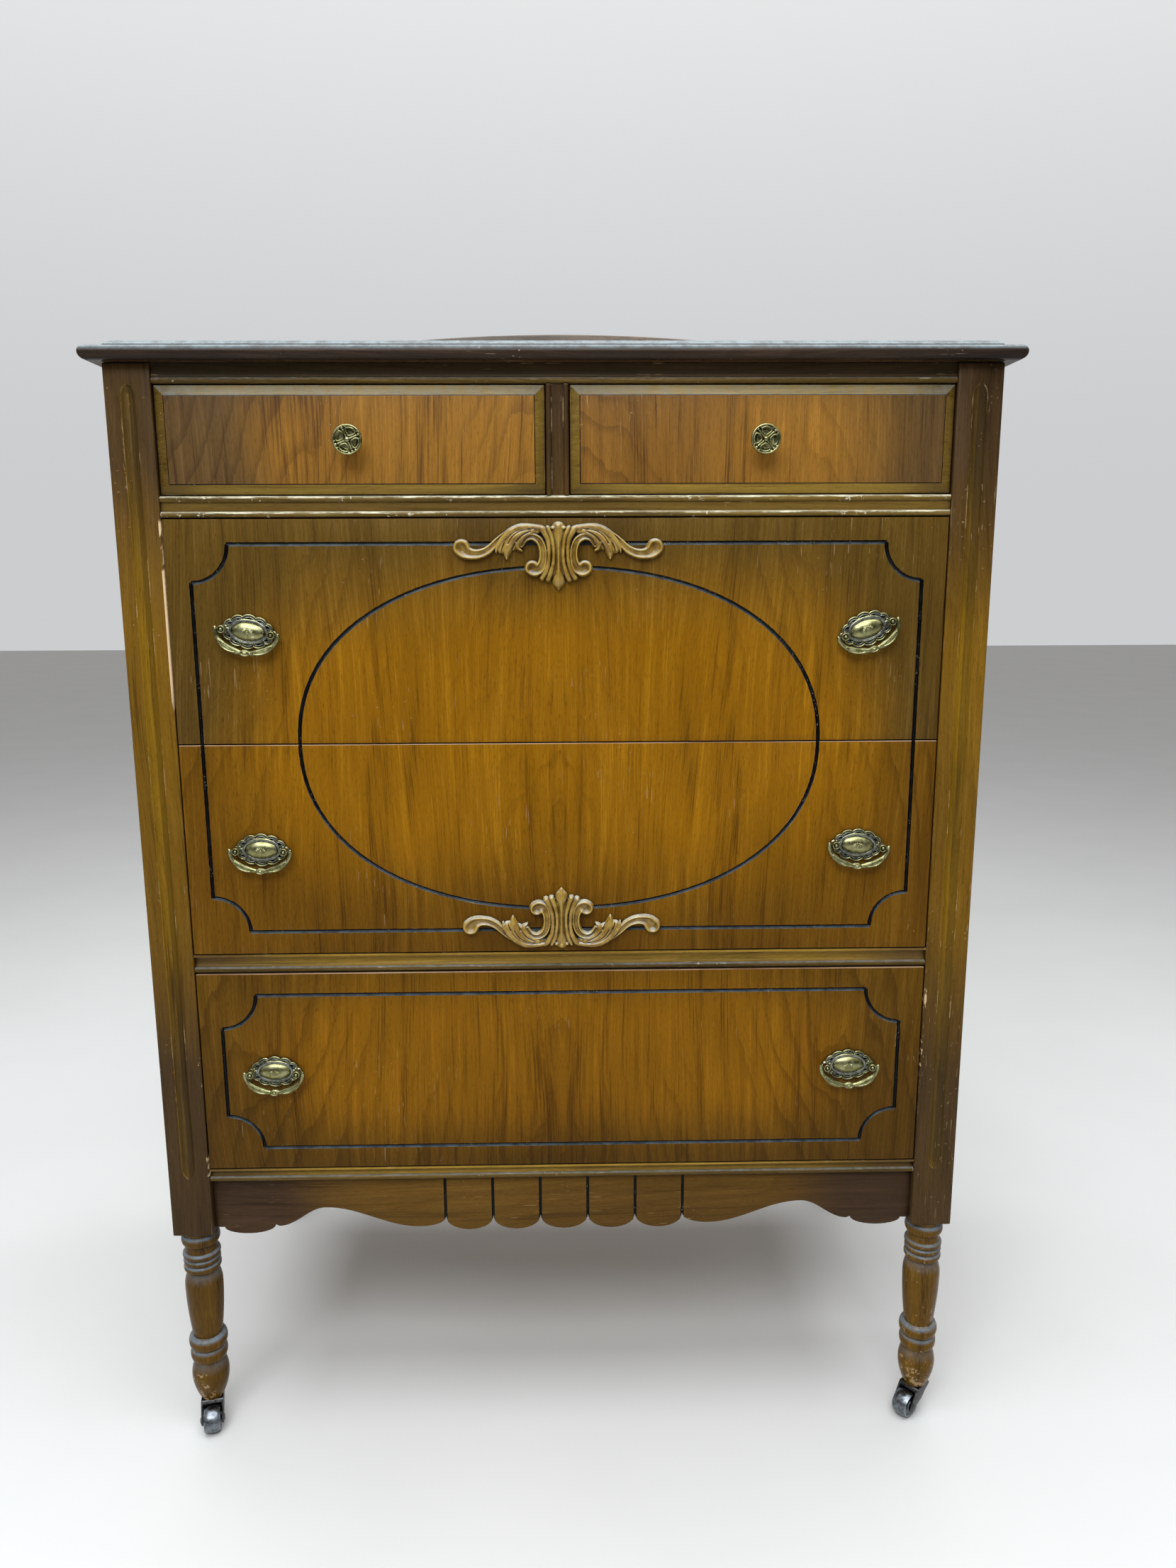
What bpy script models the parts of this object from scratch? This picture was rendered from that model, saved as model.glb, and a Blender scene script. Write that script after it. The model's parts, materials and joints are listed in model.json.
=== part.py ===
"""A tall chest of drawers on turned legs with casters.

Two small drawers stand over two long drawers that share one oval line, with one more long drawer
below them. A low shaped gallery stands behind the top board.

Metres, +Z up, the floor at z = 0 and the front towards -Y.
Run it with: blender --background --python part.py
"""

import math

import bmesh
import bpy
from mathutils import Matrix

# Clearances
FIT = 0.0003  # between two faces that meet
RUN_GAP = 0.0004  # under a drawer that slides on its dustboard
DRAWER_GAP = 0.0012  # round a drawer front
BOX_SIDE_GAP = 0.0015  # beside a drawer box

# Case
CASE_WIDTH = 0.930
CASE_DEPTH = 0.510
POST_SIDE = 0.048
FLUTE_WIDTH = 0.015
FLUTE_DEPTH = 0.0045
FLUTE_TOP_MARGIN = 0.019
FLUTE_BOTTOM_MARGIN = 0.072
FLUTE_END_STEPS = 5
FLUTE_END_STRETCH = 2.0  # length of a flute's pointed end over its cutter's radius
SIDE_PANEL_THICK = 0.012
SIDE_PANEL_INSET = 0.006
BACK_PANEL_THICK = 0.006
BACK_PANEL_INSET = 0.008
DUSTBOARD_THICK = 0.012
GUIDE_HEIGHT = 0.030
GUIDE_SETBACK = 0.001  # of the drawer guide from each side of the divider

# Heights of the front, from the floor up
CASTER_HEIGHT = 0.037
APRON_ROOM = 0.0686  # from the end of the square post to the bottom rail
BOTTOM_RAIL_HEIGHT = 0.0168
BOTTOM_OPENING = 0.2428
LOWER_RAIL_HEIGHT = 0.0214
PAIR_OPENING = 0.4816  # both long drawers that share the oval
UPPER_RAIL_HEIGHT = 0.0223
SMALL_OPENING = 0.1122
TOP_RAIL_HEIGHT = 0.0203

# Rails and divider
RAIL_DEPTH = 0.040
RAIL_RECESS = 0.0012  # behind the face of the posts
RAIL_BEAD = 0.0065
RAIL_FIELD_DEPTH = 0.0032  # of the flat or the cove between the beads
RAIL_FILLET = 0.0025
DIVIDER_WIDTH = 0.024
DIVIDER_BEAD = 0.0056
BEAD_STEPS = 4

# Turned leg: shape, length and widest radius of each member, from the square post down
LEG_MEMBERS = (
    ("bead", 0.012, 0.0228),
    ("bead", 0.019, 0.0240),
    ("neck", 0.006, 0.0190),
    ("bead", 0.011, 0.0235),
    ("bead", 0.014, 0.0230),
    ("vase", 0.076, 0.0235),
    ("bead", 0.021, 0.0240),
    ("bead", 0.021, 0.0230),
    ("bulb", 0.051, 0.02325),
)
LEG_GROOVE_RADIUS = 0.0190
LEG_VASE_END_RADIUS = 0.0178
LEG_END_RADIUS = 0.0140
LEG_TENON = 0.006
LEG_SIDES = 16
SWELL_STEPS = 8
VASE_WIDEST = 0.24  # share of the vase's length above its widest place
BULB_WIDEST = 0.38

# Casters
WHEEL_RADIUS = 0.016
WHEEL_WIDTH = 0.019
WHEEL_ROUNDING = 0.0028
WHEEL_SIDES = 16
CASTER_TRAIL = 0.020
FORK_SIDE_GAP = 0.0012
FORK_ARM_THICK = 0.0026
FORK_CROWN_THICK = 0.0030
FORK_CROWN_REACH = 0.010
FORK_EYE_RADIUS = 0.0062
FORK_EYE_STEPS = 8
AXLE_RADIUS = 0.0025
AXLE_HEAD_RADIUS = 0.0040
AXLE_HEAD_THICK = 0.0014
STEM_RADIUS = 0.0045
STEM_LENGTH = 0.034
CASTER_TURNS = {  # degrees, seen from above, from straight towards the front
    "front_left": 13.0,
    "front_right": -50.0,
    "rear_left": -24.0,
    "rear_right": 35.0,
}

# Top board and gallery
TOP_OVERHANG = 0.017
NOSE_THICK = 0.0150
STEP_THICK = 0.0070
STEP_SETBACK = 0.0186
STEP_SLOPE = 0.005
STEP_HOLLOW = 0.35  # bevel profile of the sloped edge: under 0.5 is hollow
NOSE_STEPS = 6
NOSE_ROUND = 0.5  # bevel profile of a quarter circle
GALLERY_THICK = 0.018
GALLERY_END_INSET = 0.020
GALLERY_CREST = 0.1025  # above the top board
GALLERY_SHOULDER = 0.048
GALLERY_CREST_RADIUS = 2.6
GALLERY_CREST_HALF = 0.205
GALLERY_RISE_RUN = 0.105
GALLERY_CORNER = 0.016
GALLERY_STEPS = 10
CORNER_STEPS = 4

# Apron, with drops measured from its upper edge
APRON_RECESS = 0.010
APRON_THICK = 0.016
TAB_COUNT = 5
TAB_WIDTH = 0.0568
TAB_DROP = 0.0712
TAB_CUSP_DROP = 0.0546
WAVE_VALLEY_RUN = 0.031
WAVE_VALLEY_DROP = 0.0664
WAVE_PEAK_RUN = 0.143
WAVE_PEAK_DROP = 0.0395
WAVE_FOOT_RUN = 0.199
WAVE_FOOT_DROP = 0.0630
LOBE_STEP = 0.0045
LOBE_STEP_RISE = 0.0020
LOBE_WIDTH = 0.061
LOBE_DROP = 0.0732
APRON_END_DROP = 0.0633
APRON_LINE_WIDTH = 0.004
APRON_LINE_DEPTH = 0.002
WAVE_STEPS = 6

# Drawers
FRONT_RECESS = 0.0010
FRONT_THICK = 0.019
SMALL_BORDER = 0.0100
SMALL_BORDER_FALL = 0.0030
SMALL_PANEL_LIP = 0.0008
BOX_BACK_ROOM = 0.020  # behind a drawer box, to the back panel
BOX_WALL = 0.010
BOX_TOP_ROOM = 0.014
DRAWER_BOTTOM_THICK = 0.004
DRAWER_BOTTOM_RISE = 0.009
DRAWER_BOTTOM_TONGUE = 0.005

# Incised lines of the long drawers
FRAME_INSET = 0.0272
FRAME_NOTCH_RADIUS = 0.040
OVAL_SIDE_ROOM = 0.106
OVAL_TOP_ROOM = 0.0248
OVAL_POWER = 2.2
LINE_HALF_WIDTH = 0.0024  # of its V cutter, whose middle lies a little before the face
LINE_LIFT = 0.0004
NOTCH_STEPS = 7
OVAL_STEPS = 72

# Knobs of the small drawers
KNOB_RADIUS = 0.0155
KNOB_REACH = 0.024
KNOB_BASE_RADIUS = 0.0085
KNOB_BASE_THICK = 0.0020
KNOB_NECK_RADIUS = 0.0055
KNOB_NECK_TOP = 0.45  # shares of the reach
KNOB_NECK_FOOT = 0.18
KNOB_HEAD = (  # shares of the radius and of the reach, from the boss out to the rim and back
    (0.18, 0.97),
    (0.28, 0.86),
    (0.66, 0.86),
    (0.78, 0.97),
    (0.93, 0.95),
    (1.00, 0.85),
    (0.88, 0.64),
)
KNOB_DROP = 0.002
KNOB_SIDES = 18
SCREW_RADIUS = 0.0020
SCREW_HOLE_RADIUS = 0.0025
SCREW_END = 0.003  # past the back of the drawer front
SCREW_SIDES = 8

# Oval pulls of the long drawers
PULL_SIDE_INSET = 0.0848
PULL_RISE = 0.002
PLATE_HALF_WIDTH = 0.0300
PLATE_HALF_HEIGHT = 0.0175
PLATE_THICK = 0.0018
PLATE_SCALLOPS = 14
PLATE_SCALLOP_DEPTH = 0.0011
PLATE_STEPS = 42
BOSS_SIDES = 14
BOSS_RING_HALF_WIDTH = 0.0195
BOSS_RING_REACH = 0.0034
BOSS_HALF_WIDTH = 0.0165
BOSS_REACH = 0.0068
BOSS_FLATNESS = 0.55  # height of the oval boss over its width
PULL_POST_SPACING = 0.0525
PULL_POST_RADIUS = 0.0030
PULL_BALL_RADIUS = 0.0042
BALL_SWEEP = math.radians(135)  # of the ball's profile, from its tip to the neck
PIVOT_REACH = 0.0085  # of the bail's axis from the drawer front
PIVOT_RADIUS = 0.0012
PIVOT_HOLE_RADIUS = 0.0016
PIVOT_DEPTH = 0.0030
BAIL_HALF_WIDTH = 0.0330
BAIL_DROP = 0.0255
BAIL_RADIUS = 0.0022
BAIL_END_RISE = 0.0020
BAIL_BEAD_RADIUS = 0.0038
BAIL_BEAD_HALF = 0.0065
BAIL_STEPS = 18
PULL_TILTS = {  # degrees, right end down, as each pull hangs
    "upper_left": 7.6,
    "upper_right": -17.8,
    "middle_left": 1.3,
    "middle_right": 3.9,
    "bottom_left": 0.0,
    "bottom_right": 0.0,
}

# Carved ornaments, outline points in the ornament's own millimetres
CARVING_THICK = 0.009
CARVING_OFFSET = 0.014  # of its middle from the frame line, towards the oval
CARVING_UNIT = 0.001
CARVING_STEM_TOP = ((0, 35), (-4.5, 34), (-7.5, 30.5), (-14, 32), (-19, 31))
CARVING_LEAF_TOP = ((-28, 32.5), (-37, 33.5), (-48, 30.5), (-58, 22.5), (-67, 13.5))
CARVING_ARM_TOP = ((-78, 9.5), (-91, 8.5), (-96, 14))
CARVING_END_CURL = ((-102.5, 19.5), (-111, 13), (-108, 2.5), (-94, -4), (-82, -2), (-72, 3.5))
CARVING_LEAF_TIPS = ((-66, 2.5), (-62, 5.5), (-54, -2.5), (-51.5, 3), (-43.5, 9), (-36, 7.5))
CARVING_SCROLL_INSIDE = ((-37, 12.5), (-31, 17), (-24, 15.5), (-20, 7), (-20, -1), (-24, -9))
CARVING_LOW_CURL = ((-31, -5), (-37.5, -11), (-35.5, -19), (-29, -22.5), (-21, -20.5))
CARVING_STEM_FOOT = ((-17.5, -23), (-13, -24.5), (-8, -23), (-6.5, -26.5), (-3.2, -32), (0, -35))

# Values worked out from the sizes above
HALF_WIDTH = CASE_WIDTH / 2
HALF_OPENING = HALF_WIDTH - POST_SIDE
LEG_LENGTH = sum(length for _, length, _ in LEG_MEMBERS)
SQUARE_BOTTOM = CASTER_HEIGHT + LEG_LENGTH
BOTTOM_RAIL_LOW = SQUARE_BOTTOM + APRON_ROOM
BOTTOM_LOW = BOTTOM_RAIL_LOW + BOTTOM_RAIL_HEIGHT
LOWER_RAIL_LOW = BOTTOM_LOW + BOTTOM_OPENING
PAIR_LOW = LOWER_RAIL_LOW + LOWER_RAIL_HEIGHT
SEAM = PAIR_LOW + PAIR_OPENING / 2
UPPER_RAIL_LOW = PAIR_LOW + PAIR_OPENING
SMALL_LOW = UPPER_RAIL_LOW + UPPER_RAIL_HEIGHT
TOP_RAIL_LOW = SMALL_LOW + SMALL_OPENING
CASE_TOP = TOP_RAIL_LOW + TOP_RAIL_HEIGHT
TOP_SURFACE = CASE_TOP + FIT + NOSE_THICK + STEP_THICK
FRONT_Y = -(CASE_DEPTH + FRONT_RECESS - KNOB_REACH) / 2  # face of the posts, origin mid-depth
BACK_Y = FRONT_Y + CASE_DEPTH
FACE_Y = FRONT_Y + FRONT_RECESS  # face of the drawer fronts
FRONT_BACK_Y = FACE_Y + FRONT_THICK
PANEL_FRONT_Y = BACK_Y - BACK_PANEL_INSET - BACK_PANEL_THICK
TAB_EDGE = TAB_COUNT * TAB_WIDTH / 2
CUT_OVER = 0.002  # how far a cutter reaches past the face it opens

UPRIGHT = Matrix.Rotation(math.pi / 2, 4, "X")  # an outline drawn in XY stands in XZ, facing -Y
ALONG_X = Matrix(((0, 0, 1, 0), (1, 0, 0, 0), (0, 1, 0, 0), (0, 0, 0, 1)))  # profile YZ, run along X
FACING = UPRIGHT  # a turned shape's +Z points at -Y

PARTS = None
CUTTERS = None
MATERIALS = {}


def clear_scene():
    """Removes what the scene holds and makes the two collections."""
    global PARTS, CUTTERS
    for old in list(bpy.data.objects):
        bpy.data.objects.remove(old)
    PARTS = bpy.data.collections.new("dresser")
    CUTTERS = bpy.data.collections.new("dresser_cutters")
    for collection in (PARTS, CUTTERS):
        bpy.context.scene.collection.children.link(collection)


def material(name, color, roughness, metallic=0.0):
    """One Principled material for each finish."""
    if name not in MATERIALS:
        made = bpy.data.materials.new(name)
        made.use_nodes = True
        shader = made.node_tree.nodes["Principled BSDF"]
        shader.inputs["Base Color"].default_value = (*color, 1.0)
        shader.inputs["Roughness"].default_value = roughness
        shader.inputs["Metallic"].default_value = metallic
        MATERIALS[name] = made
    return MATERIALS[name]


def dark_walnut():
    return material("dark_walnut", (0.075, 0.045, 0.025), 0.42)


def walnut_veneer():
    return material("walnut_veneer", (0.20, 0.095, 0.032), 0.38)


def pale_wood():
    return material("pale_wood", (0.42, 0.29, 0.16), 0.65)


def gilt_carving():
    return material("gilt_carving", (0.33, 0.20, 0.085), 0.40)


def old_brass():
    return material("old_brass", (0.40, 0.33, 0.17), 0.38, 1.0)


def dark_steel():
    return material("dark_steel", (0.13, 0.13, 0.13), 0.42, 1.0)


def place(obj, finish, matrix=None, parent=None):
    """Puts a finished piece in the parts collection, with its finish and its place."""
    PARTS.objects.link(obj)
    if finish is not None:
        obj.data.materials.clear()
        obj.data.materials.append(finish)
    obj.parent = parent
    if matrix is not None:
        obj.matrix_basis = matrix
    return obj


def as_cutter(obj, matrix=None):
    """Puts a helper in the cutters collection, where it is drawn as wire and never rendered."""
    CUTTERS.objects.link(obj)
    obj.hide_render = True
    obj.display_type = "WIRE"
    if matrix is not None:
        obj.matrix_basis = matrix
    return obj


def boolean(obj, tool, operation):
    """Adds a Boolean with the exact solver."""
    modifier = obj.modifiers.new(f"{operation.lower()} {tool.name}", "BOOLEAN")
    modifier.operation = operation
    modifier.object = tool
    modifier.solver = "EXACT"


def at(x, y, z):
    return Matrix.Translation((x, y, z))


def seat(name, matrix, parent=None):
    """An empty that carries the pieces of a moving group."""
    empty = bpy.data.objects.new(name, None)
    PARTS.objects.link(empty)
    empty.parent = parent
    empty.matrix_basis = matrix
    return empty


def box(name, low, high):
    """A box from its two corners, with its origin at its middle, and the matrix of its place."""
    size = [b - a for a, b in zip(low, high)]
    middle = [(a + b) / 2 for a, b in zip(low, high)]
    mesh = bpy.data.meshes.new(name)
    bm = bmesh.new()
    bmesh.ops.create_cube(bm, size=1.0)
    bmesh.ops.scale(bm, vec=size, verts=bm.verts)
    bm.to_mesh(mesh)
    bm.free()
    return bpy.data.objects.new(name, mesh), at(*middle)


def board(name, low, high, finish, parent=None):
    """A plain board that stays as it is cut."""
    obj, matrix = box(name, low, high)
    return place(obj, finish, matrix, parent)


def rod(name, radius, length, sides):
    """A closed cylinder along Z, centred on its origin."""
    mesh = bpy.data.meshes.new(name)
    bm = bmesh.new()
    bmesh.ops.create_cone(
        bm, cap_ends=True, segments=sides, radius1=radius, radius2=radius, depth=length
    )
    bm.to_mesh(mesh)
    bm.free()
    return bpy.data.objects.new(name, mesh)


def turned(name, profile, sides):
    """A turned shape about Z from (radius, height) points that run down its outside."""
    mesh = bpy.data.meshes.new(name)
    points = [(radius, 0.0, height) for radius, height in profile]
    edges = [(i, i + 1) for i in range(len(points) - 1)]
    mesh.from_pydata(points, edges, [])
    obj = bpy.data.objects.new(name, mesh)
    screw = obj.modifiers.new("turn", "SCREW")
    screw.steps = sides
    screw.render_steps = sides
    screw.use_merge_vertices = True
    screw.merge_threshold = 0.00005
    screw.use_smooth_shade = True
    return obj


def as_mesh(obj, name):
    """The piece as one welded mesh, with its modifiers applied and its helper removed."""
    bpy.context.view_layer.update()
    graph = bpy.context.evaluated_depsgraph_get()
    mesh = bpy.data.meshes.new_from_object(obj.evaluated_get(graph))
    mesh.name = name
    bm = bmesh.new()
    bm.from_mesh(mesh)
    bmesh.ops.remove_doubles(bm, verts=bm.verts, dist=0.000001)
    bm.to_mesh(mesh)
    bm.free()
    bpy.data.objects.remove(obj)
    return mesh


def outline(name, points, thickness):
    """A flat closed outline in XY with a thickness along Z, as a welded mesh object."""
    curve = bpy.data.curves.new(name, "CURVE")
    curve.dimensions = "2D"
    curve.fill_mode = "BOTH"
    curve.extrude = thickness / 2
    spline = curve.splines.new("POLY")
    spline.points.add(len(points) - 1)
    for point, (x, y) in zip(spline.points, points):
        point.co = (x, y, 0.0, 1.0)
    spline.use_cyclic_u = True
    helper = bpy.data.objects.new(name + "_outline", curve)
    CUTTERS.objects.link(helper)
    return bpy.data.objects.new(name, as_mesh(helper, name))


def tube(name, points, radii, ring_quarter, closed):
    """A tube along points, with its own radius at each, as a welded mesh object."""
    curve = bpy.data.curves.new(name, "CURVE")
    curve.dimensions = "3D"
    curve.bevel_depth = 1.0
    curve.bevel_resolution = ring_quarter
    curve.use_fill_caps = not closed
    spline = curve.splines.new("POLY")
    spline.points.add(len(points) - 1)
    for point, place_at, radius in zip(spline.points, points, radii):
        point.co = (*place_at, 1.0)
        point.radius = radius
    spline.use_cyclic_u = closed
    helper = bpy.data.objects.new(name + "_path", curve)
    CUTTERS.objects.link(helper)
    return bpy.data.objects.new(name, as_mesh(helper, name))


def smooth_shade(mesh, angle=math.radians(35)):
    """Shades a round piece smooth, with its corners sharp."""
    mesh.shade_smooth()
    mesh.set_sharp_from_angle(angle=angle)


def bead_arc(low, high, foot, reach, steps=BEAD_STEPS):
    """Half-round points (reach, height) from low to high, standing out of foot by reach."""
    middle = (low + high) / 2
    half = (high - low) / 2
    turns = [math.pi * k / steps for k in range(steps + 1)]
    return [(foot - reach * math.sin(t), middle - half * math.cos(t)) for t in turns]


def swing(start, end, steps):
    """Points on a smooth wave from a level start to a level end, without the start."""
    points = []
    for k in range(1, steps + 1):
        share = k / steps
        ease = (1 - math.cos(math.pi * share)) / 2
        x = start[0] + (end[0] - start[0]) * share
        points.append((x, start[1] + (end[1] - start[1]) * ease))
    return points


def half_oval(start, end, drop, steps):
    """Points of a lower half oval from start to end, without the start."""
    middle = (start[0] + end[0]) / 2
    half = (end[0] - start[0]) / 2
    points = []
    for k in range(1, steps + 1):
        turn = math.pi * k / steps
        chord = start[1] + (end[1] - start[1]) * k / steps
        points.append((middle - half * math.cos(turn), chord - drop * math.sin(turn)))
    return points


def leg_profile():
    """The turned leg's (radius, height) points, from its tenon to its end and caster socket."""
    height = SQUARE_BOTTOM
    points = [(0.0, height + LEG_TENON), (LEG_GROOVE_RADIUS, height + LEG_TENON)]
    points.append((LEG_GROOVE_RADIUS, height))
    for shape, length, widest in LEG_MEMBERS:
        points += [(radius, height - length * share) for share, radius in member(shape, widest)]
        height -= length
    socket = (STEM_RADIUS + FIT) / math.cos(math.pi / LEG_SIDES)
    points += [(socket, height), (socket, height + STEM_LENGTH + FIT)]
    points.append((0.0, height + STEM_LENGTH + FIT))
    return points


def member(shape, widest):
    """One member of the turning as (share of its length, radius), without its start."""
    if shape == "neck":
        return [(1.0, widest)]
    if shape == "bead":
        turns = [math.pi * k / BEAD_STEPS for k in range(1, BEAD_STEPS + 1)]
        swell = widest - LEG_GROOVE_RADIUS
        return [((1 - math.cos(t)) / 2, LEG_GROOVE_RADIUS + swell * math.sin(t)) for t in turns]
    end = LEG_VASE_END_RADIUS if shape == "vase" else LEG_END_RADIUS
    top = VASE_WIDEST if shape == "vase" else BULB_WIDEST
    points = []
    for k in range(1, SWELL_STEPS + 1):
        share = k / SWELL_STEPS
        if share <= top:
            rise = math.sin(math.pi / 2 * share / top)
            points.append((share, LEG_GROOVE_RADIUS + (widest - LEG_GROOVE_RADIUS) * rise))
        else:
            fall = (share - top) / (1 - top)
            points.append((share, end + (widest - end) * (1 + math.cos(math.pi * fall)) / 2))
    return points


def make_posts():
    """Four posts, each with its turned leg and its caster socket, the front two fluted."""
    for name, x, y in corners():
        obj, matrix = box(
            f"{name}_post",
            (x - POST_SIDE / 2, y - POST_SIDE / 2, SQUARE_BOTTOM),
            (x + POST_SIDE / 2, y + POST_SIDE / 2, CASE_TOP),
        )
        turning = turned(f"{name}_leg", leg_profile(), LEG_SIDES)
        boolean(obj, as_cutter(turning, at(x, y, 0.0)), "UNION")
        if name.startswith("front"):
            boolean(obj, flute_cutter(name, x), "DIFFERENCE")
        place(obj, dark_walnut(), matrix)


def corners():
    """Each corner's name and the axis of its post."""
    x = HALF_WIDTH - POST_SIDE / 2
    for depth, y in (("front", FRONT_Y + POST_SIDE / 2), ("rear", BACK_Y - POST_SIDE / 2)):
        yield f"{depth}_left", -x, y
        yield f"{depth}_right", x, y


def flute_cutter(name, x):
    """A long cigar, sunk so that it opens a stopped flute of the right width and depth."""
    half = FLUTE_WIDTH / 2
    radius = (half**2 + FLUTE_DEPTH**2) / (2 * FLUTE_DEPTH)
    top = CASE_TOP - FLUTE_TOP_MARGIN
    bottom = SQUARE_BOTTOM + FLUTE_BOTTOM_MARGIN
    profile = []
    for k in range(FLUTE_END_STEPS + 1):
        turn = math.pi / 2 * k / FLUTE_END_STEPS
        drop = radius * FLUTE_END_STRETCH * (1 - math.cos(turn))
        profile.append((radius * math.sin(turn), drop))
    down = [(r, top - drop) for r, drop in profile]
    up = [(r, bottom + drop) for r, drop in reversed(profile)]
    cutter = turned(f"{name}_flute", down + up, LEG_SIDES)
    return as_cutter(cutter, at(x, FRONT_Y - (radius - FLUTE_DEPTH), 0.0))


def make_panels():
    """Side panels between the posts, and the thin back panel."""
    for side, sign in (("left", -1), ("right", 1)):
        outer = sign * (HALF_WIDTH - SIDE_PANEL_INSET)
        inner = outer - sign * SIDE_PANEL_THICK
        board(
            f"{side}_side_panel",
            (min(outer, inner), FRONT_Y + POST_SIDE + FIT, BOTTOM_RAIL_LOW),
            (max(outer, inner), BACK_Y - POST_SIDE - FIT, CASE_TOP),
            dark_walnut(),
        )
    board(
        "back_panel",
        (-HALF_OPENING + FIT, PANEL_FRONT_Y, BOTTOM_RAIL_LOW),
        (HALF_OPENING - FIT, PANEL_FRONT_Y + BACK_PANEL_THICK, CASE_TOP),
        pale_wood(),
    )


def rail_profile(height, style):
    """A rail's section as (depth, height) points, its front a row of beads, flats or a cove."""
    face = RAIL_RECESS
    field = face + RAIL_FIELD_DEPTH
    reach = field - face
    low_bead = bead_arc(0.0, RAIL_BEAD, field, reach)
    if style == "two_beads":
        front = low_bead + bead_arc(height - RAIL_BEAD, height, field, reach)
    elif style == "one_bead":
        step = RAIL_BEAD + RAIL_FILLET
        half = face + RAIL_FIELD_DEPTH / 2
        front = low_bead + [(half, RAIL_BEAD), (half, step), (field, step), (field, height)]
    else:
        cove_top = height - RAIL_FILLET
        cove = bead_arc(RAIL_BEAD, cove_top, field, -reach)
        front = low_bead + cove[1:] + [(face, cove_top), (face, height)]
    return front + [(RAIL_DEPTH, height), (RAIL_DEPTH, 0.0)]


def make_rails():
    """Four moulded front rails between the posts."""
    rails = (
        ("top_front_rail", TOP_RAIL_LOW, TOP_RAIL_HEIGHT, "one_bead"),
        ("upper_front_rail", UPPER_RAIL_LOW, UPPER_RAIL_HEIGHT, "two_beads"),
        ("lower_front_rail", LOWER_RAIL_LOW, LOWER_RAIL_HEIGHT, "cove"),
        ("bottom_front_rail", BOTTOM_RAIL_LOW, BOTTOM_RAIL_HEIGHT, "cove"),
    )
    length = 2 * (HALF_OPENING - FIT)
    for name, low, height, style in rails:
        rail = outline(name, rail_profile(height, style), length)
        place(rail, dark_walnut(), at(0.0, FRONT_Y, low) @ ALONG_X)


def make_divider():
    """The beaded upright between the small drawers, and the guide that runs back from it."""
    half = DIVIDER_WIDTH / 2
    field = RAIL_RECESS + RAIL_FIELD_DEPTH
    left = bead_arc(-half, -half + DIVIDER_BEAD, field, RAIL_FIELD_DEPTH)
    right = bead_arc(half - DIVIDER_BEAD, half, field, RAIL_FIELD_DEPTH)
    section = [(x, y) for y, x in left + right] + [(half, RAIL_DEPTH), (-half, RAIL_DEPTH)]
    divider = outline("drawer_divider", section, SMALL_OPENING - 2 * FIT)
    place(divider, dark_walnut(), at(0.0, FRONT_Y, SMALL_LOW + SMALL_OPENING / 2))
    guide_half = half - GUIDE_SETBACK
    board(
        "center_drawer_guide",
        (-guide_half, FRONT_Y + RAIL_DEPTH + FIT, SMALL_LOW + FIT),
        (guide_half, PANEL_FRONT_Y - FIT, SMALL_LOW + FIT + GUIDE_HEIGHT),
        pale_wood(),
    )


def make_dustboards():
    """The boards that the drawers slide on, between the posts."""
    behind_rail = FRONT_Y + RAIL_DEPTH + FIT
    behind_front = FRONT_BACK_Y + DRAWER_GAP
    boards = (
        ("upper_dustboard", SMALL_LOW, behind_rail),
        ("middle_dustboard", SEAM + DUSTBOARD_THICK / 2, behind_front),
        ("lower_dustboard", PAIR_LOW, behind_rail),
        ("bottom_dustboard", BOTTOM_LOW, behind_rail),
    )
    for name, top, front in boards:
        board(
            name,
            (-HALF_OPENING + FIT, front, top - DUSTBOARD_THICK),
            (HALF_OPENING - FIT, PANEL_FRONT_Y - FIT, top),
            pale_wood(),
        )


def apron_points():
    """The apron's outline, clockwise from its upper left corner, drops measured downwards."""
    end = HALF_OPENING - FIT
    right = [(TAB_EDGE, -TAB_CUSP_DROP)]
    right += half_oval(
        right[-1],
        (TAB_EDGE + 2 * WAVE_VALLEY_RUN, -TAB_CUSP_DROP),
        WAVE_VALLEY_DROP - TAB_CUSP_DROP,
        2 * WAVE_STEPS,
    )[:WAVE_STEPS]
    right += swing(right[-1], (TAB_EDGE + WAVE_PEAK_RUN, -WAVE_PEAK_DROP), WAVE_STEPS)
    foot = (TAB_EDGE + WAVE_FOOT_RUN, -WAVE_FOOT_DROP)
    right += swing(right[-1], foot, WAVE_STEPS)
    lobe_start = (foot[0] + LOBE_STEP, foot[1] + LOBE_STEP_RISE)
    lobe_end = (lobe_start[0] + LOBE_WIDTH, -APRON_END_DROP)
    right.append(lobe_start)
    right += half_oval(lobe_start, lobe_end, LOBE_DROP - APRON_END_DROP, WAVE_STEPS)
    right.append((end, -APRON_END_DROP))
    tabs = []
    for k in range(TAB_COUNT):
        start = (-TAB_EDGE + k * TAB_WIDTH, -TAB_CUSP_DROP)
        stop = (start[0] + TAB_WIDTH, -TAB_CUSP_DROP)
        tabs += half_oval(start, stop, TAB_DROP - TAB_CUSP_DROP, WAVE_STEPS + 1)[:-1]
        if k < TAB_COUNT - 1:
            tabs.append(stop)
    left = [(-x, z) for x, z in reversed(right)]
    return [(-end, 0.0)] + left + tabs + right + [(end, 0.0)]


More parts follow.
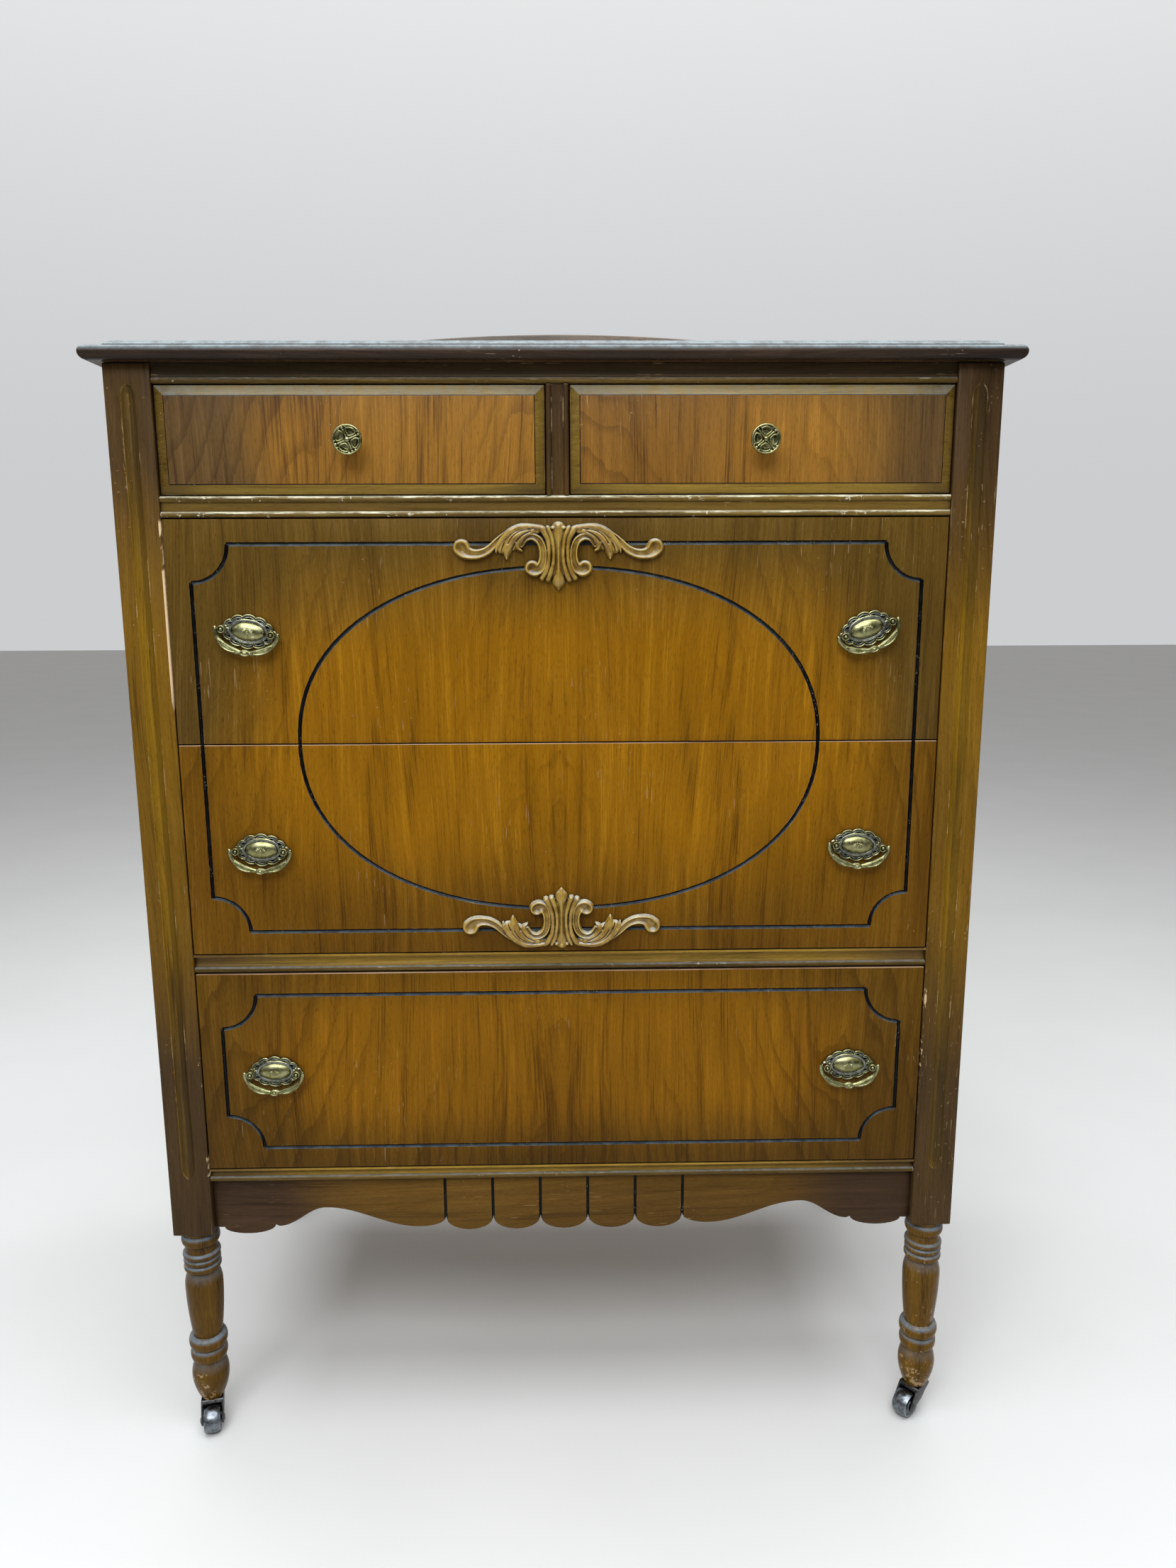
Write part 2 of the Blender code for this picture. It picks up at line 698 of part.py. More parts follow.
def make_apron():
    """The shaped apron under the bottom rail, with its upright incised lines."""
    apron = outline("front_apron", apron_points(), APRON_THICK)
    front = FRONT_Y + APRON_RECESS
    top = BOTTOM_RAIL_LOW - FIT
    for k in range(TAB_COUNT + 1):
        x = -TAB_EDGE + k * TAB_WIDTH
        line, matrix = box(
            f"apron_line_{k + 1}",
            (x - APRON_LINE_WIDTH / 2, front - CUT_OVER, top - TAB_DROP),
            (x + APRON_LINE_WIDTH / 2, front + APRON_LINE_DEPTH, top + CUT_OVER),
        )
        boolean(apron, as_cutter(line, matrix), "DIFFERENCE")
    place(apron, dark_walnut(), at(0.0, front + APRON_THICK / 2, top) @ UPRIGHT)


def make_top():
    """The top board: a bullnosed edge on three sides and a raised field set back from it."""
    half = HALF_WIDTH + TOP_OVERHANG
    front = FRONT_Y - TOP_OVERHANG
    back = BACK_Y - GALLERY_THICK - FIT
    low = CASE_TOP + FIT
    top, matrix = box("top_board", (-half, front, low), (half, back, low + NOSE_THICK))
    round_edges(top.data, NOSE_THICK / 2 - FIT, NOSE_STEPS)
    inset = half - STEP_SETBACK
    field, field_matrix = box(
        "top_field",
        (-inset, front + STEP_SETBACK, low + NOSE_THICK / 2),
        (inset, back, TOP_SURFACE),
    )
    slope_edges(field.data, STEP_SLOPE)
    boolean(top, as_cutter(field, field_matrix), "UNION")
    place(top, dark_walnut(), matrix)


def round_edges(mesh, radius, steps):
    """Rounds the level edges of a slab, apart from those of its back."""
    bm = bmesh.new()
    bm.from_mesh(mesh)
    back = max(v.co.y for v in bm.verts)
    edges = [e for e in bm.edges if any(v.co.y < back - radius for v in e.verts)]
    level = [e for e in edges if abs(e.verts[0].co.z - e.verts[1].co.z) < radius]
    bmesh.ops.bevel(
        bm, geom=level, offset=radius, segments=steps, profile=NOSE_ROUND, affect="EDGES"
    )
    bm.to_mesh(mesh)
    bm.free()


def slope_edges(mesh, run):
    """Slopes the upper front and side edges of a raised field."""
    bm = bmesh.new()
    bm.from_mesh(mesh)
    top = max(v.co.z for v in bm.verts)
    back = max(v.co.y for v in bm.verts)
    edges = [
        e
        for e in bm.edges
        if all(v.co.z > top - run for v in e.verts) and any(v.co.y < back - run for v in e.verts)
    ]
    bmesh.ops.bevel(
        bm, geom=edges, offset=run, segments=2, profile=STEP_HOLLOW, affect="EDGES"
    )
    bm.to_mesh(mesh)
    bm.free()


def gallery_points():
    """The gallery's outline from its lower left corner, with a low arch between two shoulders."""
    half = HALF_WIDTH - GALLERY_END_INSET
    low = CASE_TOP + FIT
    shoulder = TOP_SURFACE + GALLERY_SHOULDER
    crest = TOP_SURFACE + GALLERY_CREST
    corner = []
    for k in range(CORNER_STEPS + 1):
        turn = math.pi / 2 * k / CORNER_STEPS
        x = -half + GALLERY_CORNER * (1 - math.cos(turn))
        corner.append((x, shoulder - GALLERY_CORNER * (1 - math.sin(turn))))
    arch = []
    for k in range(GALLERY_STEPS + 1):
        x = -GALLERY_CREST_HALF * (1 - k / GALLERY_STEPS)
        arch.append((x, crest - x * x / (2 * GALLERY_CREST_RADIUS)))
    foot = (-GALLERY_CREST_HALF - GALLERY_RISE_RUN, shoulder)
    rise = swing(foot, arch[0], GALLERY_STEPS)
    left = [(-half, low)] + corner + [foot] + rise[:-1] + arch
    right = [(-x, z) for x, z in reversed(left[:-1])]
    return left + right


def make_gallery():
    """The low board that stands on the rear posts, behind the top board."""
    gallery = outline("back_gallery", gallery_points(), GALLERY_THICK)
    place(gallery, dark_walnut(), at(0.0, BACK_Y - GALLERY_THICK / 2, 0.0) @ UPRIGHT)


def frame_line(half_width, low, high):
    """A closed line inside a long front, with a hollow notch at each corner, as (x, z) points."""
    corners_at = ((half_width, high, 90), (-half_width, high, 180))
    corners_at += ((-half_width, low, 270), (half_width, low, 0))
    points = []
    for x, z, quarter in corners_at:
        for k in range(NOTCH_STEPS + 1):
            turn = math.radians(quarter + 180 - 90 * k / NOTCH_STEPS)
            dx = FRAME_NOTCH_RADIUS * math.cos(turn)
            points.append((x + dx, z + FRAME_NOTCH_RADIUS * math.sin(turn)))
    return points


def oval_line(half_width, half_height, middle):
    """A closed oval a little fuller than an ellipse, as (x, z) points."""
    points = []
    for k in range(OVAL_STEPS):
        turn = 2 * math.pi * (k + 0.5) / OVAL_STEPS
        c, s = math.cos(turn), math.sin(turn)
        x = half_width * math.copysign(abs(c) ** (2 / OVAL_POWER), c)
        z = half_height * math.copysign(abs(s) ** (2 / OVAL_POWER), s)
        points.append((x, middle + z))
    return points


def line_cutter(name, points):
    """A four-sided tube along a line on the drawer face, which cuts a V groove."""
    path = [(x, FACE_Y - LINE_LIFT, z) for x, z in points]
    return as_cutter(tube(name, path, [LINE_HALF_WIDTH] * len(path), 0, True))


def make_drawer(name, low, high, front):
    """A drawer from its opening's (x, z) corners: box, bottom and the empty that slides.

    The front comes as an object and the matrix of its place.
    """
    slide = seat(f"{name}_slide", at((low[0] + high[0]) / 2, FACE_Y, low[1]))
    home = slide.matrix_basis.inverted()
    left, right = low[0] + BOX_SIDE_GAP, high[0] - BOX_SIDE_GAP
    start = FRONT_BACK_Y + FIT
    end = PANEL_FRONT_Y - BOX_BACK_ROOM
    base = low[1] + RUN_GAP
    height = high[1] - BOX_TOP_ROOM - base
    walls = [(left, start), (left, end), (right, end), (right, start)]
    walls += [(right - BOX_WALL, start), (right - BOX_WALL, end - BOX_WALL)]
    walls += [(left + BOX_WALL, end - BOX_WALL), (left + BOX_WALL, start)]
    sides = outline(f"{name}_box", walls, height)
    tongue = BOX_WALL - DRAWER_BOTTOM_TONGUE
    panel_low = (left + tongue, FRONT_BACK_Y - DRAWER_BOTTOM_TONGUE, base + DRAWER_BOTTOM_RISE)
    panel_high = (right - tongue, end - tongue, panel_low[2] + DRAWER_BOTTOM_THICK)
    groove, groove_at = box(
        f"{name}_bottom_groove",
        [v - FIT for v in panel_low],
        [v + FIT for v in panel_high],
    )
    as_cutter(groove, groove_at)
    front_obj, front_at = front
    for obj in (sides, front_obj):
        boolean(obj, groove, "DIFFERENCE")
    place(sides, pale_wood(), home @ at(0.0, 0.0, base + height / 2), slide)
    place(front_obj, walnut_veneer(), home @ front_at, slide)
    board_obj, board_at = box(f"{name}_bottom", panel_low, panel_high)
    place(board_obj, pale_wood(), home @ board_at, slide)
    return slide


def front_slab(name, low, high):
    """A drawer front as a plain slab that fills its opening with a gap all round."""
    return box(name, (low[0], FACE_Y, low[1]), (high[0], FRONT_BACK_Y, high[1]))


def small_front(name, low, high):
    """A small drawer front: a raised panel inside a sloping border."""
    obj, matrix = front_slab(name, low, high)
    bm = bmesh.new()
    bm.from_mesh(obj.data)
    face = min(bm.faces, key=lambda f: f.calc_center_median().y)
    fall = SMALL_BORDER_FALL + SMALL_PANEL_LIP
    bmesh.ops.translate(bm, vec=(0.0, fall, 0.0), verts=face.verts)
    bmesh.ops.inset_region(
        bm, faces=[face], thickness=SMALL_BORDER, depth=SMALL_BORDER_FALL, use_even_offset=True
    )
    bmesh.ops.inset_region(
        bm, faces=[face], thickness=SMALL_PANEL_LIP, depth=SMALL_PANEL_LIP, use_even_offset=True
    )
    bm.to_mesh(obj.data)
    bm.free()
    return obj, matrix


def screw_hole(obj, name, x, z):
    """A clearance hole through a drawer front for a screw along Y."""
    hole = rod(name, SCREW_HOLE_RADIUS, FRONT_THICK + 2 * CUT_OVER, SCREW_SIDES)
    middle = at(x, FACE_Y + FRONT_THICK / 2, z) @ UPRIGHT
    boolean(obj, as_cutter(hole, middle), "DIFFERENCE")


def make_small_drawers():
    """The two small drawers, each with its rosette knob."""
    inner = DIVIDER_WIDTH / 2
    for side, low_x, high_x in (("left", -HALF_OPENING, -inner), ("right", inner, HALF_OPENING)):
        name = f"top_{side}_drawer"
        low, high = (low_x, SMALL_LOW), (high_x, TOP_RAIL_LOW)
        front = small_front(
            f"{name}_front",
            (low_x + DRAWER_GAP, SMALL_LOW + DRAWER_GAP),
            (high_x - DRAWER_GAP, TOP_RAIL_LOW - DRAWER_GAP),
        )
        x, z = (low_x + high_x) / 2, SMALL_LOW + SMALL_OPENING / 2 - KNOB_DROP
        screw_hole(front[0], f"{name}_screw_hole", x, z)
        slide = make_drawer(name, low, high, front)
        knob = turned(f"{side}_knob", knob_profile(), KNOB_SIDES)
        home = slide.matrix_basis.inverted()
        place(knob, old_brass(), home @ at(x, FACE_Y - FIT, z) @ FACING, slide)


def knob_profile():
    """A rosette knob's (radius, height) points: boss, dished face, rim, neck, base and screw."""
    reach = KNOB_REACH - FIT
    screw_tip = -(FRONT_THICK + SCREW_END)
    points = [(0.0, reach)]
    points += [(KNOB_RADIUS * across, reach * along) for across, along in KNOB_HEAD]
    points += [(KNOB_NECK_RADIUS, reach * KNOB_NECK_TOP), (KNOB_NECK_RADIUS, reach * KNOB_NECK_FOOT)]
    points += [(KNOB_BASE_RADIUS, KNOB_BASE_THICK), (KNOB_BASE_RADIUS, 0.0)]
    return points + [(SCREW_RADIUS, 0.0), (SCREW_RADIUS, screw_tip), (0.0, screw_tip)]


def make_long_drawers():
    """The three long drawers with their incised lines, pulls and carved ornaments."""
    line_half = HALF_OPENING - FRAME_INSET
    pair_frame = (PAIR_LOW + FRAME_INSET, UPPER_RAIL_LOW - FRAME_INSET)
    bottom_frame = (BOTTOM_LOW + FRAME_INSET, LOWER_RAIL_LOW - FRAME_INSET)
    oval_half = (pair_frame[1] - pair_frame[0]) / 2 - OVAL_TOP_ROOM
    pair_line = line_cutter("pair_frame_line", frame_line(line_half, *pair_frame))
    oval = line_cutter("pair_oval", oval_line(line_half - OVAL_SIDE_ROOM, oval_half, SEAM))
    bottom_line = line_cutter("bottom_frame_line", frame_line(line_half, *bottom_frame))
    seam_half = DRAWER_GAP / 2
    box_seam = DUSTBOARD_THICK / 2
    drawers = (
        ("upper_long_drawer", "upper", SEAM + box_seam, UPPER_RAIL_LOW, SEAM + seam_half),
        ("lower_long_drawer", "middle", PAIR_LOW, SEAM - box_seam, PAIR_LOW + DRAWER_GAP),
        ("bottom_drawer", "bottom", BOTTOM_LOW, LOWER_RAIL_LOW, BOTTOM_LOW + DRAWER_GAP),
    )
    for name, row, low, high, front_low in drawers:
        front_high = SEAM - seam_half if row == "middle" else high - DRAWER_GAP
        half = HALF_OPENING - DRAWER_GAP
        front = front_slab(f"{name}_front", (-half, front_low), (half, front_high))
        for line in (bottom_line,) if row == "bottom" else (pair_line, oval):
            boolean(front[0], line, "DIFFERENCE")
        middle = (front_low + front_high) / 2 + PULL_RISE
        pulls = []
        for side, sign in (("left", -1), ("right", 1)):
            x = sign * (HALF_OPENING - PULL_SIDE_INSET)
            tilt = math.radians(PULL_TILTS[f"{row}_{side}"])
            pulls.append((f"{row}_{side}_pull", at(x, FACE_Y, middle) @ Matrix.Rotation(tilt, 4, "Y")))
        for pull, matrix in pulls:
            for sign in (-1, 1):
                bolt = matrix @ at(sign * PULL_POST_SPACING / 2, 0.0, 0.0)
                where = bolt.to_translation()
                screw_hole(front[0], f"{pull}_hole_{'left' if sign < 0 else 'right'}", where.x, where.z)
        slide = make_drawer(name, (-HALF_OPENING, low), (HALF_OPENING, high), front)
        home = slide.matrix_basis.inverted()
        for pull, matrix in pulls:
            hang_pull(pull, home @ matrix, slide)
        if row == "upper":
            carve("upper_carving", 1, pair_frame[1] - CARVING_OFFSET, slide)
        elif row == "middle":
            carve("lower_carving", -1, pair_frame[0] + CARVING_OFFSET, slide)


def hang_pull(name, matrix, slide):
    """A back plate fixed to the drawer and its bail, which swings on the plate's two balls."""
    base = seat(f"{name}_seat", matrix, slide)
    plate = bpy.data.objects.new(f"{name}_plate", plate_mesh())
    place(plate, old_brass(), at(0.0, -FIT, 0.0), base)
    bail = bpy.data.objects.new(f"{name}_bail", bail_mesh())
    place(bail, old_brass(), at(0.0, -FIT - PIVOT_REACH, 0.0), base)


def plate_mesh():
    """The scalloped plate, plinth, boss, two ball posts and two bolts as one mesh, made once."""
    made = bpy.data.meshes.get("pull_plate")
    if made:
        return made
    rim = []
    for k in range(PLATE_STEPS):
        turn = 2 * math.pi * k / PLATE_STEPS
        grow = PLATE_SCALLOP_DEPTH * math.cos(PLATE_SCALLOPS * turn)
        x = (PLATE_HALF_WIDTH + grow) * math.cos(turn)
        rim.append((x, (PLATE_HALF_HEIGHT + grow) * math.sin(turn)))
    plate = outline("plate_blank", rim, PLATE_THICK)
    CUTTERS.objects.link(plate)
    plate.matrix_basis = at(0.0, -PLATE_THICK / 2, 0.0) @ UPRIGHT
    boss = turned("plate_boss", boss_profile(), BOSS_SIDES)
    flatten = Matrix.Scale(BOSS_FLATNESS, 4, (0.0, 1.0, 0.0))
    boolean(plate, as_cutter(boss, FACING @ flatten), "UNION")
    for side, sign in (("left", -1), ("right", 1)):
        x = sign * PULL_POST_SPACING / 2
        post = turned(f"plate_post_{side}", pull_post_profile(), SCREW_SIDES)
        boolean(plate, as_cutter(post, at(x, 0.0, 0.0) @ FACING), "UNION")
        hole = rod(f"plate_pivot_{side}", PIVOT_HOLE_RADIUS, 2 * PIVOT_DEPTH, SCREW_SIDES)
        spot = at(x + sign * PULL_BALL_RADIUS, -PIVOT_REACH, 0.0)
        turn = Matrix.Rotation(math.pi / 2, 4, "Y")
        boolean(plate, as_cutter(hole, spot @ turn), "DIFFERENCE")
    mesh = as_mesh(plate, "pull_plate")
    turn_to_object(mesh, at(0.0, -PLATE_THICK / 2, 0.0) @ UPRIGHT)
    return mesh


def boss_profile():
    """A low dome in a raised ring, as (radius, height) points from its crown into the plate."""
    rise = BOSS_REACH - BOSS_RING_REACH
    points = []
    for k in range(BEAD_STEPS + 1):
        turn = math.pi / 2 * k / BEAD_STEPS
        points.append((BOSS_HALF_WIDTH * math.sin(turn), BOSS_RING_REACH + rise * math.cos(turn)))
    points.append((BOSS_RING_HALF_WIDTH, BOSS_RING_REACH))
    return points + [(BOSS_RING_HALF_WIDTH, PLATE_THICK / 2), (0.0, PLATE_THICK / 2)]


def pull_post_profile():
    """A pull's post as (radius, height) points: ball, neck and the bolt through the front."""
    points = []
    for k in range(BEAD_STEPS + 1):
        turn = BALL_SWEEP * k / BEAD_STEPS
        height = PIVOT_REACH + PULL_BALL_RADIUS * math.cos(turn)
        points.append((PULL_BALL_RADIUS * math.sin(turn), height))
    tip = -(FRONT_THICK + SCREW_END)
    points += [(PULL_POST_RADIUS, PLATE_THICK / 2), (SCREW_RADIUS, PLATE_THICK / 2)]
    return points + [(SCREW_RADIUS, tip), (0.0, tip)]


def turn_to_object(mesh, matrix):
    """Moves a mesh that was built in a turned object into plain coordinates."""
    mesh.transform(matrix)
    smooth_shade(mesh)


def bail_mesh():
    """The hanging bail with its middle bead and its two pivot pins as one mesh, made once."""
    made = bpy.data.meshes.get("pull_bail")
    if made:
        return made
    points = [(-BAIL_HALF_WIDTH, 0.0, BAIL_END_RISE)]
    for k in range(BAIL_STEPS + 1):
        turn = math.pi * k / BAIL_STEPS
        points.append((-BAIL_HALF_WIDTH * math.cos(turn), 0.0, -BAIL_DROP * math.sin(turn)))
    points.append((BAIL_HALF_WIDTH, 0.0, BAIL_END_RISE))
    radii = []
    for x, _, z in points:
        share = max(0.0, 1 - abs(x) / BAIL_BEAD_HALF)
        radii.append(BAIL_RADIUS + (BAIL_BEAD_RADIUS - BAIL_RADIUS) * math.sqrt(share))
    bail = tube("bail_bow", points, radii, 1, False)
    CUTTERS.objects.link(bail)
    tip = PULL_POST_SPACING / 2 + PULL_BALL_RADIUS - PIVOT_DEPTH + FIT
    length = BAIL_HALF_WIDTH - tip
    for side, sign in (("left", -1), ("right", 1)):
        pin = rod(f"bail_pin_{side}", PIVOT_RADIUS, length, SCREW_SIDES)
        spot = at(sign * (tip + length / 2), 0.0, 0.0)
        turn = Matrix.Rotation(math.pi / 2, 4, "Y")
        boolean(bail, as_cutter(pin, spot @ turn), "UNION")
    mesh = as_mesh(bail, "pull_bail")
    smooth_shade(mesh)
    return mesh


def carve(name, up, middle, slide):
    """A flat-backed carved ornament on a drawer front; the lower one is the same, upside down."""
    half = CARVING_STEM_TOP + CARVING_LEAF_TOP + CARVING_ARM_TOP + CARVING_END_CURL
    half += CARVING_LEAF_TIPS + CARVING_SCROLL_INSIDE + CARVING_LOW_CURL + CARVING_STEM_FOOT
    left = [(x * CARVING_UNIT, up * z * CARVING_UNIT) for x, z in half]
    right = [(-x, z) for x, z in reversed(left[1:-1])]
    ring = left + right
    carving = outline(name, ring if up > 0 else ring[::-1], CARVING_THICK)
    home = slide.matrix_basis.inverted()
    place_at = at(0.0, FACE_Y - FIT - CARVING_THICK / 2, middle) @ UPRIGHT
    place(carving, gilt_carving(), home @ place_at, slide)


def make_casters():
    """Four swivel casters: a fork with its stem and axle, and a wheel on the axle."""
    for name, x, y in corners():
        turn = math.radians(CASTER_TURNS[name])
        swivel = seat(f"{name}_caster_swivel", at(x, y, 0.0) @ Matrix.Rotation(turn, 4, "Z"))
        fork = bpy.data.objects.new(f"{name}_caster_fork", fork_mesh())
        place(fork, dark_steel(), Matrix.Identity(4), swivel)
        wheel = bpy.data.objects.new(f"{name}_caster_wheel", wheel_mesh())
        place(wheel, dark_steel(), at(0.0, -CASTER_TRAIL, WHEEL_RADIUS), swivel)


def fork_mesh():
    """The fork: two arms under a crown, a stem that turns in the leg and a riveted axle."""
    made = bpy.data.meshes.get("caster_fork")
    if made:
        return made
    crown = CASTER_HEIGHT - FIT
    side = [(FORK_CROWN_REACH, crown), (-FORK_CROWN_REACH, crown)]
    for k in range(FORK_EYE_STEPS + 1):
        turn = math.pi * (1 + k / FORK_EYE_STEPS)
        y = -CASTER_TRAIL + FORK_EYE_RADIUS * math.cos(turn)
        side.append((y, WHEEL_RADIUS + FORK_EYE_RADIUS * math.sin(turn)))
    side.append((FORK_CROWN_REACH, crown - FORK_CROWN_THICK))
    inner = WHEEL_WIDTH / 2 + FORK_SIDE_GAP
    outer = inner + FORK_ARM_THICK
    fork = outline("fork_blank", side, 2 * outer)
    CUTTERS.objects.link(fork)
    fork.matrix_basis = ALONG_X
    reach = 2 * (CASTER_TRAIL + FORK_EYE_RADIUS)
    channel, channel_at = box(
        "fork_channel", (-inner, -reach, -CUT_OVER), (inner, reach, crown - FORK_CROWN_THICK)
    )
    boolean(fork, as_cutter(channel, channel_at), "DIFFERENCE")
    stem = rod("fork_stem", STEM_RADIUS, STEM_LENGTH + FORK_CROWN_THICK / 2, SCREW_SIDES * 2)
    stem_middle = crown + (STEM_LENGTH - FORK_CROWN_THICK / 2) / 2
    boolean(fork, as_cutter(stem, at(0.0, 0.0, stem_middle)), "UNION")
    across = at(0.0, -CASTER_TRAIL, WHEEL_RADIUS) @ Matrix.Rotation(math.pi / 2, 4, "Y")
    axle = rod("fork_axle", AXLE_RADIUS, 2 * outer, SCREW_SIDES)
    boolean(fork, as_cutter(axle, across), "UNION")
    for hand, sign in (("left", -1), ("right", 1)):
        head = rod(f"fork_rivet_{hand}", AXLE_HEAD_RADIUS, 2 * AXLE_HEAD_THICK, SCREW_SIDES)
        spot = at(sign * outer, 0.0, 0.0) @ across
        boolean(fork, as_cutter(head, spot), "UNION")
    mesh = as_mesh(fork, "caster_fork")
    turn_to_object(mesh, ALONG_X)
    return mesh


def wheel_mesh():
    """A wheel with rounded edges and a bore that runs on the axle, along X."""
    made = bpy.data.meshes.get("caster_wheel")
    if made:
        return made
    bore = (AXLE_RADIUS + FIT) / math.cos(math.pi / WHEEL_SIDES)
    half = WHEEL_WIDTH / 2
    shoulder = half - WHEEL_ROUNDING
    edge = WHEEL_RADIUS - WHEEL_ROUNDING
    profile = [(bore, half), (edge, half), (WHEEL_RADIUS, shoulder), (WHEEL_RADIUS, -shoulder)]
    profile += [(edge, -half), (bore, -half), (bore, half)]
    wheel = turned("wheel_blank", profile, WHEEL_SIDES)
    CUTTERS.objects.link(wheel)
    mesh = as_mesh(wheel, "caster_wheel")
    turn_to_object(mesh, Matrix.Rotation(math.pi / 2, 4, "Y"))
    return mesh


def main():
    """Builds the case from the ground up, then the drawers and their hardware."""
    clear_scene()
    make_posts()
    make_casters()
    make_panels()
    make_rails()
    make_divider()
    make_dustboards()
    make_apron()
    make_top()
    make_gallery()
    make_small_drawers()
    make_long_drawers()


main()
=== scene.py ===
"""Dresses the tall chest of drawers: its shaped pieces, finishes, light and camera.

Metres, +Z up, the floor at z = 0 and the front towards -Y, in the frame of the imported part.
"""

from __future__ import annotations

import json
import logging
import math
from abc import ABC, abstractmethod
from collections.abc import Callable, Iterator, Sequence
from contextlib import contextmanager
from dataclasses import dataclass, field
from enum import Enum
from functools import reduce
from operator import or_

import bmesh
import bpy
import numpy as np
from mathutils import Matrix, Vector

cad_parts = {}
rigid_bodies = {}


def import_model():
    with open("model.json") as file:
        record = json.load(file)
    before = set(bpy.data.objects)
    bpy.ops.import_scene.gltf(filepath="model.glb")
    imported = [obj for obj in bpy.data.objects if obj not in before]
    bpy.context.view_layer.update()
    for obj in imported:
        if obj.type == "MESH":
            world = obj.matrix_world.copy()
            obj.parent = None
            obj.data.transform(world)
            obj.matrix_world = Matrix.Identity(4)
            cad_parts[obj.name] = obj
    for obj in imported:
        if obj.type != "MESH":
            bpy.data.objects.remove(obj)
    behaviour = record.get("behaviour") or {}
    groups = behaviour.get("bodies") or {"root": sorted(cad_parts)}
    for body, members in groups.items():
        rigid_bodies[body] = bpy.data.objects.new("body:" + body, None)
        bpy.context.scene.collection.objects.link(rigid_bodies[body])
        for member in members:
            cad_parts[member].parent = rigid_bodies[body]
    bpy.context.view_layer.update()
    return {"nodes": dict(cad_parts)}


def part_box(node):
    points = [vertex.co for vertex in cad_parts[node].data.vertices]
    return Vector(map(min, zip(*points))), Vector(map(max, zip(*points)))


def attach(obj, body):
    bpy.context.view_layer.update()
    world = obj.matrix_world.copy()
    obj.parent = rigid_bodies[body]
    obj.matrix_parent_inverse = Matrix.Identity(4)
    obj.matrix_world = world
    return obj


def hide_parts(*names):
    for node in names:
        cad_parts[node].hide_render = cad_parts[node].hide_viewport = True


LOG = logging.getLogger("dresser")

Obj = bpy.types.Object
Material = bpy.types.Material
Socket = bpy.types.NodeSocket
Node = bpy.types.Node
Tree = bpy.types.NodeTree
Outputs = bpy.types.bpy_prop_collection
Color = tuple[float, float, float]  # red, green and blue in linear light
Point = tuple[float, float, float]
Flat = tuple[float, float]

FIT = 0.0003  # between two faces that meet
MERGE = 1e-6  # points nearer than this are one point


# Bench: selecting, shaping and joining


def take(*objs: Obj) -> Obj:
    """Selects these objects alone and makes the first one active.

    Args:
        objs: The objects to select.

    Returns:
        The active object.
    """
    bpy.ops.object.select_all(action="DESELECT")
    for obj in objs:
        obj.select_set(True)
    bpy.context.view_layer.objects.active = objs[0]
    return objs[0]


@contextmanager
def edit_mode(obj: Obj, kind: str = "FACE") -> Iterator[None]:
    """Holds one object in edit mode with nothing selected.

    Args:
        obj: The mesh object.
        kind: Select mode, VERT, EDGE or FACE.
    """
    take(obj)
    bpy.ops.object.mode_set(mode="EDIT")
    bpy.ops.mesh.select_mode(type=kind)
    bpy.ops.mesh.select_all(action="DESELECT")
    yield
    bpy.ops.object.mode_set(mode="OBJECT")


def pick(obj: Obj, kind: str, test: Callable[..., bool]) -> None:
    """Selects the parts of a mesh in edit mode that pass a test.

    Args:
        obj: The object in edit mode.
        kind: Which parts, "verts", "edges" or "faces".
        test: Says of each part whether it is selected.
    """
    mesh = bmesh.from_edit_mesh(obj.data)
    for part in getattr(mesh, kind):
        part.select_set(bool(test(part)))
    mesh.select_flush_mode()
    bmesh.update_edit_mesh(obj.data)


def tidy_faces() -> None:
    """Merges doubles and turns all faces outwards, in edit mode."""
    bpy.ops.mesh.select_all(action="SELECT")
    bpy.ops.mesh.remove_doubles(threshold=MERGE)
    bpy.ops.mesh.normals_make_consistent(inside=False)


def cut_flat(depth: float) -> None:
    """Cuts a mesh in edit mode flat at a depth, and closes the back of what lies in front."""
    bpy.ops.mesh.select_all(action="SELECT")
    plane = {"plane_co": (0.0, depth, 0.0), "plane_no": (0.0, 1.0, 0.0)}
    bpy.ops.mesh.bisect(**plane, use_fill=True, clear_outer=True)
    tidy_faces()


def settle_place(obj: Obj, name: str) -> Obj:
    """Names an object and moves its place into its mesh.

    Args:
        obj: The object.
        name: Its new name.

    Returns:
        The same object.
    """
    obj.name = obj.data.name = name
    take(obj)
    bpy.ops.object.transform_apply(location=True, rotation=True, scale=True)
    return obj


def block(name: str, low: Sequence[float], high: Sequence[float]) -> Obj:
    """A rectangular block between two corners.

    Args:
        name: The object's name.
        low: Its lowest corner.
        high: Its highest corner.

    Returns:
        The new object.
    """
    size = [b - a for a, b in zip(low, high)]
    middle = [(a + b) / 2 for a, b in zip(low, high)]
    bpy.ops.mesh.primitive_cube_add(size=1.0, location=middle, scale=size)
    return settle_place(bpy.context.object, name)


def ball(name: str, middle: Point, radii: Point, around: int = 24) -> Obj:
    """An egg-shaped ball with three half sizes, of so many segments."""
    bpy.ops.mesh.primitive_uv_sphere_add(
        segments=around, ring_count=around // 2, radius=1.0, location=middle, scale=radii
    )
    return settle_place(bpy.context.object, name)


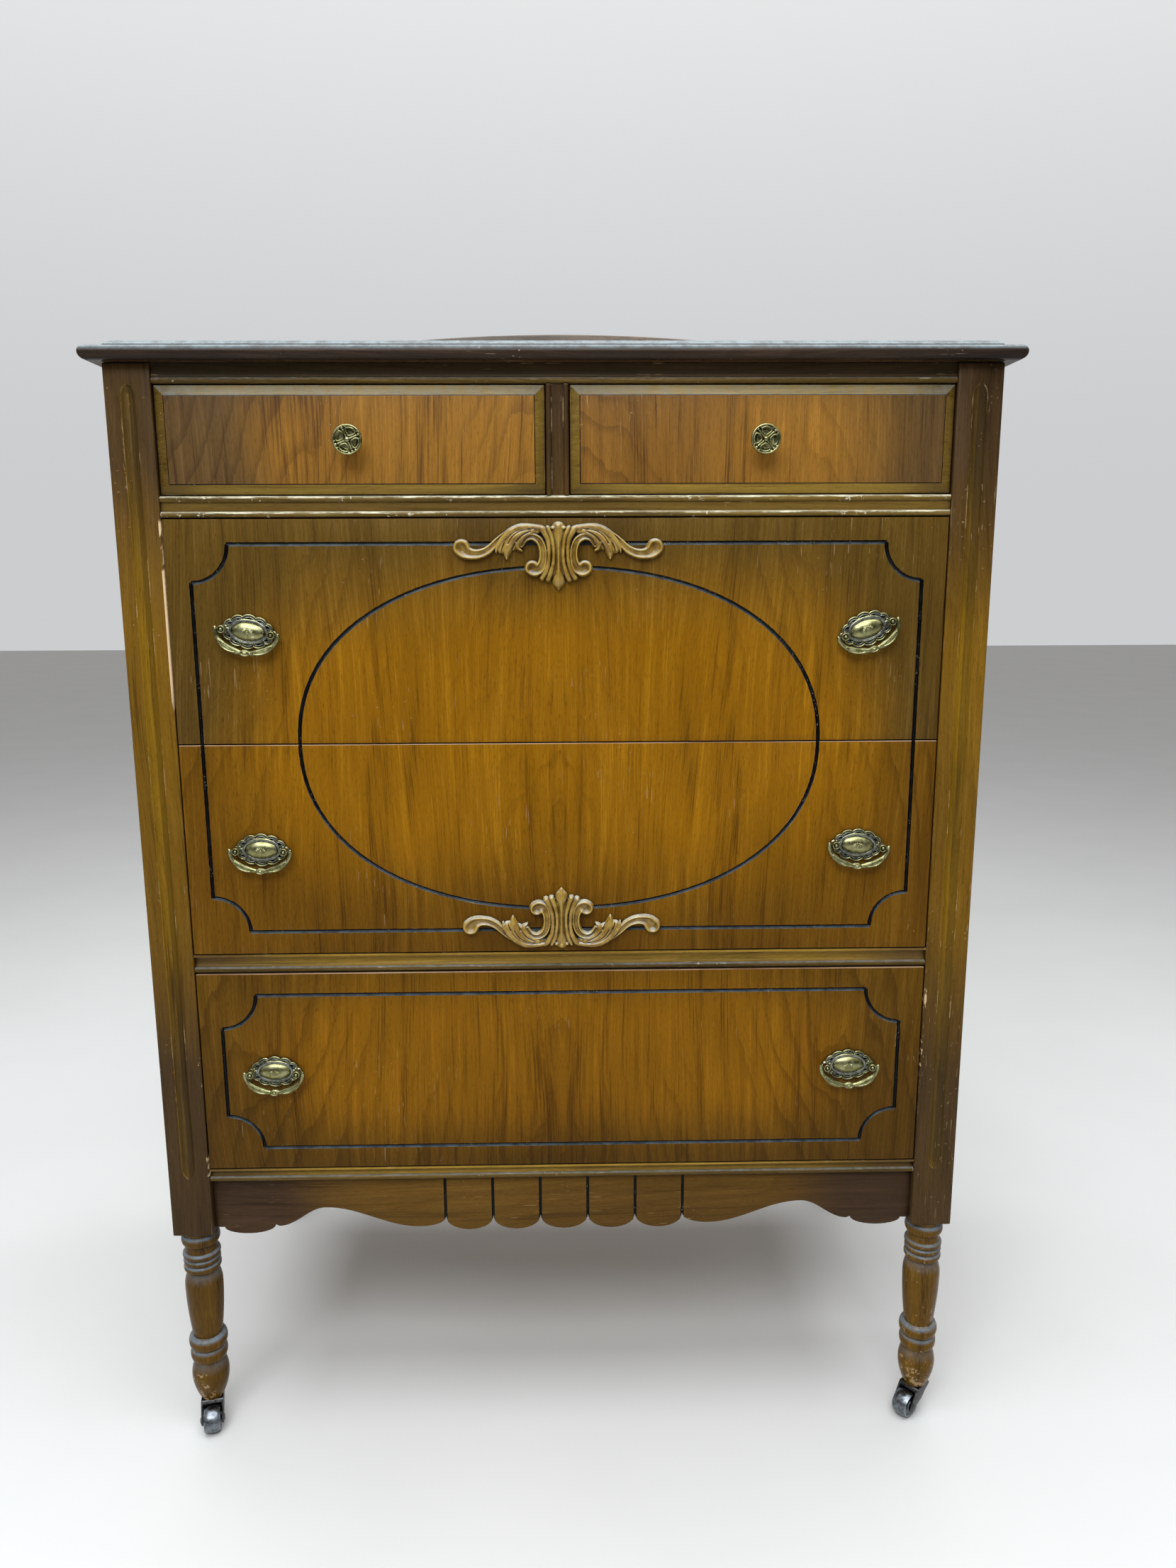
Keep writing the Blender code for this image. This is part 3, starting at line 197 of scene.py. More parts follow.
def plate_of(name: str, points: Sequence[Point], by: Point) -> Obj:
    """A flat outline drawn from a ring and extruded.

    Args:
        name: The object's name.
        points: The outline, in order.
        by: How far and where the outline is extruded.

    Returns:
        The new object.
    """
    bpy.ops.mesh.primitive_circle_add(vertices=len(points), radius=1.0, fill_type="NGON")
    obj = settle_place(bpy.context.object, name)
    for vertex, point in zip(obj.data.vertices, points):
        vertex.co = point
    with edit_mode(obj):
        bpy.ops.mesh.select_all(action="SELECT")
        bpy.ops.mesh.extrude_region_move(TRANSFORM_OT_translate={"value": by})
        tidy_faces()
    return obj


def turned(name: str, profile: Sequence[Flat], around: int, place: Matrix, ring: bool = False) -> Obj:
    """A shape turned about an axis, as on a lathe.

    Args:
        name: The object's name.
        profile: Its (radius, height) points.
        around: How many segments it has.
        place: Where the axis and its foot go.
        ring: Whether the profile closes on itself.

    Returns:
        The new object.
    """
    bpy.ops.mesh.primitive_circle_add(vertices=len(profile), radius=1.0, fill_type="NOTHING")
    obj = settle_place(bpy.context.object, name)
    for vertex, (radius, height) in zip(obj.data.vertices, profile):
        vertex.co = (radius, 0.0, height)
    ends = {0, len(profile) - 1}
    with edit_mode(obj, "EDGE"):
        if not ring:
            pick(obj, "edges", lambda e: {v.index for v in e.verts} == ends)
            bpy.ops.mesh.delete(type="EDGE")
        bpy.ops.mesh.select_all(action="SELECT")
        bpy.ops.mesh.spin(steps=around, angle=math.tau, center=(0, 0, 0), axis=(0, 0, 1))
        tidy_faces()
    obj.data.transform(place)
    return obj


def swept(
    name: str, points: Sequence[Point], radii: Sequence[float], ring: bool = False, around: int = 3
) -> Obj:
    """A round bar swept along a line, thicker and thinner as it goes.

    Args:
        name: The object's name.
        points: The line.
        radii: The bar's radius at each point.
        ring: Whether the line closes on itself.
        around: Bevel resolution of the bar.

    Returns:
        The new mesh object.
    """
    curve = bpy.data.curves.new(name, "CURVE")
    curve.dimensions = "3D"
    curve.bevel_depth = 1.0
    curve.bevel_resolution = around
    curve.use_fill_caps = not ring
    spline = curve.splines.new("POLY")
    spline.points.add(len(points) - 1)
    spline.use_cyclic_u = ring
    for spot, point, radius in zip(spline.points, points, radii):
        spot.co = (*point, 1.0)
        spot.radius = radius
    obj = bpy.data.objects.new(name, curve)
    bpy.context.scene.collection.objects.link(obj)
    take(obj)
    bpy.ops.object.convert(target="MESH")
    obj = bpy.context.object
    with edit_mode(obj):
        tidy_faces()
    return obj


def modify(obj: Obj, kind: str, **settings: object) -> Obj:
    """Adds a modifier and applies it.

    Args:
        obj: The object.
        kind: The modifier's type.
        settings: Its settings.

    Returns:
        The same object.
    """
    made = obj.modifiers.new(kind.lower(), kind)
    for key, value in settings.items():
        setattr(made, key, value)
    take(obj)
    bpy.ops.object.modifier_apply(modifier=made.name)
    return obj


def cut(obj: Obj, cutter: Obj, operation: str = "DIFFERENCE") -> Obj:
    """Cuts or adds one mesh with another, which is used up.

    Args:
        obj: The mesh that stays.
        cutter: The mesh that is used up; its finish goes onto the faces it leaves.
        operation: DIFFERENCE or UNION.

    Returns:
        The changed object.
    """
    modify(obj, "BOOLEAN", operation=operation, object=cutter, solver="EXACT", material_mode="TRANSFER")
    bpy.data.objects.remove(cutter)
    return obj


def joined(name: str, parts: Sequence[Obj]) -> Obj:
    """Several meshes as one object.

    Args:
        name: Its name.
        parts: The objects, which are used up.

    Returns:
        The joined object.
    """
    obj = take(*parts)
    bpy.ops.object.join()
    obj.name = obj.data.name = name
    return obj


def fused(obj: Obj, voxel: float, rounds: int) -> Obj:
    """Turns overlapping shells outwards and melts them into one cast skin.

    Args:
        obj: The object with its shells.
        voxel: Size of the remesh grid.
        rounds: How often the skin is smoothed.

    Returns:
        The same object.
    """
    with edit_mode(obj):
        bpy.ops.mesh.select_all(action="SELECT")
        bpy.ops.mesh.normals_make_consistent(inside=False)
    obj.data.remesh_voxel_size = voxel
    obj.data.use_remesh_fix_poles = False
    bpy.ops.object.voxel_remesh()
    modify(obj, "SMOOTH", factor=0.5, iterations=rounds)
    return modify(obj, "DECIMATE", ratio=0.45)


def rounded(obj: Obj, width: float, segments: int = 2, degrees: float = 30.0) -> Obj:
    """Rounds every edge sharper than an angle with so many faces."""
    limits = {"limit_method": "ANGLE", "angle_limit": math.radians(degrees), "use_clamp_overlap": True}
    return modify(obj, "BEVEL", width=width, segments=segments, **limits)


def smooth_shaded(obj: Obj, degrees: float) -> Obj:
    """Shades an object smooth, apart from edges sharper than an angle.

    Args:
        obj: The object.
        degrees: The angle.

    Returns:
        The same object.
    """
    take(obj)
    bpy.ops.object.shade_smooth_by_angle(angle=math.radians(degrees))
    return obj


def copied(obj: Obj, name: str, place: Matrix) -> Obj:
    """A copy with its own mesh, moved to its place.

    Args:
        obj: The pattern, at the origin.
        name: The copy's name.
        place: Where it goes.

    Returns:
        The copy.
    """
    copy = obj.copy()
    copy.data = obj.data.copy()
    copy.name = copy.data.name = name
    copy.data.transform(place)
    bpy.context.scene.collection.objects.link(copy)
    return copy


def wear(obj: Obj, *finishes: Material) -> Obj:
    """Gives an object these finishes, in slot order.

    Args:
        obj: The object.
        finishes: Its materials.

    Returns:
        The same object.
    """
    obj.data.materials.clear()
    for finish in finishes:
        obj.data.materials.append(finish)
    return obj


def dress_faces(obj: Obj, slot: int, test: Callable[[bpy.types.MeshPolygon], bool]) -> None:
    """Puts one finish on the faces that pass a test.

    Args:
        obj: The object.
        slot: Which of its finishes.
        test: Says of each face whether it takes that finish.
    """
    for face in obj.data.polygons:
        if test(face):
            face.material_index = slot


def set_in(obj: Obj, body: str, slot: str, *nodes: str) -> Obj:
    """Seats a finished piece in the frame and reports it.

    Args:
        obj: The piece.
        body: The body it moves with.
        slot: The material slot it would take its finish from; not used.
        nodes: The solids it stands for.

    Returns:
        The same piece.
    """
    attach(obj, body)
    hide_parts(*nodes)
    LOG.info("%s: %d faces, on %s", obj.name, len(obj.data.polygons), body)
    return obj


def set_copy(pattern: Obj, place: Matrix, body: str, slot: str, node: str) -> Obj:
    """Seats a copy of a pattern that stands for one solid."""
    return set_in(copied(pattern, f"{node}_shaped", place), body, slot, node)


def at(x: float, y: float, z: float) -> Matrix:
    """A plain move."""
    return Matrix.Translation((x, y, z))


def flowing(points: Sequence[Sequence[float]], steps: int, ring: bool = False) -> np.ndarray:
    """A smooth line through given points of any dimension.

    Args:
        points: The points.
        steps: New points for each stretch between two of them.
        ring: Whether the line closes on itself.

    Returns:
        The dense line, one row for each point.
    """
    spots = np.array(points, float)
    count = len(spots)
    rows = []
    for k in range(count if ring else count - 1):
        near = [k - 1, k, k + 1, k + 2]
        near = [n % count for n in near] if ring else [min(max(n, 0), count - 1) for n in near]
        a, b, c, d = spots[near]
        for step in range(steps):
            t = step / steps
            bend, twist = 2 * a - 5 * b + 4 * c - d, 3 * b - a - 3 * c + d
            rows.append(0.5 * (2 * b + (c - a) * t + bend * t**2 + twist * t**3))
    if not ring:
        rows.append(spots[-1])
    return np.array(rows)


def bead_arc(low: float, high: float, foot: float, reach: float, steps: int = 10) -> list[Flat]:
    """Half-round points (depth, height) from low to high, standing out of a foot.

    Args:
        low: Where the bead starts.
        high: Where it ends.
        foot: Depth of the ground it stands on.
        reach: How far it stands out.
        steps: Its faces.

    Returns:
        The points.
    """
    middle, half = (low + high) / 2, (high - low) / 2
    turns = [math.pi * k / steps for k in range(steps + 1)]
    return [(foot - reach * math.sin(t), middle - half * math.cos(t)) for t in turns]


def swing(start: Flat, end: Flat, steps: int) -> list[Flat]:
    """Points of a smooth wave from a level start to a level end, without the start.

    Args:
        start: First point.
        end: Last point.
        steps: How many points.

    Returns:
        The points.
    """
    points = []
    for k in range(1, steps + 1):
        share = k / steps
        ease = (1 - math.cos(math.pi * share)) / 2
        points.append((start[0] + (end[0] - start[0]) * share, start[1] + (end[1] - start[1]) * ease))
    return points


def half_oval(start: Flat, end: Flat, drop: float, steps: int) -> list[Flat]:
    """Points of a lower half oval from start to end, without the start.

    Args:
        start: First point.
        end: Last point.
        drop: How far it hangs below them.
        steps: How many points.

    Returns:
        The points.
    """
    middle, half = (start[0] + end[0]) / 2, (end[0] - start[0]) / 2
    points = []
    for k in range(1, steps + 1):
        turn = math.pi * k / steps
        chord = start[1] + (end[1] - start[1]) * k / steps
        points.append((middle - half * math.cos(turn), chord - drop * math.sin(turn)))
    return points


# Paint shop: node graphs, shared effects and finishes


class Graph:
    """Adds and links the nodes of one tree."""

    def __init__(self, tree: Tree) -> None:
        """Works on this tree."""
        self.tree = tree

    def feed(self, node: Node, inputs: dict) -> None:
        """Links or sets the inputs of a node; colours are opaque.

        Args:
            node: The node.
            inputs: Sockets or values, by the input's name or number.
        """
        for key, value in inputs.items():
            target = node.inputs[key]
            if isinstance(value, Socket):
                self.tree.links.new(value, target)
            else:
                target.default_value = (*value, 1.0) if target.type == "RGBA" else value

    def put(self, kind: str, inputs: dict | None = None, **settings: object) -> Node:
        """Adds a shader node.

        Args:
            kind: The node's type, as it follows ShaderNode.
            inputs: Sockets or values for its inputs, by name or number.
            settings: The node's own settings.

        Returns:
            The node.
        """
        node = self.tree.nodes.new(f"ShaderNode{kind}")
        for key, value in settings.items():
            setattr(node, key, value)
        self.feed(node, inputs or {})
        return node

    def use(self, group: Tree, inputs: dict) -> Outputs:
        """Places a shared effect and gives its outputs."""
        return self.put("Group", inputs, node_tree=group).outputs

    def math(self, operation: str, *values: float | Socket) -> Socket:
        """The result of a Math node."""
        return self.put("Math", dict(enumerate(values)), operation=operation).outputs[0]

    def times(self, *values: float | Socket) -> Socket:
        """The product of several values."""
        return reduce(lambda a, b: self.math("MULTIPLY", a, b), values)

    def most(self, *values: Socket) -> Socket:
        """The largest of several values."""
        return reduce(lambda a, b: self.math("MAXIMUM", a, b), values)

    def total(self, *parts: tuple[Socket, float]) -> Socket:
        """The sum of several values, each with its weight."""
        return reduce(lambda so_far, part: self.math("MULTIPLY_ADD", *part, so_far), parts, 0.0)

    def vector(self, operation: str, *values: Point | Socket) -> Socket:
        """The result of a Vector Math node, for a dot product a value."""
        node = self.put("VectorMath", dict(enumerate(values)), operation=operation)
        return node.outputs[1 if operation == "DOT_PRODUCT" else 0]

    def span(
        self, value: Socket, low: float | Socket, high: float | Socket, to_low: float = 0.0,
        to_high: float = 1.0
    ) -> Socket:
        """A value mapped smoothly from one range to another and held there."""
        inputs = {0: value, 1: low, 2: high, 3: to_low, 4: to_high}
        return self.put("MapRange", inputs, interpolation_type="SMOOTHSTEP").outputs[0]

    def above(self, value: Socket, level: Socket, width: float) -> Socket:
        """A straight rise from 0 to 1 over a width above a level."""
        return self.put("MapRange", {0: value, 1: level, 2: self.math("ADD", level, width)}).outputs[0]

    def blend(
        self, share: float | Socket, first: Color | Socket, second: Color | Socket, mode: str = "MIX"
    ) -> Socket:
        """Two colours blended, with this share of the second."""
        inputs = {0: share, 6: first, 7: second}
        return self.put("Mix", inputs, data_type="RGBA", blend_type=mode).outputs[2]

    def stretch(self, vector: Socket, scale: Point, turn: Point = (0.0, 0.0, 0.0)) -> Socket:
        """Coordinates turned and scaled."""
        return self.put("Mapping", {0: vector, 2: turn, 3: scale}).outputs[0]

    def noise(
        self, vector: Socket, scale: float | Socket, detail: float = 2.0, rough: float = 0.5
    ) -> Socket:
        """A noise value with so many octaves, the finer ones so strong."""
        inputs = {"Vector": vector, "Scale": scale, "Detail": detail, "Roughness": rough}
        return self.put("TexNoise", inputs).outputs[0]

    def drawn(self, vector: Socket, long: float, *values: float) -> Socket:
        """A noise drawn out along the third axis, with its scale, detail and roughness."""
        return self.noise(self.stretch(vector, (1.0, 1.0, long)), *values)

    def object_place(self) -> Socket:
        """Object coordinates."""
        return self.put("TexCoord").outputs["Object"]

    def geometry(self, name: str) -> Socket:
        """One fact about the surface."""
        return self.put("NewGeometry").outputs[name]

    def open_sky(self, reach: Socket) -> Socket:
        """How open a place is to its surroundings within a reach."""
        return self.put("AmbientOcclusion", {"Distance": reach}, samples=8).outputs["AO"]

    def axes(self, vector: Socket) -> list[Socket]:
        """The three parts of a vector."""
        return list(self.put("SeparateXYZ", {0: vector}).outputs)

    def sideways(self, drift: Socket, width: float) -> Socket:
        """A move along the first axis by a noise, so wide in all."""
        shift = self.times(self.math("SUBTRACT", drift, 0.5), width)
        return self.put("CombineXYZ", {0: shift}).outputs[0]

    def bump(self, strength: float, distance: float, height: Socket) -> Socket:
        """A normal bumped by a height."""
        return self.put("Bump", {"Strength": strength, "Distance": distance, "Height": height}).outputs[0]


class Kind(Enum):
    """Socket types of a shader group."""

    VALUE = "NodeSocketFloat"
    COLOR = "NodeSocketColor"
    VECTOR = "NodeSocketVector"


def shader_group(
    name: str, values: Sequence[str], colors: Sequence[str] = (), out_values: Sequence[str] = ("Mask",),
    out_colors: Sequence[str] = ()
) -> tuple[Graph, Outputs, Node]:
    """An empty shader group that is given a place, colours and values.

    Args:
        name: Its name.
        values: Names of its value inputs.
        colors: Names of its colour inputs.
        out_values: Names of its value outputs.
        out_colors: Names of its colour outputs.

    Returns:
        Its graph, what it is given and its exit node.
    """
    tree = bpy.data.node_groups.new(name, "ShaderNodeTree")
    inputs = ((Kind.VECTOR, ("Vector",)), (Kind.COLOR, colors), (Kind.VALUE, values))
    outputs = ((Kind.COLOR, out_colors), (Kind.VALUE, out_values))
    for way, rows in (("INPUT", inputs), ("OUTPUT", outputs)):
        for kind, labels in rows:
            for label in labels:
                tree.interface.new_socket(label, in_out=way, socket_type=kind.value)
    return Graph(tree), tree.nodes.new("NodeGroupInput").outputs, tree.nodes.new("NodeGroupOutput")


def wood_grain() -> Tree:
    """Walnut grain that runs along the third axis, with growth lines, pores and an uneven sheen.

    Returns:
        The group.
    """
    graph, given, out = shader_group(
        "wood grain", ("Figure", "Slant", "Seed"), ("Dark", "Mid", "Light"), ("Height", "Sheen"), ("Color",)
    )
    seed = given["Seed"]
    offset = graph.put("CombineXYZ", {0: seed, 1: graph.times(seed, 0.7), 2: seed}).outputs[0]
    place = graph.vector("ADD", given["Vector"], offset)
    swayed = graph.vector("ADD", place, graph.sideways(graph.drawn(place, 0.3, 4.5, 2.0), 0.07))
    streaks = graph.drawn(swayed, 0.045, 105.0, 5.0, 0.62)
    fibres = graph.drawn(swayed, 0.02, 620.0, 2.0, 0.55)
    bands = graph.drawn(swayed, 0.06, 26.0, 3.0, 0.6)
    clouds = graph.drawn(place, 0.42, 8.5, 3.0, 0.5)
    tone = graph.total((streaks, 0.36), (fibres, 0.30), (bands, 0.17), (clouds, 0.17))
    ground = graph.blend(graph.span(tone, 0.36, 0.50), given["Dark"], given["Mid"])
    ground = graph.blend(graph.span(tone, 0.50, 0.64), ground, given["Light"])
    x, _, z = graph.axes(place)
    bend = graph.drawn(place, 0.35, 7.5, 2.0)
    kink = graph.drawn(place, 0.5, 44.0, 3.0, 0.6)
    rise = graph.total((x, 36.0), (graph.times(z, given["Slant"]), 36.0), (bend, 6.5), (kink, 0.7))
    ring = graph.span(graph.math("FRACT", rise), 0.62, 0.98)
    patch = graph.span(graph.drawn(place, 0.5, 6.0, 1.0), 0.36, 0.60)
    ground = graph.blend(graph.times(ring, patch, given["Figure"]), ground, given["Dark"])
    pores = graph.span(graph.drawn(swayed, 0.07, 1900.0, 1.5, 0.6), 0.54, 0.70)
    ink = graph.blend(1.0, given["Dark"], (0.45, 0.42, 0.40), "MULTIPLY")
    ground = graph.blend(graph.times(pores, 0.38), ground, ink)
    drift = graph.span(graph.drawn(place, 0.6, 3.4, 2.0, 0.55), 0.36, 0.66)
    ground = graph.blend(drift, graph.blend(1.0, ground, (0.72, 0.71, 0.80), "MULTIPLY"), ground)
    height = graph.math("SUBTRACT", graph.times(fibres, 0.5), pores)
    graph.feed(out, {"Color": ground, "Height": height, "Sheen": graph.drawn(place, 0.4, 16.0, 3.0)})
    return graph.tree


def edge_wear() -> Tree:
    """A mask of rubbed edges, broken up so that the wear comes and goes.

    Returns:
        The group.
    """
    graph, given, out = shader_group("edge wear", ("Width", "Amount", "Breakup"))
    soft = graph.put("Bevel", {0: given["Width"]}, samples=4).outputs[0]
    edge = graph.span(graph.vector("DOT_PRODUCT", soft, graph.geometry("Normal")), 0.995, 0.86)
    broken = graph.noise(given["Vector"], given["Breakup"], 4.0, 0.7)
    show = graph.above(broken, graph.math("SUBTRACT", 1.0, given["Amount"]), 0.12)
    graph.feed(out, {"Mask": graph.times(edge, show)})
    return graph.tree


def scuffs() -> Tree:
    """A mask of hairline scratches and small pale nicks.

    Returns:
        The group.
    """
    graph, given, out = shader_group("scuffs", ("Amount", "Scale", "Chips"))
    chipped = given["Chips"]
    size = graph.put("VectorMath", {0: given["Vector"], 3: given["Scale"]}, operation="SCALE").outputs[0]
    rise = graph.noise(graph.stretch(size, (640, 640, 34), (0.2, 0.55, 0.0)), 1.0, 0.0)
    fall = graph.noise(graph.stretch(size, (760, 760, 60), (-0.3, -0.8, 0.0)), 1.0, 0.0)
    marks = (rise, fall, graph.noise(size, 330.0, 0.0))
    scratches = graph.most(*(graph.span(mark, 0.80, 0.83) for mark in marks))
    here = graph.span(graph.noise(size, 8.0, 2.0), 0.52, 0.64)
    flakes = graph.total((graph.noise(size, 150.0, 4.0, 0.72), 1.0), (chipped, 0.05))
    flaked = graph.total((graph.noise(size, 17.0, 1.0), 1.0), (chipped, 0.16))
    chips = graph.times(graph.span(flakes, 0.64, 0.68), graph.span(flaked, 0.62, 0.72), chipped)
    graph.feed(out, {"Mask": graph.most(graph.times(scratches, here, given["Amount"]), chips)})
    return graph.tree


def recess_shade_and_grime() -> Tree:
    """A mask that darkens corners and hollows by how closed in they are: partly old polish settled there,
    partly painted shade.

    Returns:
        The group.
    """
    graph, given, out = shader_group("recess grime", ("Reach", "Breakup"))
    uneven = graph.noise(given["Vector"], given["Breakup"], 2.0)
    shade = graph.math("ADD", graph.open_sky(given["Reach"]), graph.times(uneven, 0.25))
    graph.feed(out, {"Mask": graph.span(shade, 1.02, 0.45)})
    return graph.tree


def sunburst() -> Tree:
    """A mask that is 0 in the middle of a front and 1 towards its toned edges.

    Returns:
        The group.
    """
    graph, given, out = shader_group("sunburst", ("Middle X", "Middle Z", "Half X", "Half Z"))
    x, _, z = graph.axes(given["Vector"])
    parts = []
    for value, label, steep in ((x, "X", 5.7), (z, "Z", 2.6)):
        off = graph.math("ABSOLUTE", graph.math("SUBTRACT", value, given[f"Middle {label}"]))
        share = graph.math("DIVIDE", off, given[f"Half {label}"])
        parts.append(graph.math("POWER", share, steep))
    reach = graph.math("POWER", graph.math("ADD", *parts), 1 / 2.6)
    uneven = graph.math("SUBTRACT", graph.drawn(given["Vector"], 0.6, 9.0, 2.0), 0.5)
    reach = graph.math("ADD", reach, graph.times(uneven, 0.30))
    graph.feed(out, {"Mask": graph.span(reach, 0.33, 0.88)})
    return graph.tree


def ridge_wear_and_highlight() -> Tree:
    """A mask of the upper front of a bead, where it faces the light, in long broken patches: partly worn,
    partly a painted highlight.

    Returns:
        The group.
    """
    graph, given, out = shader_group("ridge wear", ("Amount",))
    facing = graph.vector("DOT_PRODUCT", graph.geometry("Normal"), (0.0, -0.80, 0.60))
    patches = graph.drawn(given["Vector"], 0.16, 170.0, 6.0, 0.74)
    show = graph.above(patches, graph.math("SUBTRACT", 1.0, given["Amount"]), 0.14)
    graph.feed(out, {"Mask": graph.times(graph.span(facing, 0.86, 0.99), show)})
    return graph.tree


def sheen_and_dust_mask() -> Tree:
    """A mask of pale colour on faces that look upwards: partly a settled film, partly painted sheen and
    highlights from the light above.

    Returns:
        The group.
    """
    graph, given, out = shader_group("settled dust", ("Amount", "Low", "High"))
    up = graph.span(graph.axes(graph.geometry("Normal"))[2], given["Low"], given["High"])
    uneven = graph.span(graph.noise(given["Vector"], 75.0, 4.0, 0.65), 0.32, 0.66, 0.45, 1.0)
    graph.feed(out, {"Mask": graph.times(up, uneven, given["Amount"])})
    return graph.tree


def cast_patina_and_shade() -> Tree:
    """The colour of an old cast: pale on its high places and dark in its hollows; on metal these are
    rubbing and patina, on the gilt carving painted highlights and painted shade.

    Returns:
        The group.
    """
    graph, given, out = shader_group(
        "cast patina", ("Reach", "Breakup", "Crest From", "Crest To"), ("Hollow", "Body", "Crest"),
        ("Dark", "Patina"), ("Color",)
    )
    patina = graph.noise(given["Vector"], given["Breakup"], 4.0, 0.6)
    color = graph.blend(graph.span(patina, 0.35, 0.65, 0.0, 0.40), given["Body"], given["Crest"])
    high = graph.geometry("Pointiness")
    color = graph.blend(graph.span(high, given["Crest From"], given["Crest To"]), color, given["Crest"])
    # darker where the surface is closed in: patina on metal, painted shade on the carving
    shade = graph.total((graph.open_sky(given["Reach"]), 1.0), (patina, 0.25))
    low = graph.span(high, 0.485, 0.43, 0.0, 0.75)
    dark = graph.most(graph.span(shade, 1.02, 0.45, 0.0, 0.96), low)
    graph.feed(out, {"Color": graph.blend(dark, color, given["Hollow"]), "Dark": dark, "Patina": patina})
    return graph.tree


@dataclass
class Effects:
    """The shared shader groups, each made once."""

    grain: Tree = field(default_factory=wood_grain)
    wear: Tree = field(default_factory=edge_wear)
    scuffs: Tree = field(default_factory=scuffs)
    grime: Tree = field(default_factory=recess_shade_and_grime)
    sunburst: Tree = field(default_factory=sunburst)
    ridge: Tree = field(default_factory=ridge_wear_and_highlight)
    dust_sheen_group: Tree = field(default_factory=sheen_and_dust_mask)
    cast: Tree = field(default_factory=cast_patina_and_shade)


def new_finish(name: str) -> tuple[Material, Graph, Node]:
    """A material with its graph and its Principled shader.

    Args:
        name: The material's name.

    Returns:
        The material, its graph and its shader node.
    """
    made = bpy.data.materials.new(name)
    made.use_nodes = True
    return made, Graph(made.node_tree), made.node_tree.nodes["Principled BSDF"]


class GrainRun(Enum):
    """Which way the grain of a piece runs, as the turn of its pattern."""

    UPRIGHT = (0.0, 0.0, 0.0)
    ACROSS = (0.0, math.pi / 2, 0.0)
    DEEP = (math.pi / 2, 0.0, 0.0)


@dataclass(frozen=True)
class SheenAndDust:
    """Pale colour on faces that look upwards, partly a settled film and partly painted sheen: its amount,
    colour, and the slopes of none and of all.
    """

    amount: float
    color: Color
    slope: Flat = (0.25, 0.90)

    def over(self, graph: Graph, effects: Effects, place: Socket, color: Socket) -> Socket:
        """A colour under this pale film and painted sheen."""
        sizes = {"Vector": place, "Amount": self.amount, "Low": self.slope[0], "High": self.slope[1]}
        return graph.blend(graph.use(effects.dust_sheen_group, sizes)["Mask"], color, self.color)


@dataclass(frozen=True)
class Burst:
    """The place and colour multiplier of a toned front: darker lacquer sprayed round its edges, and a
    blue-heavy multiplier that also paints a bluish sheen there.
    """

    middle: Flat
    half: Flat
    tone_and_sheen: Color

    def over(self, graph: Graph, effects: Effects, place: Socket, color: Socket) -> Socket:
        """A colour under this toning."""
        sizes = dict(zip(("Middle X", "Middle Z", "Half X", "Half Z"), (*self.middle, *self.half)))
        tone = graph.use(effects.sunburst, {"Vector": place, **sizes})
        return graph.blend(tone["Mask"], color, self.tone_and_sheen, "MULTIPLY")


@dataclass(frozen=True)
class BareEdge:
    """Lacquer lost along a post's inner edge: each zone is where it begins and where it ends."""

    inner: float
    strip: tuple[Flat, Flat] = ((0.870, 0.930), (1.099, 1.092))
    foot: tuple[Flat, Flat] = ((0.342, 0.346), (0.374, 0.366))
    nicked: tuple[Flat, Flat] = ((0.44, 0.48), (0.60, 0.55))

    def over(self, graph: Graph, place: Socket, bare: Socket) -> Socket:
        """Adds the bare strip and the nicks to a mask of bare wood.

        Args:
            graph: The finish's nodes.
            place: The place on the piece.
            bare: The mask so far.

        Returns:
            The new mask.
        """
        x, _, z = graph.axes(place)
        left, inward = graph.span(x, 0.0, -0.1), graph.math("ABSOLUTE", x)
        high, foot, here = (
            graph.times(*(graph.span(z, *end) for end in zone))
            for zone in (self.strip, self.foot, self.nicked)
        )
        reach = graph.times(graph.most(high, foot), left)
        gaps = graph.total((graph.drawn(place, 0.5, 42.0, 3.0, 0.6), 1.0), (reach, 0.14))
        strip = graph.span(inward, self.inner, self.inner - 0.0006)
        strip = graph.times(strip, reach, graph.span(gaps, 0.50, 0.56))
        nicks = graph.total((graph.drawn(place, 0.4, 150.0, 4.0, 0.7), 1.0), (left, -0.09))
        arris = graph.span(inward, self.inner + 0.0016, self.inner + 0.0008)
        return graph.most(bare, strip, graph.times(arris, graph.span(nicks, 0.55, 0.60), here))


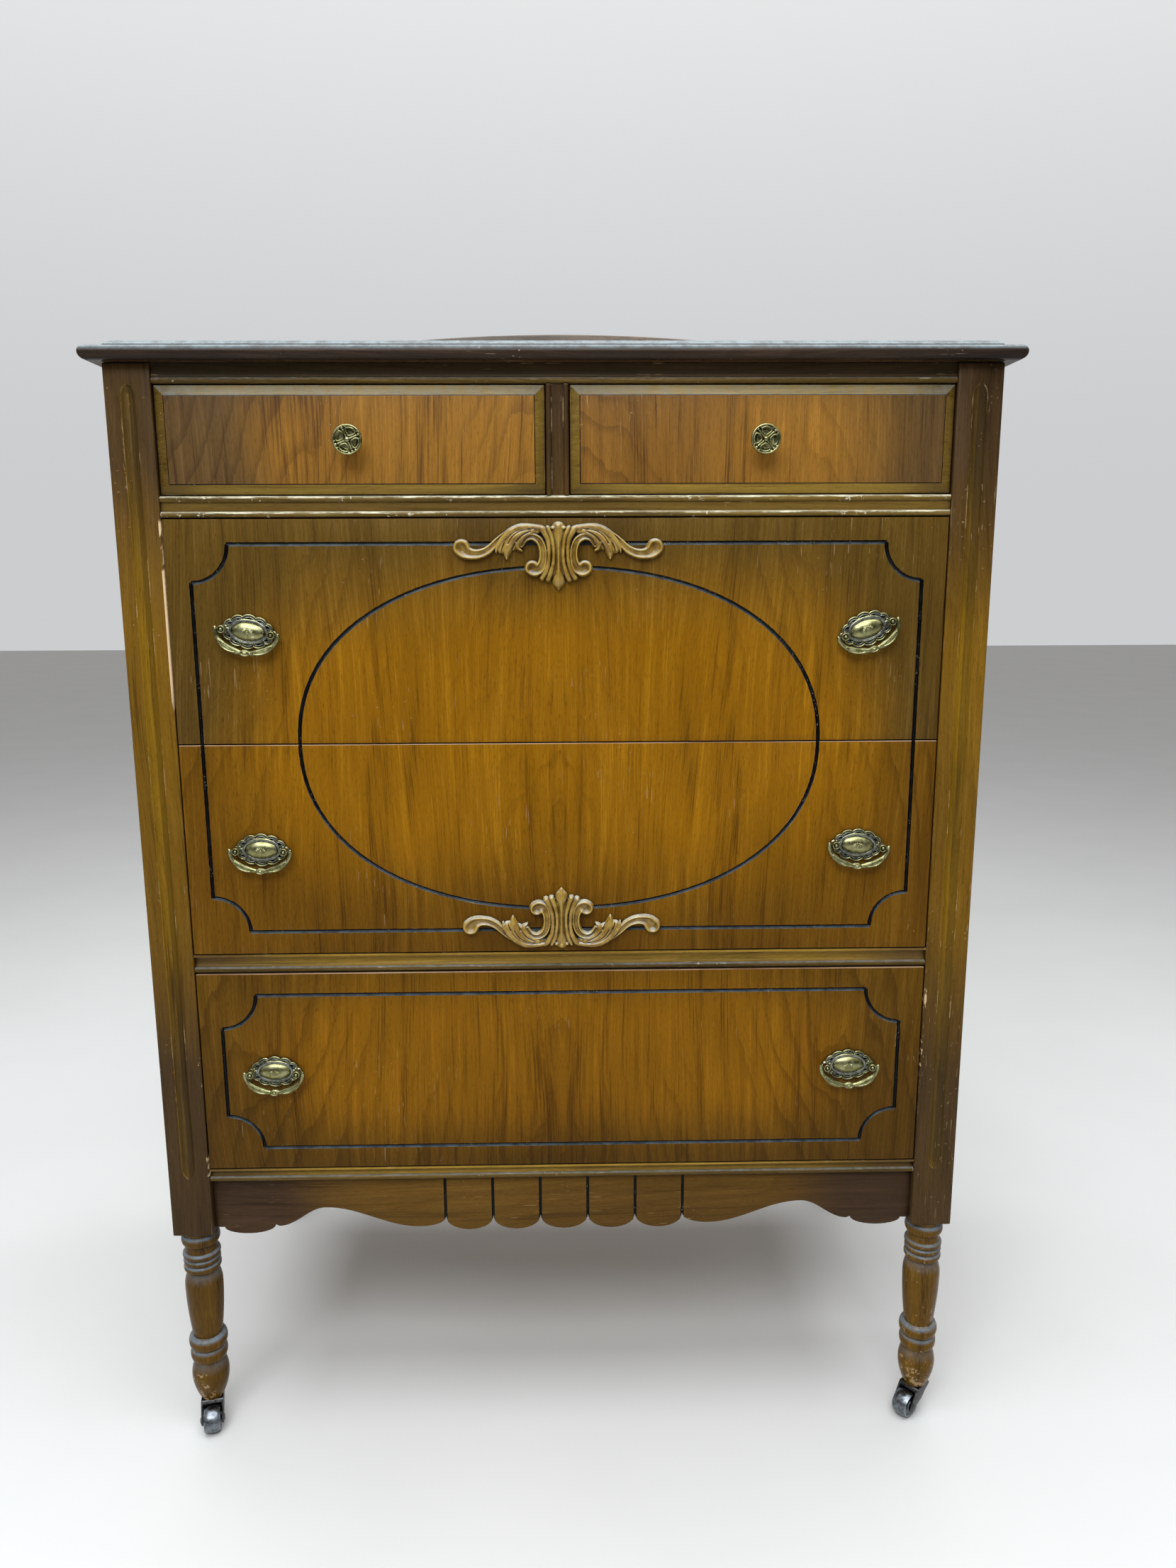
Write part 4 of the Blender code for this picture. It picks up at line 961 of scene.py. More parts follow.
@dataclass(frozen=True)
class WoodFinish:
    """A stained and lacquered wood, with its grain and wear, darker hollows that are partly old polish and
    partly painted shade, and a partly painted sheen on its upper faces.
    """

    name: str
    dark: Color
    mid: Color
    light: Color
    run: GrainRun = GrainRun.UPRIGHT
    figure: float = 0.5
    slant: float = 0.16
    seed: float = 0.0
    matched: bool = False
    stray: float = 0.16
    gloss: float = 0.40
    gloss_spread: float = 0.07
    shine: float = 0.16
    raw: Color = (0.42, 0.27, 0.12)
    wear_width: float = 0.0018
    wear_amount: float = 0.42
    wear_breakup: float = 26.0
    scuff_amount: float = 0.5
    scuff_scale: float = 1.0
    chips: float = 0.0
    scarred_below: float = 0.0
    scarred_chips: float = 0.9
    crest: float = 0.0
    bare_edge: BareEdge | None = None
    # darker hollows: partly old polish, partly painted shade
    grime_reach: float = 0.008
    shade_grime_breakup: float = 70.0
    shade_grime_color: Color = (0.012, 0.007, 0.004)
    grime_amount: float = 0.75
    burst: Burst | None = None
    haze: SheenAndDust | None = None
    bump: float = 0.12
    bump_depth: float = 0.0006
    ripple: float = 0.0

    def make(self, effects: Effects) -> Material:
        """Builds the material.

        Args:
            effects: The shared shader groups.

        Returns:
            The material.
        """
        made, graph, shader = new_finish(self.name)
        place = graph.object_place()
        whole = along = graph.stretch(place, (1.0, 1.0, 1.0), self.run.value)
        if self.matched:
            stray = graph.sideways(graph.drawn(whole, 0.22, 3.0, 1.0), self.stray)
            along = graph.vector("ADD", graph.vector("ABSOLUTE", whole), stray)
        stains = {"Dark": self.dark, "Mid": self.mid, "Light": self.light}
        pattern = {"Figure": self.figure, "Slant": self.slant, "Seed": self.seed}
        grain = graph.use(effects.grain, {"Vector": along, **stains, **pattern})
        color = grain["Color"]
        # toned darker towards the edges; the blue-heavy multiplier also paints a bluish sheen there
        if self.burst:
            color = self.burst.over(graph, effects, place, color)
        # darker in corners and hollows by how closed in they are: partly old polish, partly painted shade
        reach = {"Reach": self.grime_reach, "Breakup": self.shade_grime_breakup}
        shade_and_dirt = graph.use(effects.grime, {"Vector": place, **reach})["Mask"]
        color = graph.blend(graph.times(shade_and_dirt, self.grime_amount), color, self.shade_grime_color)
        # painted sheen and highlights on faces that look upwards, partly a settled film
        if self.haze:
            color = self.haze.over(graph, effects, place, color)
        bare = self.bare_wood(graph, effects, place, whole)
        # pale upper front of beads: partly worn, partly a painted highlight
        if self.crest:
            ridge = graph.use(effects.ridge, {"Vector": along, "Amount": self.crest})
            bare = graph.most(bare, ridge["Mask"])
        if self.bare_edge:
            bare = self.bare_edge.over(graph, place, bare)
        low, high = self.gloss - self.gloss_spread, self.gloss + self.gloss_spread
        gloss = graph.total((graph.span(grain["Sheen"], 0.3, 0.7, low, high), 1.0), (bare, 0.2))
        relief = graph.total((grain["Height"], 1.0), (bare, -0.8))
        if self.ripple:
            relief = graph.total((relief, 1.0), (graph.drawn(along, 0.3, 230.0, 2.0), self.ripple))
        normal = graph.bump(self.bump, self.bump_depth, relief)
        look = {"Base Color": graph.blend(bare, color, self.raw), "Roughness": gloss, "Normal": normal}
        graph.feed(shader, {**look, "Specular IOR Level": self.shine})
        return made

    def bare_wood(self, graph: Graph, effects: Effects, place: Socket, whole: Socket) -> Socket:
        """The mask of rubbed edges, scratches and chips.

        Args:
            graph: The finish's nodes.
            effects: The shared shader groups.
            place: The place on the piece.
            whole: The same place, turned with the grain.

        Returns:
            The mask.
        """
        edges = {"Width": self.wear_width, "Amount": self.wear_amount, "Breakup": self.wear_breakup}
        rub = graph.use(effects.wear, {"Vector": place, **edges})
        chips: float | Socket = self.chips
        if self.scarred_below:
            start, most = self.scarred_below, self.chips + self.scarred_chips
            chips = graph.span(graph.axes(whole)[2], start, 0.8 * start, self.chips, most)
        sizes = {"Amount": self.scuff_amount, "Scale": self.scuff_scale, "Chips": chips}
        return graph.most(rub["Mask"], graph.use(effects.scuffs, {"Vector": whole, **sizes})["Mask"])


@dataclass(frozen=True)
class CastFinish:
    """A metal or gilt cast: bright on its high places and dark in its hollows."""

    name: str
    hollow: Color
    body: Color
    crest: Color
    metallic: float
    gloss: float
    reach: float
    breakup: float
    gloss_spread: float = 0.07
    shine: float = 0.5
    bump: float = 0.08
    bump_depth: float = 0.0004
    grain_scale: float = 900.0
    crest_span: Flat = (0.52, 0.60)
    haze: SheenAndDust | None = None

    def make(self, effects: Effects) -> Material:
        """Builds the material.

        Args:
            effects: The shared shader groups.

        Returns:
            The material.
        """
        made, graph, shader = new_finish(self.name)
        place = graph.object_place()
        colors = {"Hollow": self.hollow, "Body": self.body, "Crest": self.crest}
        sizes = {"Reach": self.reach, "Breakup": self.breakup}
        crests = {"Crest From": self.crest_span[0], "Crest To": self.crest_span[1]}
        cast = graph.use(effects.cast, {"Vector": place, **colors, **sizes, **crests})
        # painted sheen on faces that look upwards, partly a settled film
        color = self.haze.over(graph, effects, place, cast["Color"]) if self.haze else cast["Color"]
        low, high = self.gloss - self.gloss_spread, self.gloss + self.gloss_spread
        gloss = graph.total((graph.span(cast["Patina"], 0.3, 0.7, low, high), 1.0), (cast["Dark"], 0.25))
        normal = graph.bump(self.bump, self.bump_depth, graph.noise(place, self.grain_scale, 3.0, 0.6))
        look = {"Base Color": color, "Roughness": gloss, "Normal": normal}
        graph.feed(shader, {**look, "Metallic": self.metallic, "Specular IOR Level": self.shine})
        return made


@dataclass(frozen=True)
class LineFinish:
    """The black lacquer in the incised lines, with pale chips where it has flaked, and a painted bluish
    highlight on their lower lips.
    """

    name: str = "incised_black"
    ink: Color = (0.0010, 0.0011, 0.0015)
    worn: Color = (0.005, 0.005, 0.006)
    chip: Color = (0.46, 0.36, 0.22)
    chipped: tuple[float, float, float] = (0.8, 2.4, 0.5)
    # bluish-grey on the upward lower lips of the lines: painted highlight, partly a settled film
    haze: SheenAndDust = SheenAndDust(0.65, (0.135, 0.165, 0.185), (0.10, 0.60))
    gloss: Flat = (0.24, 0.47)
    shine: float = 0.10
    bump: float = 0.25
    bump_depth: float = 0.0005

    def make(self, effects: Effects) -> Material:
        """Builds the material.

        Args:
            effects: The shared shader groups.

        Returns:
            The material.
        """
        made, graph, shader = new_finish(self.name)
        place = graph.object_place()
        color = graph.blend(graph.span(graph.noise(place, 60.0, 3.0), 0.45, 0.75), self.ink, self.worn)
        color = self.haze.over(graph, effects, place, color)
        sizes = dict(zip(("Amount", "Scale", "Chips"), self.chipped))
        marks = graph.use(effects.scuffs, {"Vector": place, **sizes})
        gloss = graph.span(graph.noise(place, 45.0, 3.0), 0.3, 0.7, *self.gloss)
        normal = graph.bump(self.bump, self.bump_depth, graph.noise(place, 420.0, 3.0))
        look = {"Base Color": graph.blend(marks["Mask"], color, self.chip), "Roughness": gloss}
        graph.feed(shader, {**look, "Normal": normal, "Specular IOR Level": self.shine})
        return made


class Slot(Enum):
    """The record's material slots."""

    DARK = "dark_walnut"
    VENEER = "walnut_veneer"
    PALE = "pale_wood"
    GILT = "gilt_carving"
    BRASS = "old_brass"
    STEEL = "dark_steel"


def tones(dark: Color, mid: Color, light: Color, **others: object) -> dict[str, object]:
    """The three stains of a wood in linear light, with other fields of its finish."""
    return {"dark": dark, "mid": mid, "light": light, **others}


class PaintShop:
    """Every finish on the chest, made from the shared effects."""

    def __init__(self) -> None:
        """Makes the effects and then the finishes."""
        self.effects = Effects()
        self.stain_posts()
        self.stain_case()
        self.stain_rails()
        self.stain_drawers()
        self.stain_boards()
        self.cast_metals()

    def wood(self, name: str, *shared: dict[str, object], **own: object) -> Material:
        """Makes one wood finish from shared fields and its own."""
        return WoodFinish(name, **reduce(or_, (*shared, own))).make(self.effects)

    def cast(self, name: str, **own: object) -> Material:
        """Makes one cast finish."""
        return CastFinish(name, **own).make(self.effects)

    def stain_posts(self) -> None:
        """Makes the finishes of the posts and legs."""
        # the posts are made darker towards the bottom and the top, and the blue-heavy multiplier paints a
        # bluish sheen there
        post = tones(
            (0.074, 0.037, 0.003), (0.166, 0.082, 0.006), (0.238, 0.121, 0.011), figure=0.25, shine=0.08,
            burst=Burst((0.0, 0.81), (10.0, 0.42), (0.38, 0.41, 1.7))
        )
        self.post = self.wood(
            "post_walnut", post, wear_amount=0.47, scuff_amount=0.25, raw=(0.60, 0.42, 0.24),
            bare_edge=BareEdge(0.4194)
        )
        self.rear_post = self.wood("rear_post_walnut", post, seed=1.3, wear_amount=0.44)
        # a lighter copy for one wall of each flute, beside the darker shade copy below: painted light and
        # painted shade
        self.flute = self.wood(
            "flute_lit_walnut", post, mid=(0.230, 0.120, 0.006), light=(0.330, 0.178, 0.011), wear_amount=0.66,
            wear_width=0.0026, wear_breakup=18.0, raw=(0.34, 0.190, 0.022), grime_reach=0.006
        )
        self.flute_shade = self.wood(
            "flute_shade_walnut", post, mid=(0.146, 0.077, 0.005), light=(0.212, 0.114, 0.009),
            grime_reach=0.006
        )
        leg = tones((0.030, 0.013, 0.001), (0.114, 0.055, 0.004), (0.180, 0.090, 0.007), figure=0.15)
        # the bluish colour on faces that look upwards paints the highlights on the leg's beads
        self.leg = self.wood(
            "leg_walnut", leg, gloss=0.24, shine=0.10, wear_amount=0.47, wear_width=0.0022,
            wear_breakup=60.0, scuff_amount=1.0, scuff_scale=0.8, chips=0.7, scarred_below=0.088,
            raw=(0.34, 0.225, 0.115), haze=SheenAndDust(0.72, (0.19, 0.25, 0.30), (0.10, 0.62))
        )

    def stain_case(self) -> None:
        """Makes the finishes of the top, the sides and the apron."""
        walnut = tones((0.052, 0.027, 0.005), (0.130, 0.068, 0.010), (0.190, 0.100, 0.016), figure=0.3)
        self.across = self.wood("cross_walnut", walnut, run=GrainRun.ACROSS)
        self.deep = self.wood("side_walnut", walnut, seed=3.1, wear_amount=0.3)
        top = tones((0.012, 0.008, 0.006), (0.032, 0.020, 0.013), (0.056, 0.036, 0.022), figure=0.35)
        # the bluish colour on the upper half of the nose and the field's edge is painted sheen, partly a
        # settled film
        self.top = self.wood(
            "top_walnut", top, run=GrainRun.ACROSS, gloss=0.20, shine=0.10, wear_amount=0.40,
            raw=(0.40, 0.33, 0.25), haze=SheenAndDust(0.70, (0.205, 0.250, 0.270), (0.10, 0.80))
        )
        level = tones((0.024, 0.012, 0.004), (0.062, 0.033, 0.011), (0.104, 0.058, 0.020), figure=0.45)
        # the grey on the upward field is partly a settled film, partly painted sheen
        self.field = self.wood(
            "field_walnut", level, run=GrainRun.ACROSS, gloss=0.26, shine=0.25, wear_amount=0.36,
            haze=SheenAndDust(0.22, (0.16, 0.15, 0.13))
        )
        shaded = tones((0.018, 0.010, 0.003), (0.044, 0.026, 0.008), (0.070, 0.042, 0.014), figure=0.2)
        self.shaded = self.wood("shaded_walnut", shaded, run=GrainRun.ACROSS)
        apron = tones((0.058, 0.029, 0.005), (0.120, 0.060, 0.010), (0.165, 0.084, 0.014), figure=0.2)
        # toned darker towards the ends; the blue-heavy multiplier paints a bluish sheen there
        self.apron = self.wood(
            "apron_walnut", apron, run=GrainRun.ACROSS, shine=0.06, wear_amount=0.36,
            burst=Burst((0.0, 0.30), (0.37, 10.0), (0.48, 0.52, 1.5))
        )

    def stain_rails(self) -> None:
        """Makes the finishes of the rails and their beads."""
        shared = {"run": GrainRun.ACROSS, "figure": 0.15, "shine": 0.10, "grime_amount": 0.92}
        rail = tones((0.088, 0.049, 0.007), (0.168, 0.098, 0.017), (0.265, 0.162, 0.031))
        self.rail = self.wood("rail_walnut", shared, rail, grime_reach=0.010, scuff_amount=1.0)
        cove = tones((0.130, 0.078, 0.010), (0.290, 0.172, 0.024), (0.420, 0.262, 0.042))
        # toned darker towards the ends; the relatively blue multiplier paints a bluish sheen there
        toned = Burst((0.0, 0.80), (0.43, 10.0), (0.48, 0.46, 0.9))
        self.cove = self.wood("cove_walnut", shared, cove, grime_reach=0.006, burst=toned)
        shared = {
            "run": GrainRun.ACROSS, "figure": 0.2, "gloss": 0.34, "wear_width": 0.0022, "wear_amount": 0.44,
            "wear_breakup": 55.0, "grime_reach": 0.005, "ripple": 3.5, "bump": 0.35
        }
        # the upper rail's bead: its very pale bare wood, its pale upper front and its pale upward colour
        # paint the bright highlight along it, on top of real wear
        bright = tones((0.070, 0.040, 0.006), (0.165, 0.100, 0.016), (0.290, 0.190, 0.042))
        self.bead = self.wood(
            "worn_highlit_bead", shared, bright, shine=0.14, raw=(0.70, 0.66, 0.50), crest=0.52, chips=0.8,
            haze=SheenAndDust(0.60, (0.56, 0.54, 0.39))
        )
        # a darker copy of the bead finish for beads that lie more in shade: painted shade, with a bluish
        # painted sheen on their upward faces
        in_shade = tones((0.040, 0.022, 0.004), (0.092, 0.054, 0.010), (0.165, 0.104, 0.024))
        self.shaded_bead = self.wood(
            "shaded_bead", shared, in_shade, shine=0.10, raw=(0.46, 0.42, 0.33), crest=0.40, chips=0.5,
            haze=SheenAndDust(0.55, (0.19, 0.21, 0.21))
        )

    def stain_drawers(self) -> None:
        """Makes the finishes of the drawer fronts."""
        veneer = {
            "gloss": 0.42, "scuff_amount": 0.24, "wear_amount": 0.39, "wear_width": 0.0013,
            "raw": (0.52, 0.36, 0.22), "grime_amount": 0.6
        }
        amber = tones((0.112, 0.044, 0.002), (0.268, 0.113, 0.003), (0.392, 0.174, 0.006))
        russet = tones((0.088, 0.034, 0.002), (0.196, 0.081, 0.003), (0.286, 0.121, 0.005), slant=0.22)
        umber = tones((0.095, 0.040, 0.008), (0.252, 0.113, 0.015), (0.360, 0.165, 0.023))
        pair, bottom = ((0.0, 0.8584), (0.42, 0.255)), ((0.0, 0.490), (0.42, 0.150))
        # each front is toned darker towards its edges; the blue in the multipliers paints the bluish sheen
        # on the upper edges
        self.long = {
            drawer: self.wood(
                f"{drawer.split('_')[0]}_veneer", veneer, wood, figure=0.46, shine=0.05, seed=seed,
                matched=True, burst=Burst(*place, tone_and_sheen)
            )
            for drawer, wood, seed, place,
            tone_and_sheen in (
                ("upper_long_drawer", amber, 2.9, pair, (0.37, 0.47, 2.6)),
                ("lower_long_drawer", amber, 2.9, pair, (0.49, 0.50, 1.1)),
                ("bottom_drawer", russet, 1.7, bottom, (0.50, 0.56, 1.4))
            )
        }
        # toned darker towards the edges, with a blue-heavy multiplier that paints a bluish sheen
        self.small = {
            hand: self.wood(
                f"top_{hand}_veneer", veneer, umber, figure=0.40, shine=0.12, seed=seed, slant=slant,
                burst=Burst((x, 1.170), (half, 0.120), (0.38, 0.46, 1.1))
            )
            for hand, seed, slant, x,
            half in (("left", 4.3, -0.50, -0.030, 0.350), ("right", 6.1, 0.60, 0.050, 0.360))
        }
        border = tones((0.130, 0.076, 0.008), (0.275, 0.168, 0.022), (0.400, 0.252, 0.040), figure=0.2)
        # the pale upward colour on the top slope of each border paints its bluish highlight
        self.border = {
            hand: self.wood(
                f"{hand}_border_walnut", border, run=GrainRun.ACROSS, gloss=0.28, shine=0.14,
                burst=Burst((x, 1.170), (0.215, 10.0), (0.50, 0.48, 0.6)),
                haze=SheenAndDust(0.50, (0.18, 0.19, 0.165), (0.10, 0.27))
            )
            for hand, x in (("left", -0.205), ("right", 0.205))
        }
        rubbed = tones((0.20, 0.10, 0.050), (0.40, 0.25, 0.150), (0.54, 0.37, 0.25), figure=0.1)
        self.rubbed = self.wood(
            "rubbed_edge", rubbed, run=GrainRun.ACROSS, scuff_amount=0.0, grime_amount=0.3
        )
        raw = tones((0.16, 0.09, 0.035), (0.30, 0.19, 0.085), (0.44, 0.31, 0.16), figure=0.2)
        self.raw = self.wood("raw_edge", raw, gloss=0.62)
        self.line = LineFinish().make(self.effects)

    def stain_boards(self) -> None:
        """Makes the finishes of the plain boards inside and behind."""
        pale = tones(
            (0.21, 0.125, 0.055), (0.36, 0.235, 0.115), (0.48, 0.34, 0.185), figure=0.35, gloss=0.62,
            wear_amount=0.25, scuff_amount=0.3, grime_amount=0.55
        )
        self.pale_deep = self.wood("pale_wood_deep", pale, run=GrainRun.DEEP)
        self.pale_across = self.wood("pale_wood_across", pale, run=GrainRun.ACROSS, seed=2.2)
        back = tones((0.11, 0.062, 0.026), (0.20, 0.122, 0.055), (0.28, 0.18, 0.085), figure=0.6)
        self.back = self.wood("back_board", back, gloss=0.6, grime_reach=0.05)

    def cast_metals(self) -> None:
        """Makes the finishes of the carvings, the pulls and the casters."""
        # the near-black hollows are painted shade, the pale high places partly painted highlights, and the
        # bluish white on upward faces inside the cups a painted reflection
        self.gilt = self.cast(
            "gilt_wood", hollow=(0.012, 0.006, 0.001), body=(0.170, 0.088, 0.008),
            crest=(0.53, 0.355, 0.085), metallic=0.0, gloss=0.18, reach=0.0045, breakup=90.0,
            crest_span=(0.505, 0.60), haze=SheenAndDust(0.62, (0.62, 0.68, 0.66), (0.42, 0.95))
        )
        self.brass = self.cast(
            "aged_brass", hollow=(0.016, 0.015, 0.008), body=(0.170, 0.160, 0.062),
            crest=(0.52, 0.51, 0.30), metallic=1.0, gloss=0.30, reach=0.0016, breakup=150.0
        )
        dark = {"hollow": (0.006, 0.006, 0.006), "metallic": 1.0, "reach": 0.004}
        # the blue-grey of this body paints in the dim reflection that the pull's rim and ring show
        self.bronze = self.cast(
            "dark_bronze", body=(0.120, 0.125, 0.105), crest=(0.46, 0.47, 0.38), gloss=0.30, breakup=200.0,
            crest_span=(0.515, 0.57), **dark
        )
        self.steel = self.cast(
            "dark_steel_cast", body=(0.034, 0.032, 0.031), crest=(0.170, 0.172, 0.176), gloss=0.32,
            breakup=180.0, **dark
        )
        self.tread = self.cast(
            "worn_steel_tread", body=(0.100, 0.110, 0.125), crest=(0.360, 0.390, 0.430), gloss=0.30,
            breakup=180.0, bump=0.50, grain_scale=420.0, **dark
        )


# Case


@dataclass
class Assembly(ABC):
    """A sub-assembly of the chest and the finishes it is given."""

    paint: PaintShop

    @abstractmethod
    def build(self) -> None:
        """Models the pieces and seats them."""


@dataclass
class TopBoard(Assembly):
    """The top: a bullnosed edge on three sides and a raised field set back from it."""

    nose: float = 0.0150
    nose_round: float = 0.0072
    nose_segments: int = 8
    setback: float = 0.0186
    slope: float = 0.005
    spare: float = 0.040

    def build(self) -> None:
        """Models the board and seats it."""
        low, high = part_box("top_board")
        back = high.y
        nose_top = low.z + self.nose
        top = block("top_board_shaped", low, (high.x, back + self.spare, nose_top))
        with edit_mode(top):
            pick(top, "faces", lambda f: f.normal.z > 0.9)
            bpy.ops.mesh.inset(thickness=self.setback, depth=0.0)
            bpy.ops.mesh.extrude_region_move(
                TRANSFORM_OT_translate={"value": (0.0, 0.0, high.z - nose_top)}
            )
            bpy.ops.mesh.inset(thickness=self.slope, depth=0.0)
        self.hollow_slope(top, high.z)
        with edit_mode(top, "EDGE"):
            pick(top, "edges", lambda e: self.on_nose(e, low, high, nose_top))
            bpy.ops.mesh.bevel(
                offset=self.nose_round, segments=self.nose_segments, profile=0.5, affect="EDGES"
            )
            cut_flat(back)
        wear(top, self.paint.top, self.paint.field)
        dress_faces(top, 1, lambda f: abs(f.normal.z) > 0.99 and f.center.y > low.y + self.setback)
        smooth_shaded(top, 35.0)
        set_in(top, "case", Slot.DARK.value, "top_board")

    def hollow_slope(self, top: Obj, surface: float) -> None:
        """Lowers the outer line of the field, so that its edge slopes.

        Args:
            top: The board.
            surface: Height of the field.
        """
        field_edge = {
            v.index for face in top.data.polygons if face.normal.z > 0.9 and face.center.z > surface - MERGE
            for v in (top.data.vertices[k] for k in face.vertices)
        }
        inner = max((f for f in top.data.polygons if f.center.z > surface - MERGE), key=lambda f: f.area)
        for k in field_edge - set(inner.vertices):
            top.data.vertices[k].co.z -= self.slope * 0.8

    def on_nose(self, edge: bmesh.types.BMEdge, low: Vector, high: Vector, nose_top: float) -> bool:
        """Whether an edge is a level outer edge of the nose.

        Args:
            edge: The edge.
            low: The board's lowest corner.
            high: Its highest corner.
            nose_top: Height of the nose.

        Returns:
            True for the edges to round.
        """
        a, b = (v.co for v in edge.verts)
        level = abs(a.z - b.z) < MERGE and (abs(a.z - low.z) < MERGE or abs(a.z - nose_top) < MERGE)
        front = abs(a.y - low.y) < MERGE and abs(b.y - low.y) < MERGE
        side = abs(abs(a.x) - high.x) < MERGE and abs(a.x - b.x) < MERGE
        return level and (front or side)


@dataclass
class Gallery(Assembly):
    """The low shaped board behind the top."""

    shoulder: float = 0.048
    crest_half: float = 0.205
    crest_radius: float = 2.6
    rise_run: float = 0.105
    corner: float = 0.016
    edge_round: float = 0.003
    steps: int = 18

    def build(self) -> None:
        """Models the board and seats it."""
        low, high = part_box("back_gallery")
        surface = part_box("top_board")[1].z
        points = [(x, low.y, z) for x, z in self.outline(low, high, surface)]
        gallery = plate_of("back_gallery_shaped", points, (0.0, high.y - low.y, 0.0))
        rounded(gallery, self.edge_round, 3, 50.0)
        smooth_shaded(wear(gallery, self.paint.field), 35.0)
        set_in(gallery, "case", Slot.DARK.value, "back_gallery")

    def outline(self, low: Vector, high: Vector, surface: float) -> list[Flat]:
        """The board's outline: two shoulders and a low arch.

        Args:
            low: Lowest corner of the solid.
            high: Highest corner of the solid.
            surface: Height of the top board.

        Returns:
            The (x, z) points.
        """
        shoulder = surface + self.shoulder
        corner = []
        for k in range(self.steps // 2 + 1):
            turn = math.pi * k / self.steps
            x = low.x + self.corner * (1 - math.cos(turn))
            corner.append((x, shoulder - self.corner * (1 - math.sin(turn))))
        arch = []
        for k in range(self.steps + 1):
            x = -self.crest_half * (1 - k / self.steps)
            arch.append((x, high.z - x * x / (2 * self.crest_radius)))
        foot = (-self.crest_half - self.rise_run, shoulder)
        left = [(low.x, low.z), *corner, foot, *swing(foot, arch[0], self.steps)[:-1], *arch]
        return left + [(-x, z) for x, z in reversed(left[:-1])]


class Member(Enum):
    """The shapes in the turning of a leg."""

    BEAD = "bead"
    NECK = "neck"
    VASE = "vase"
    BULB = "bulb"


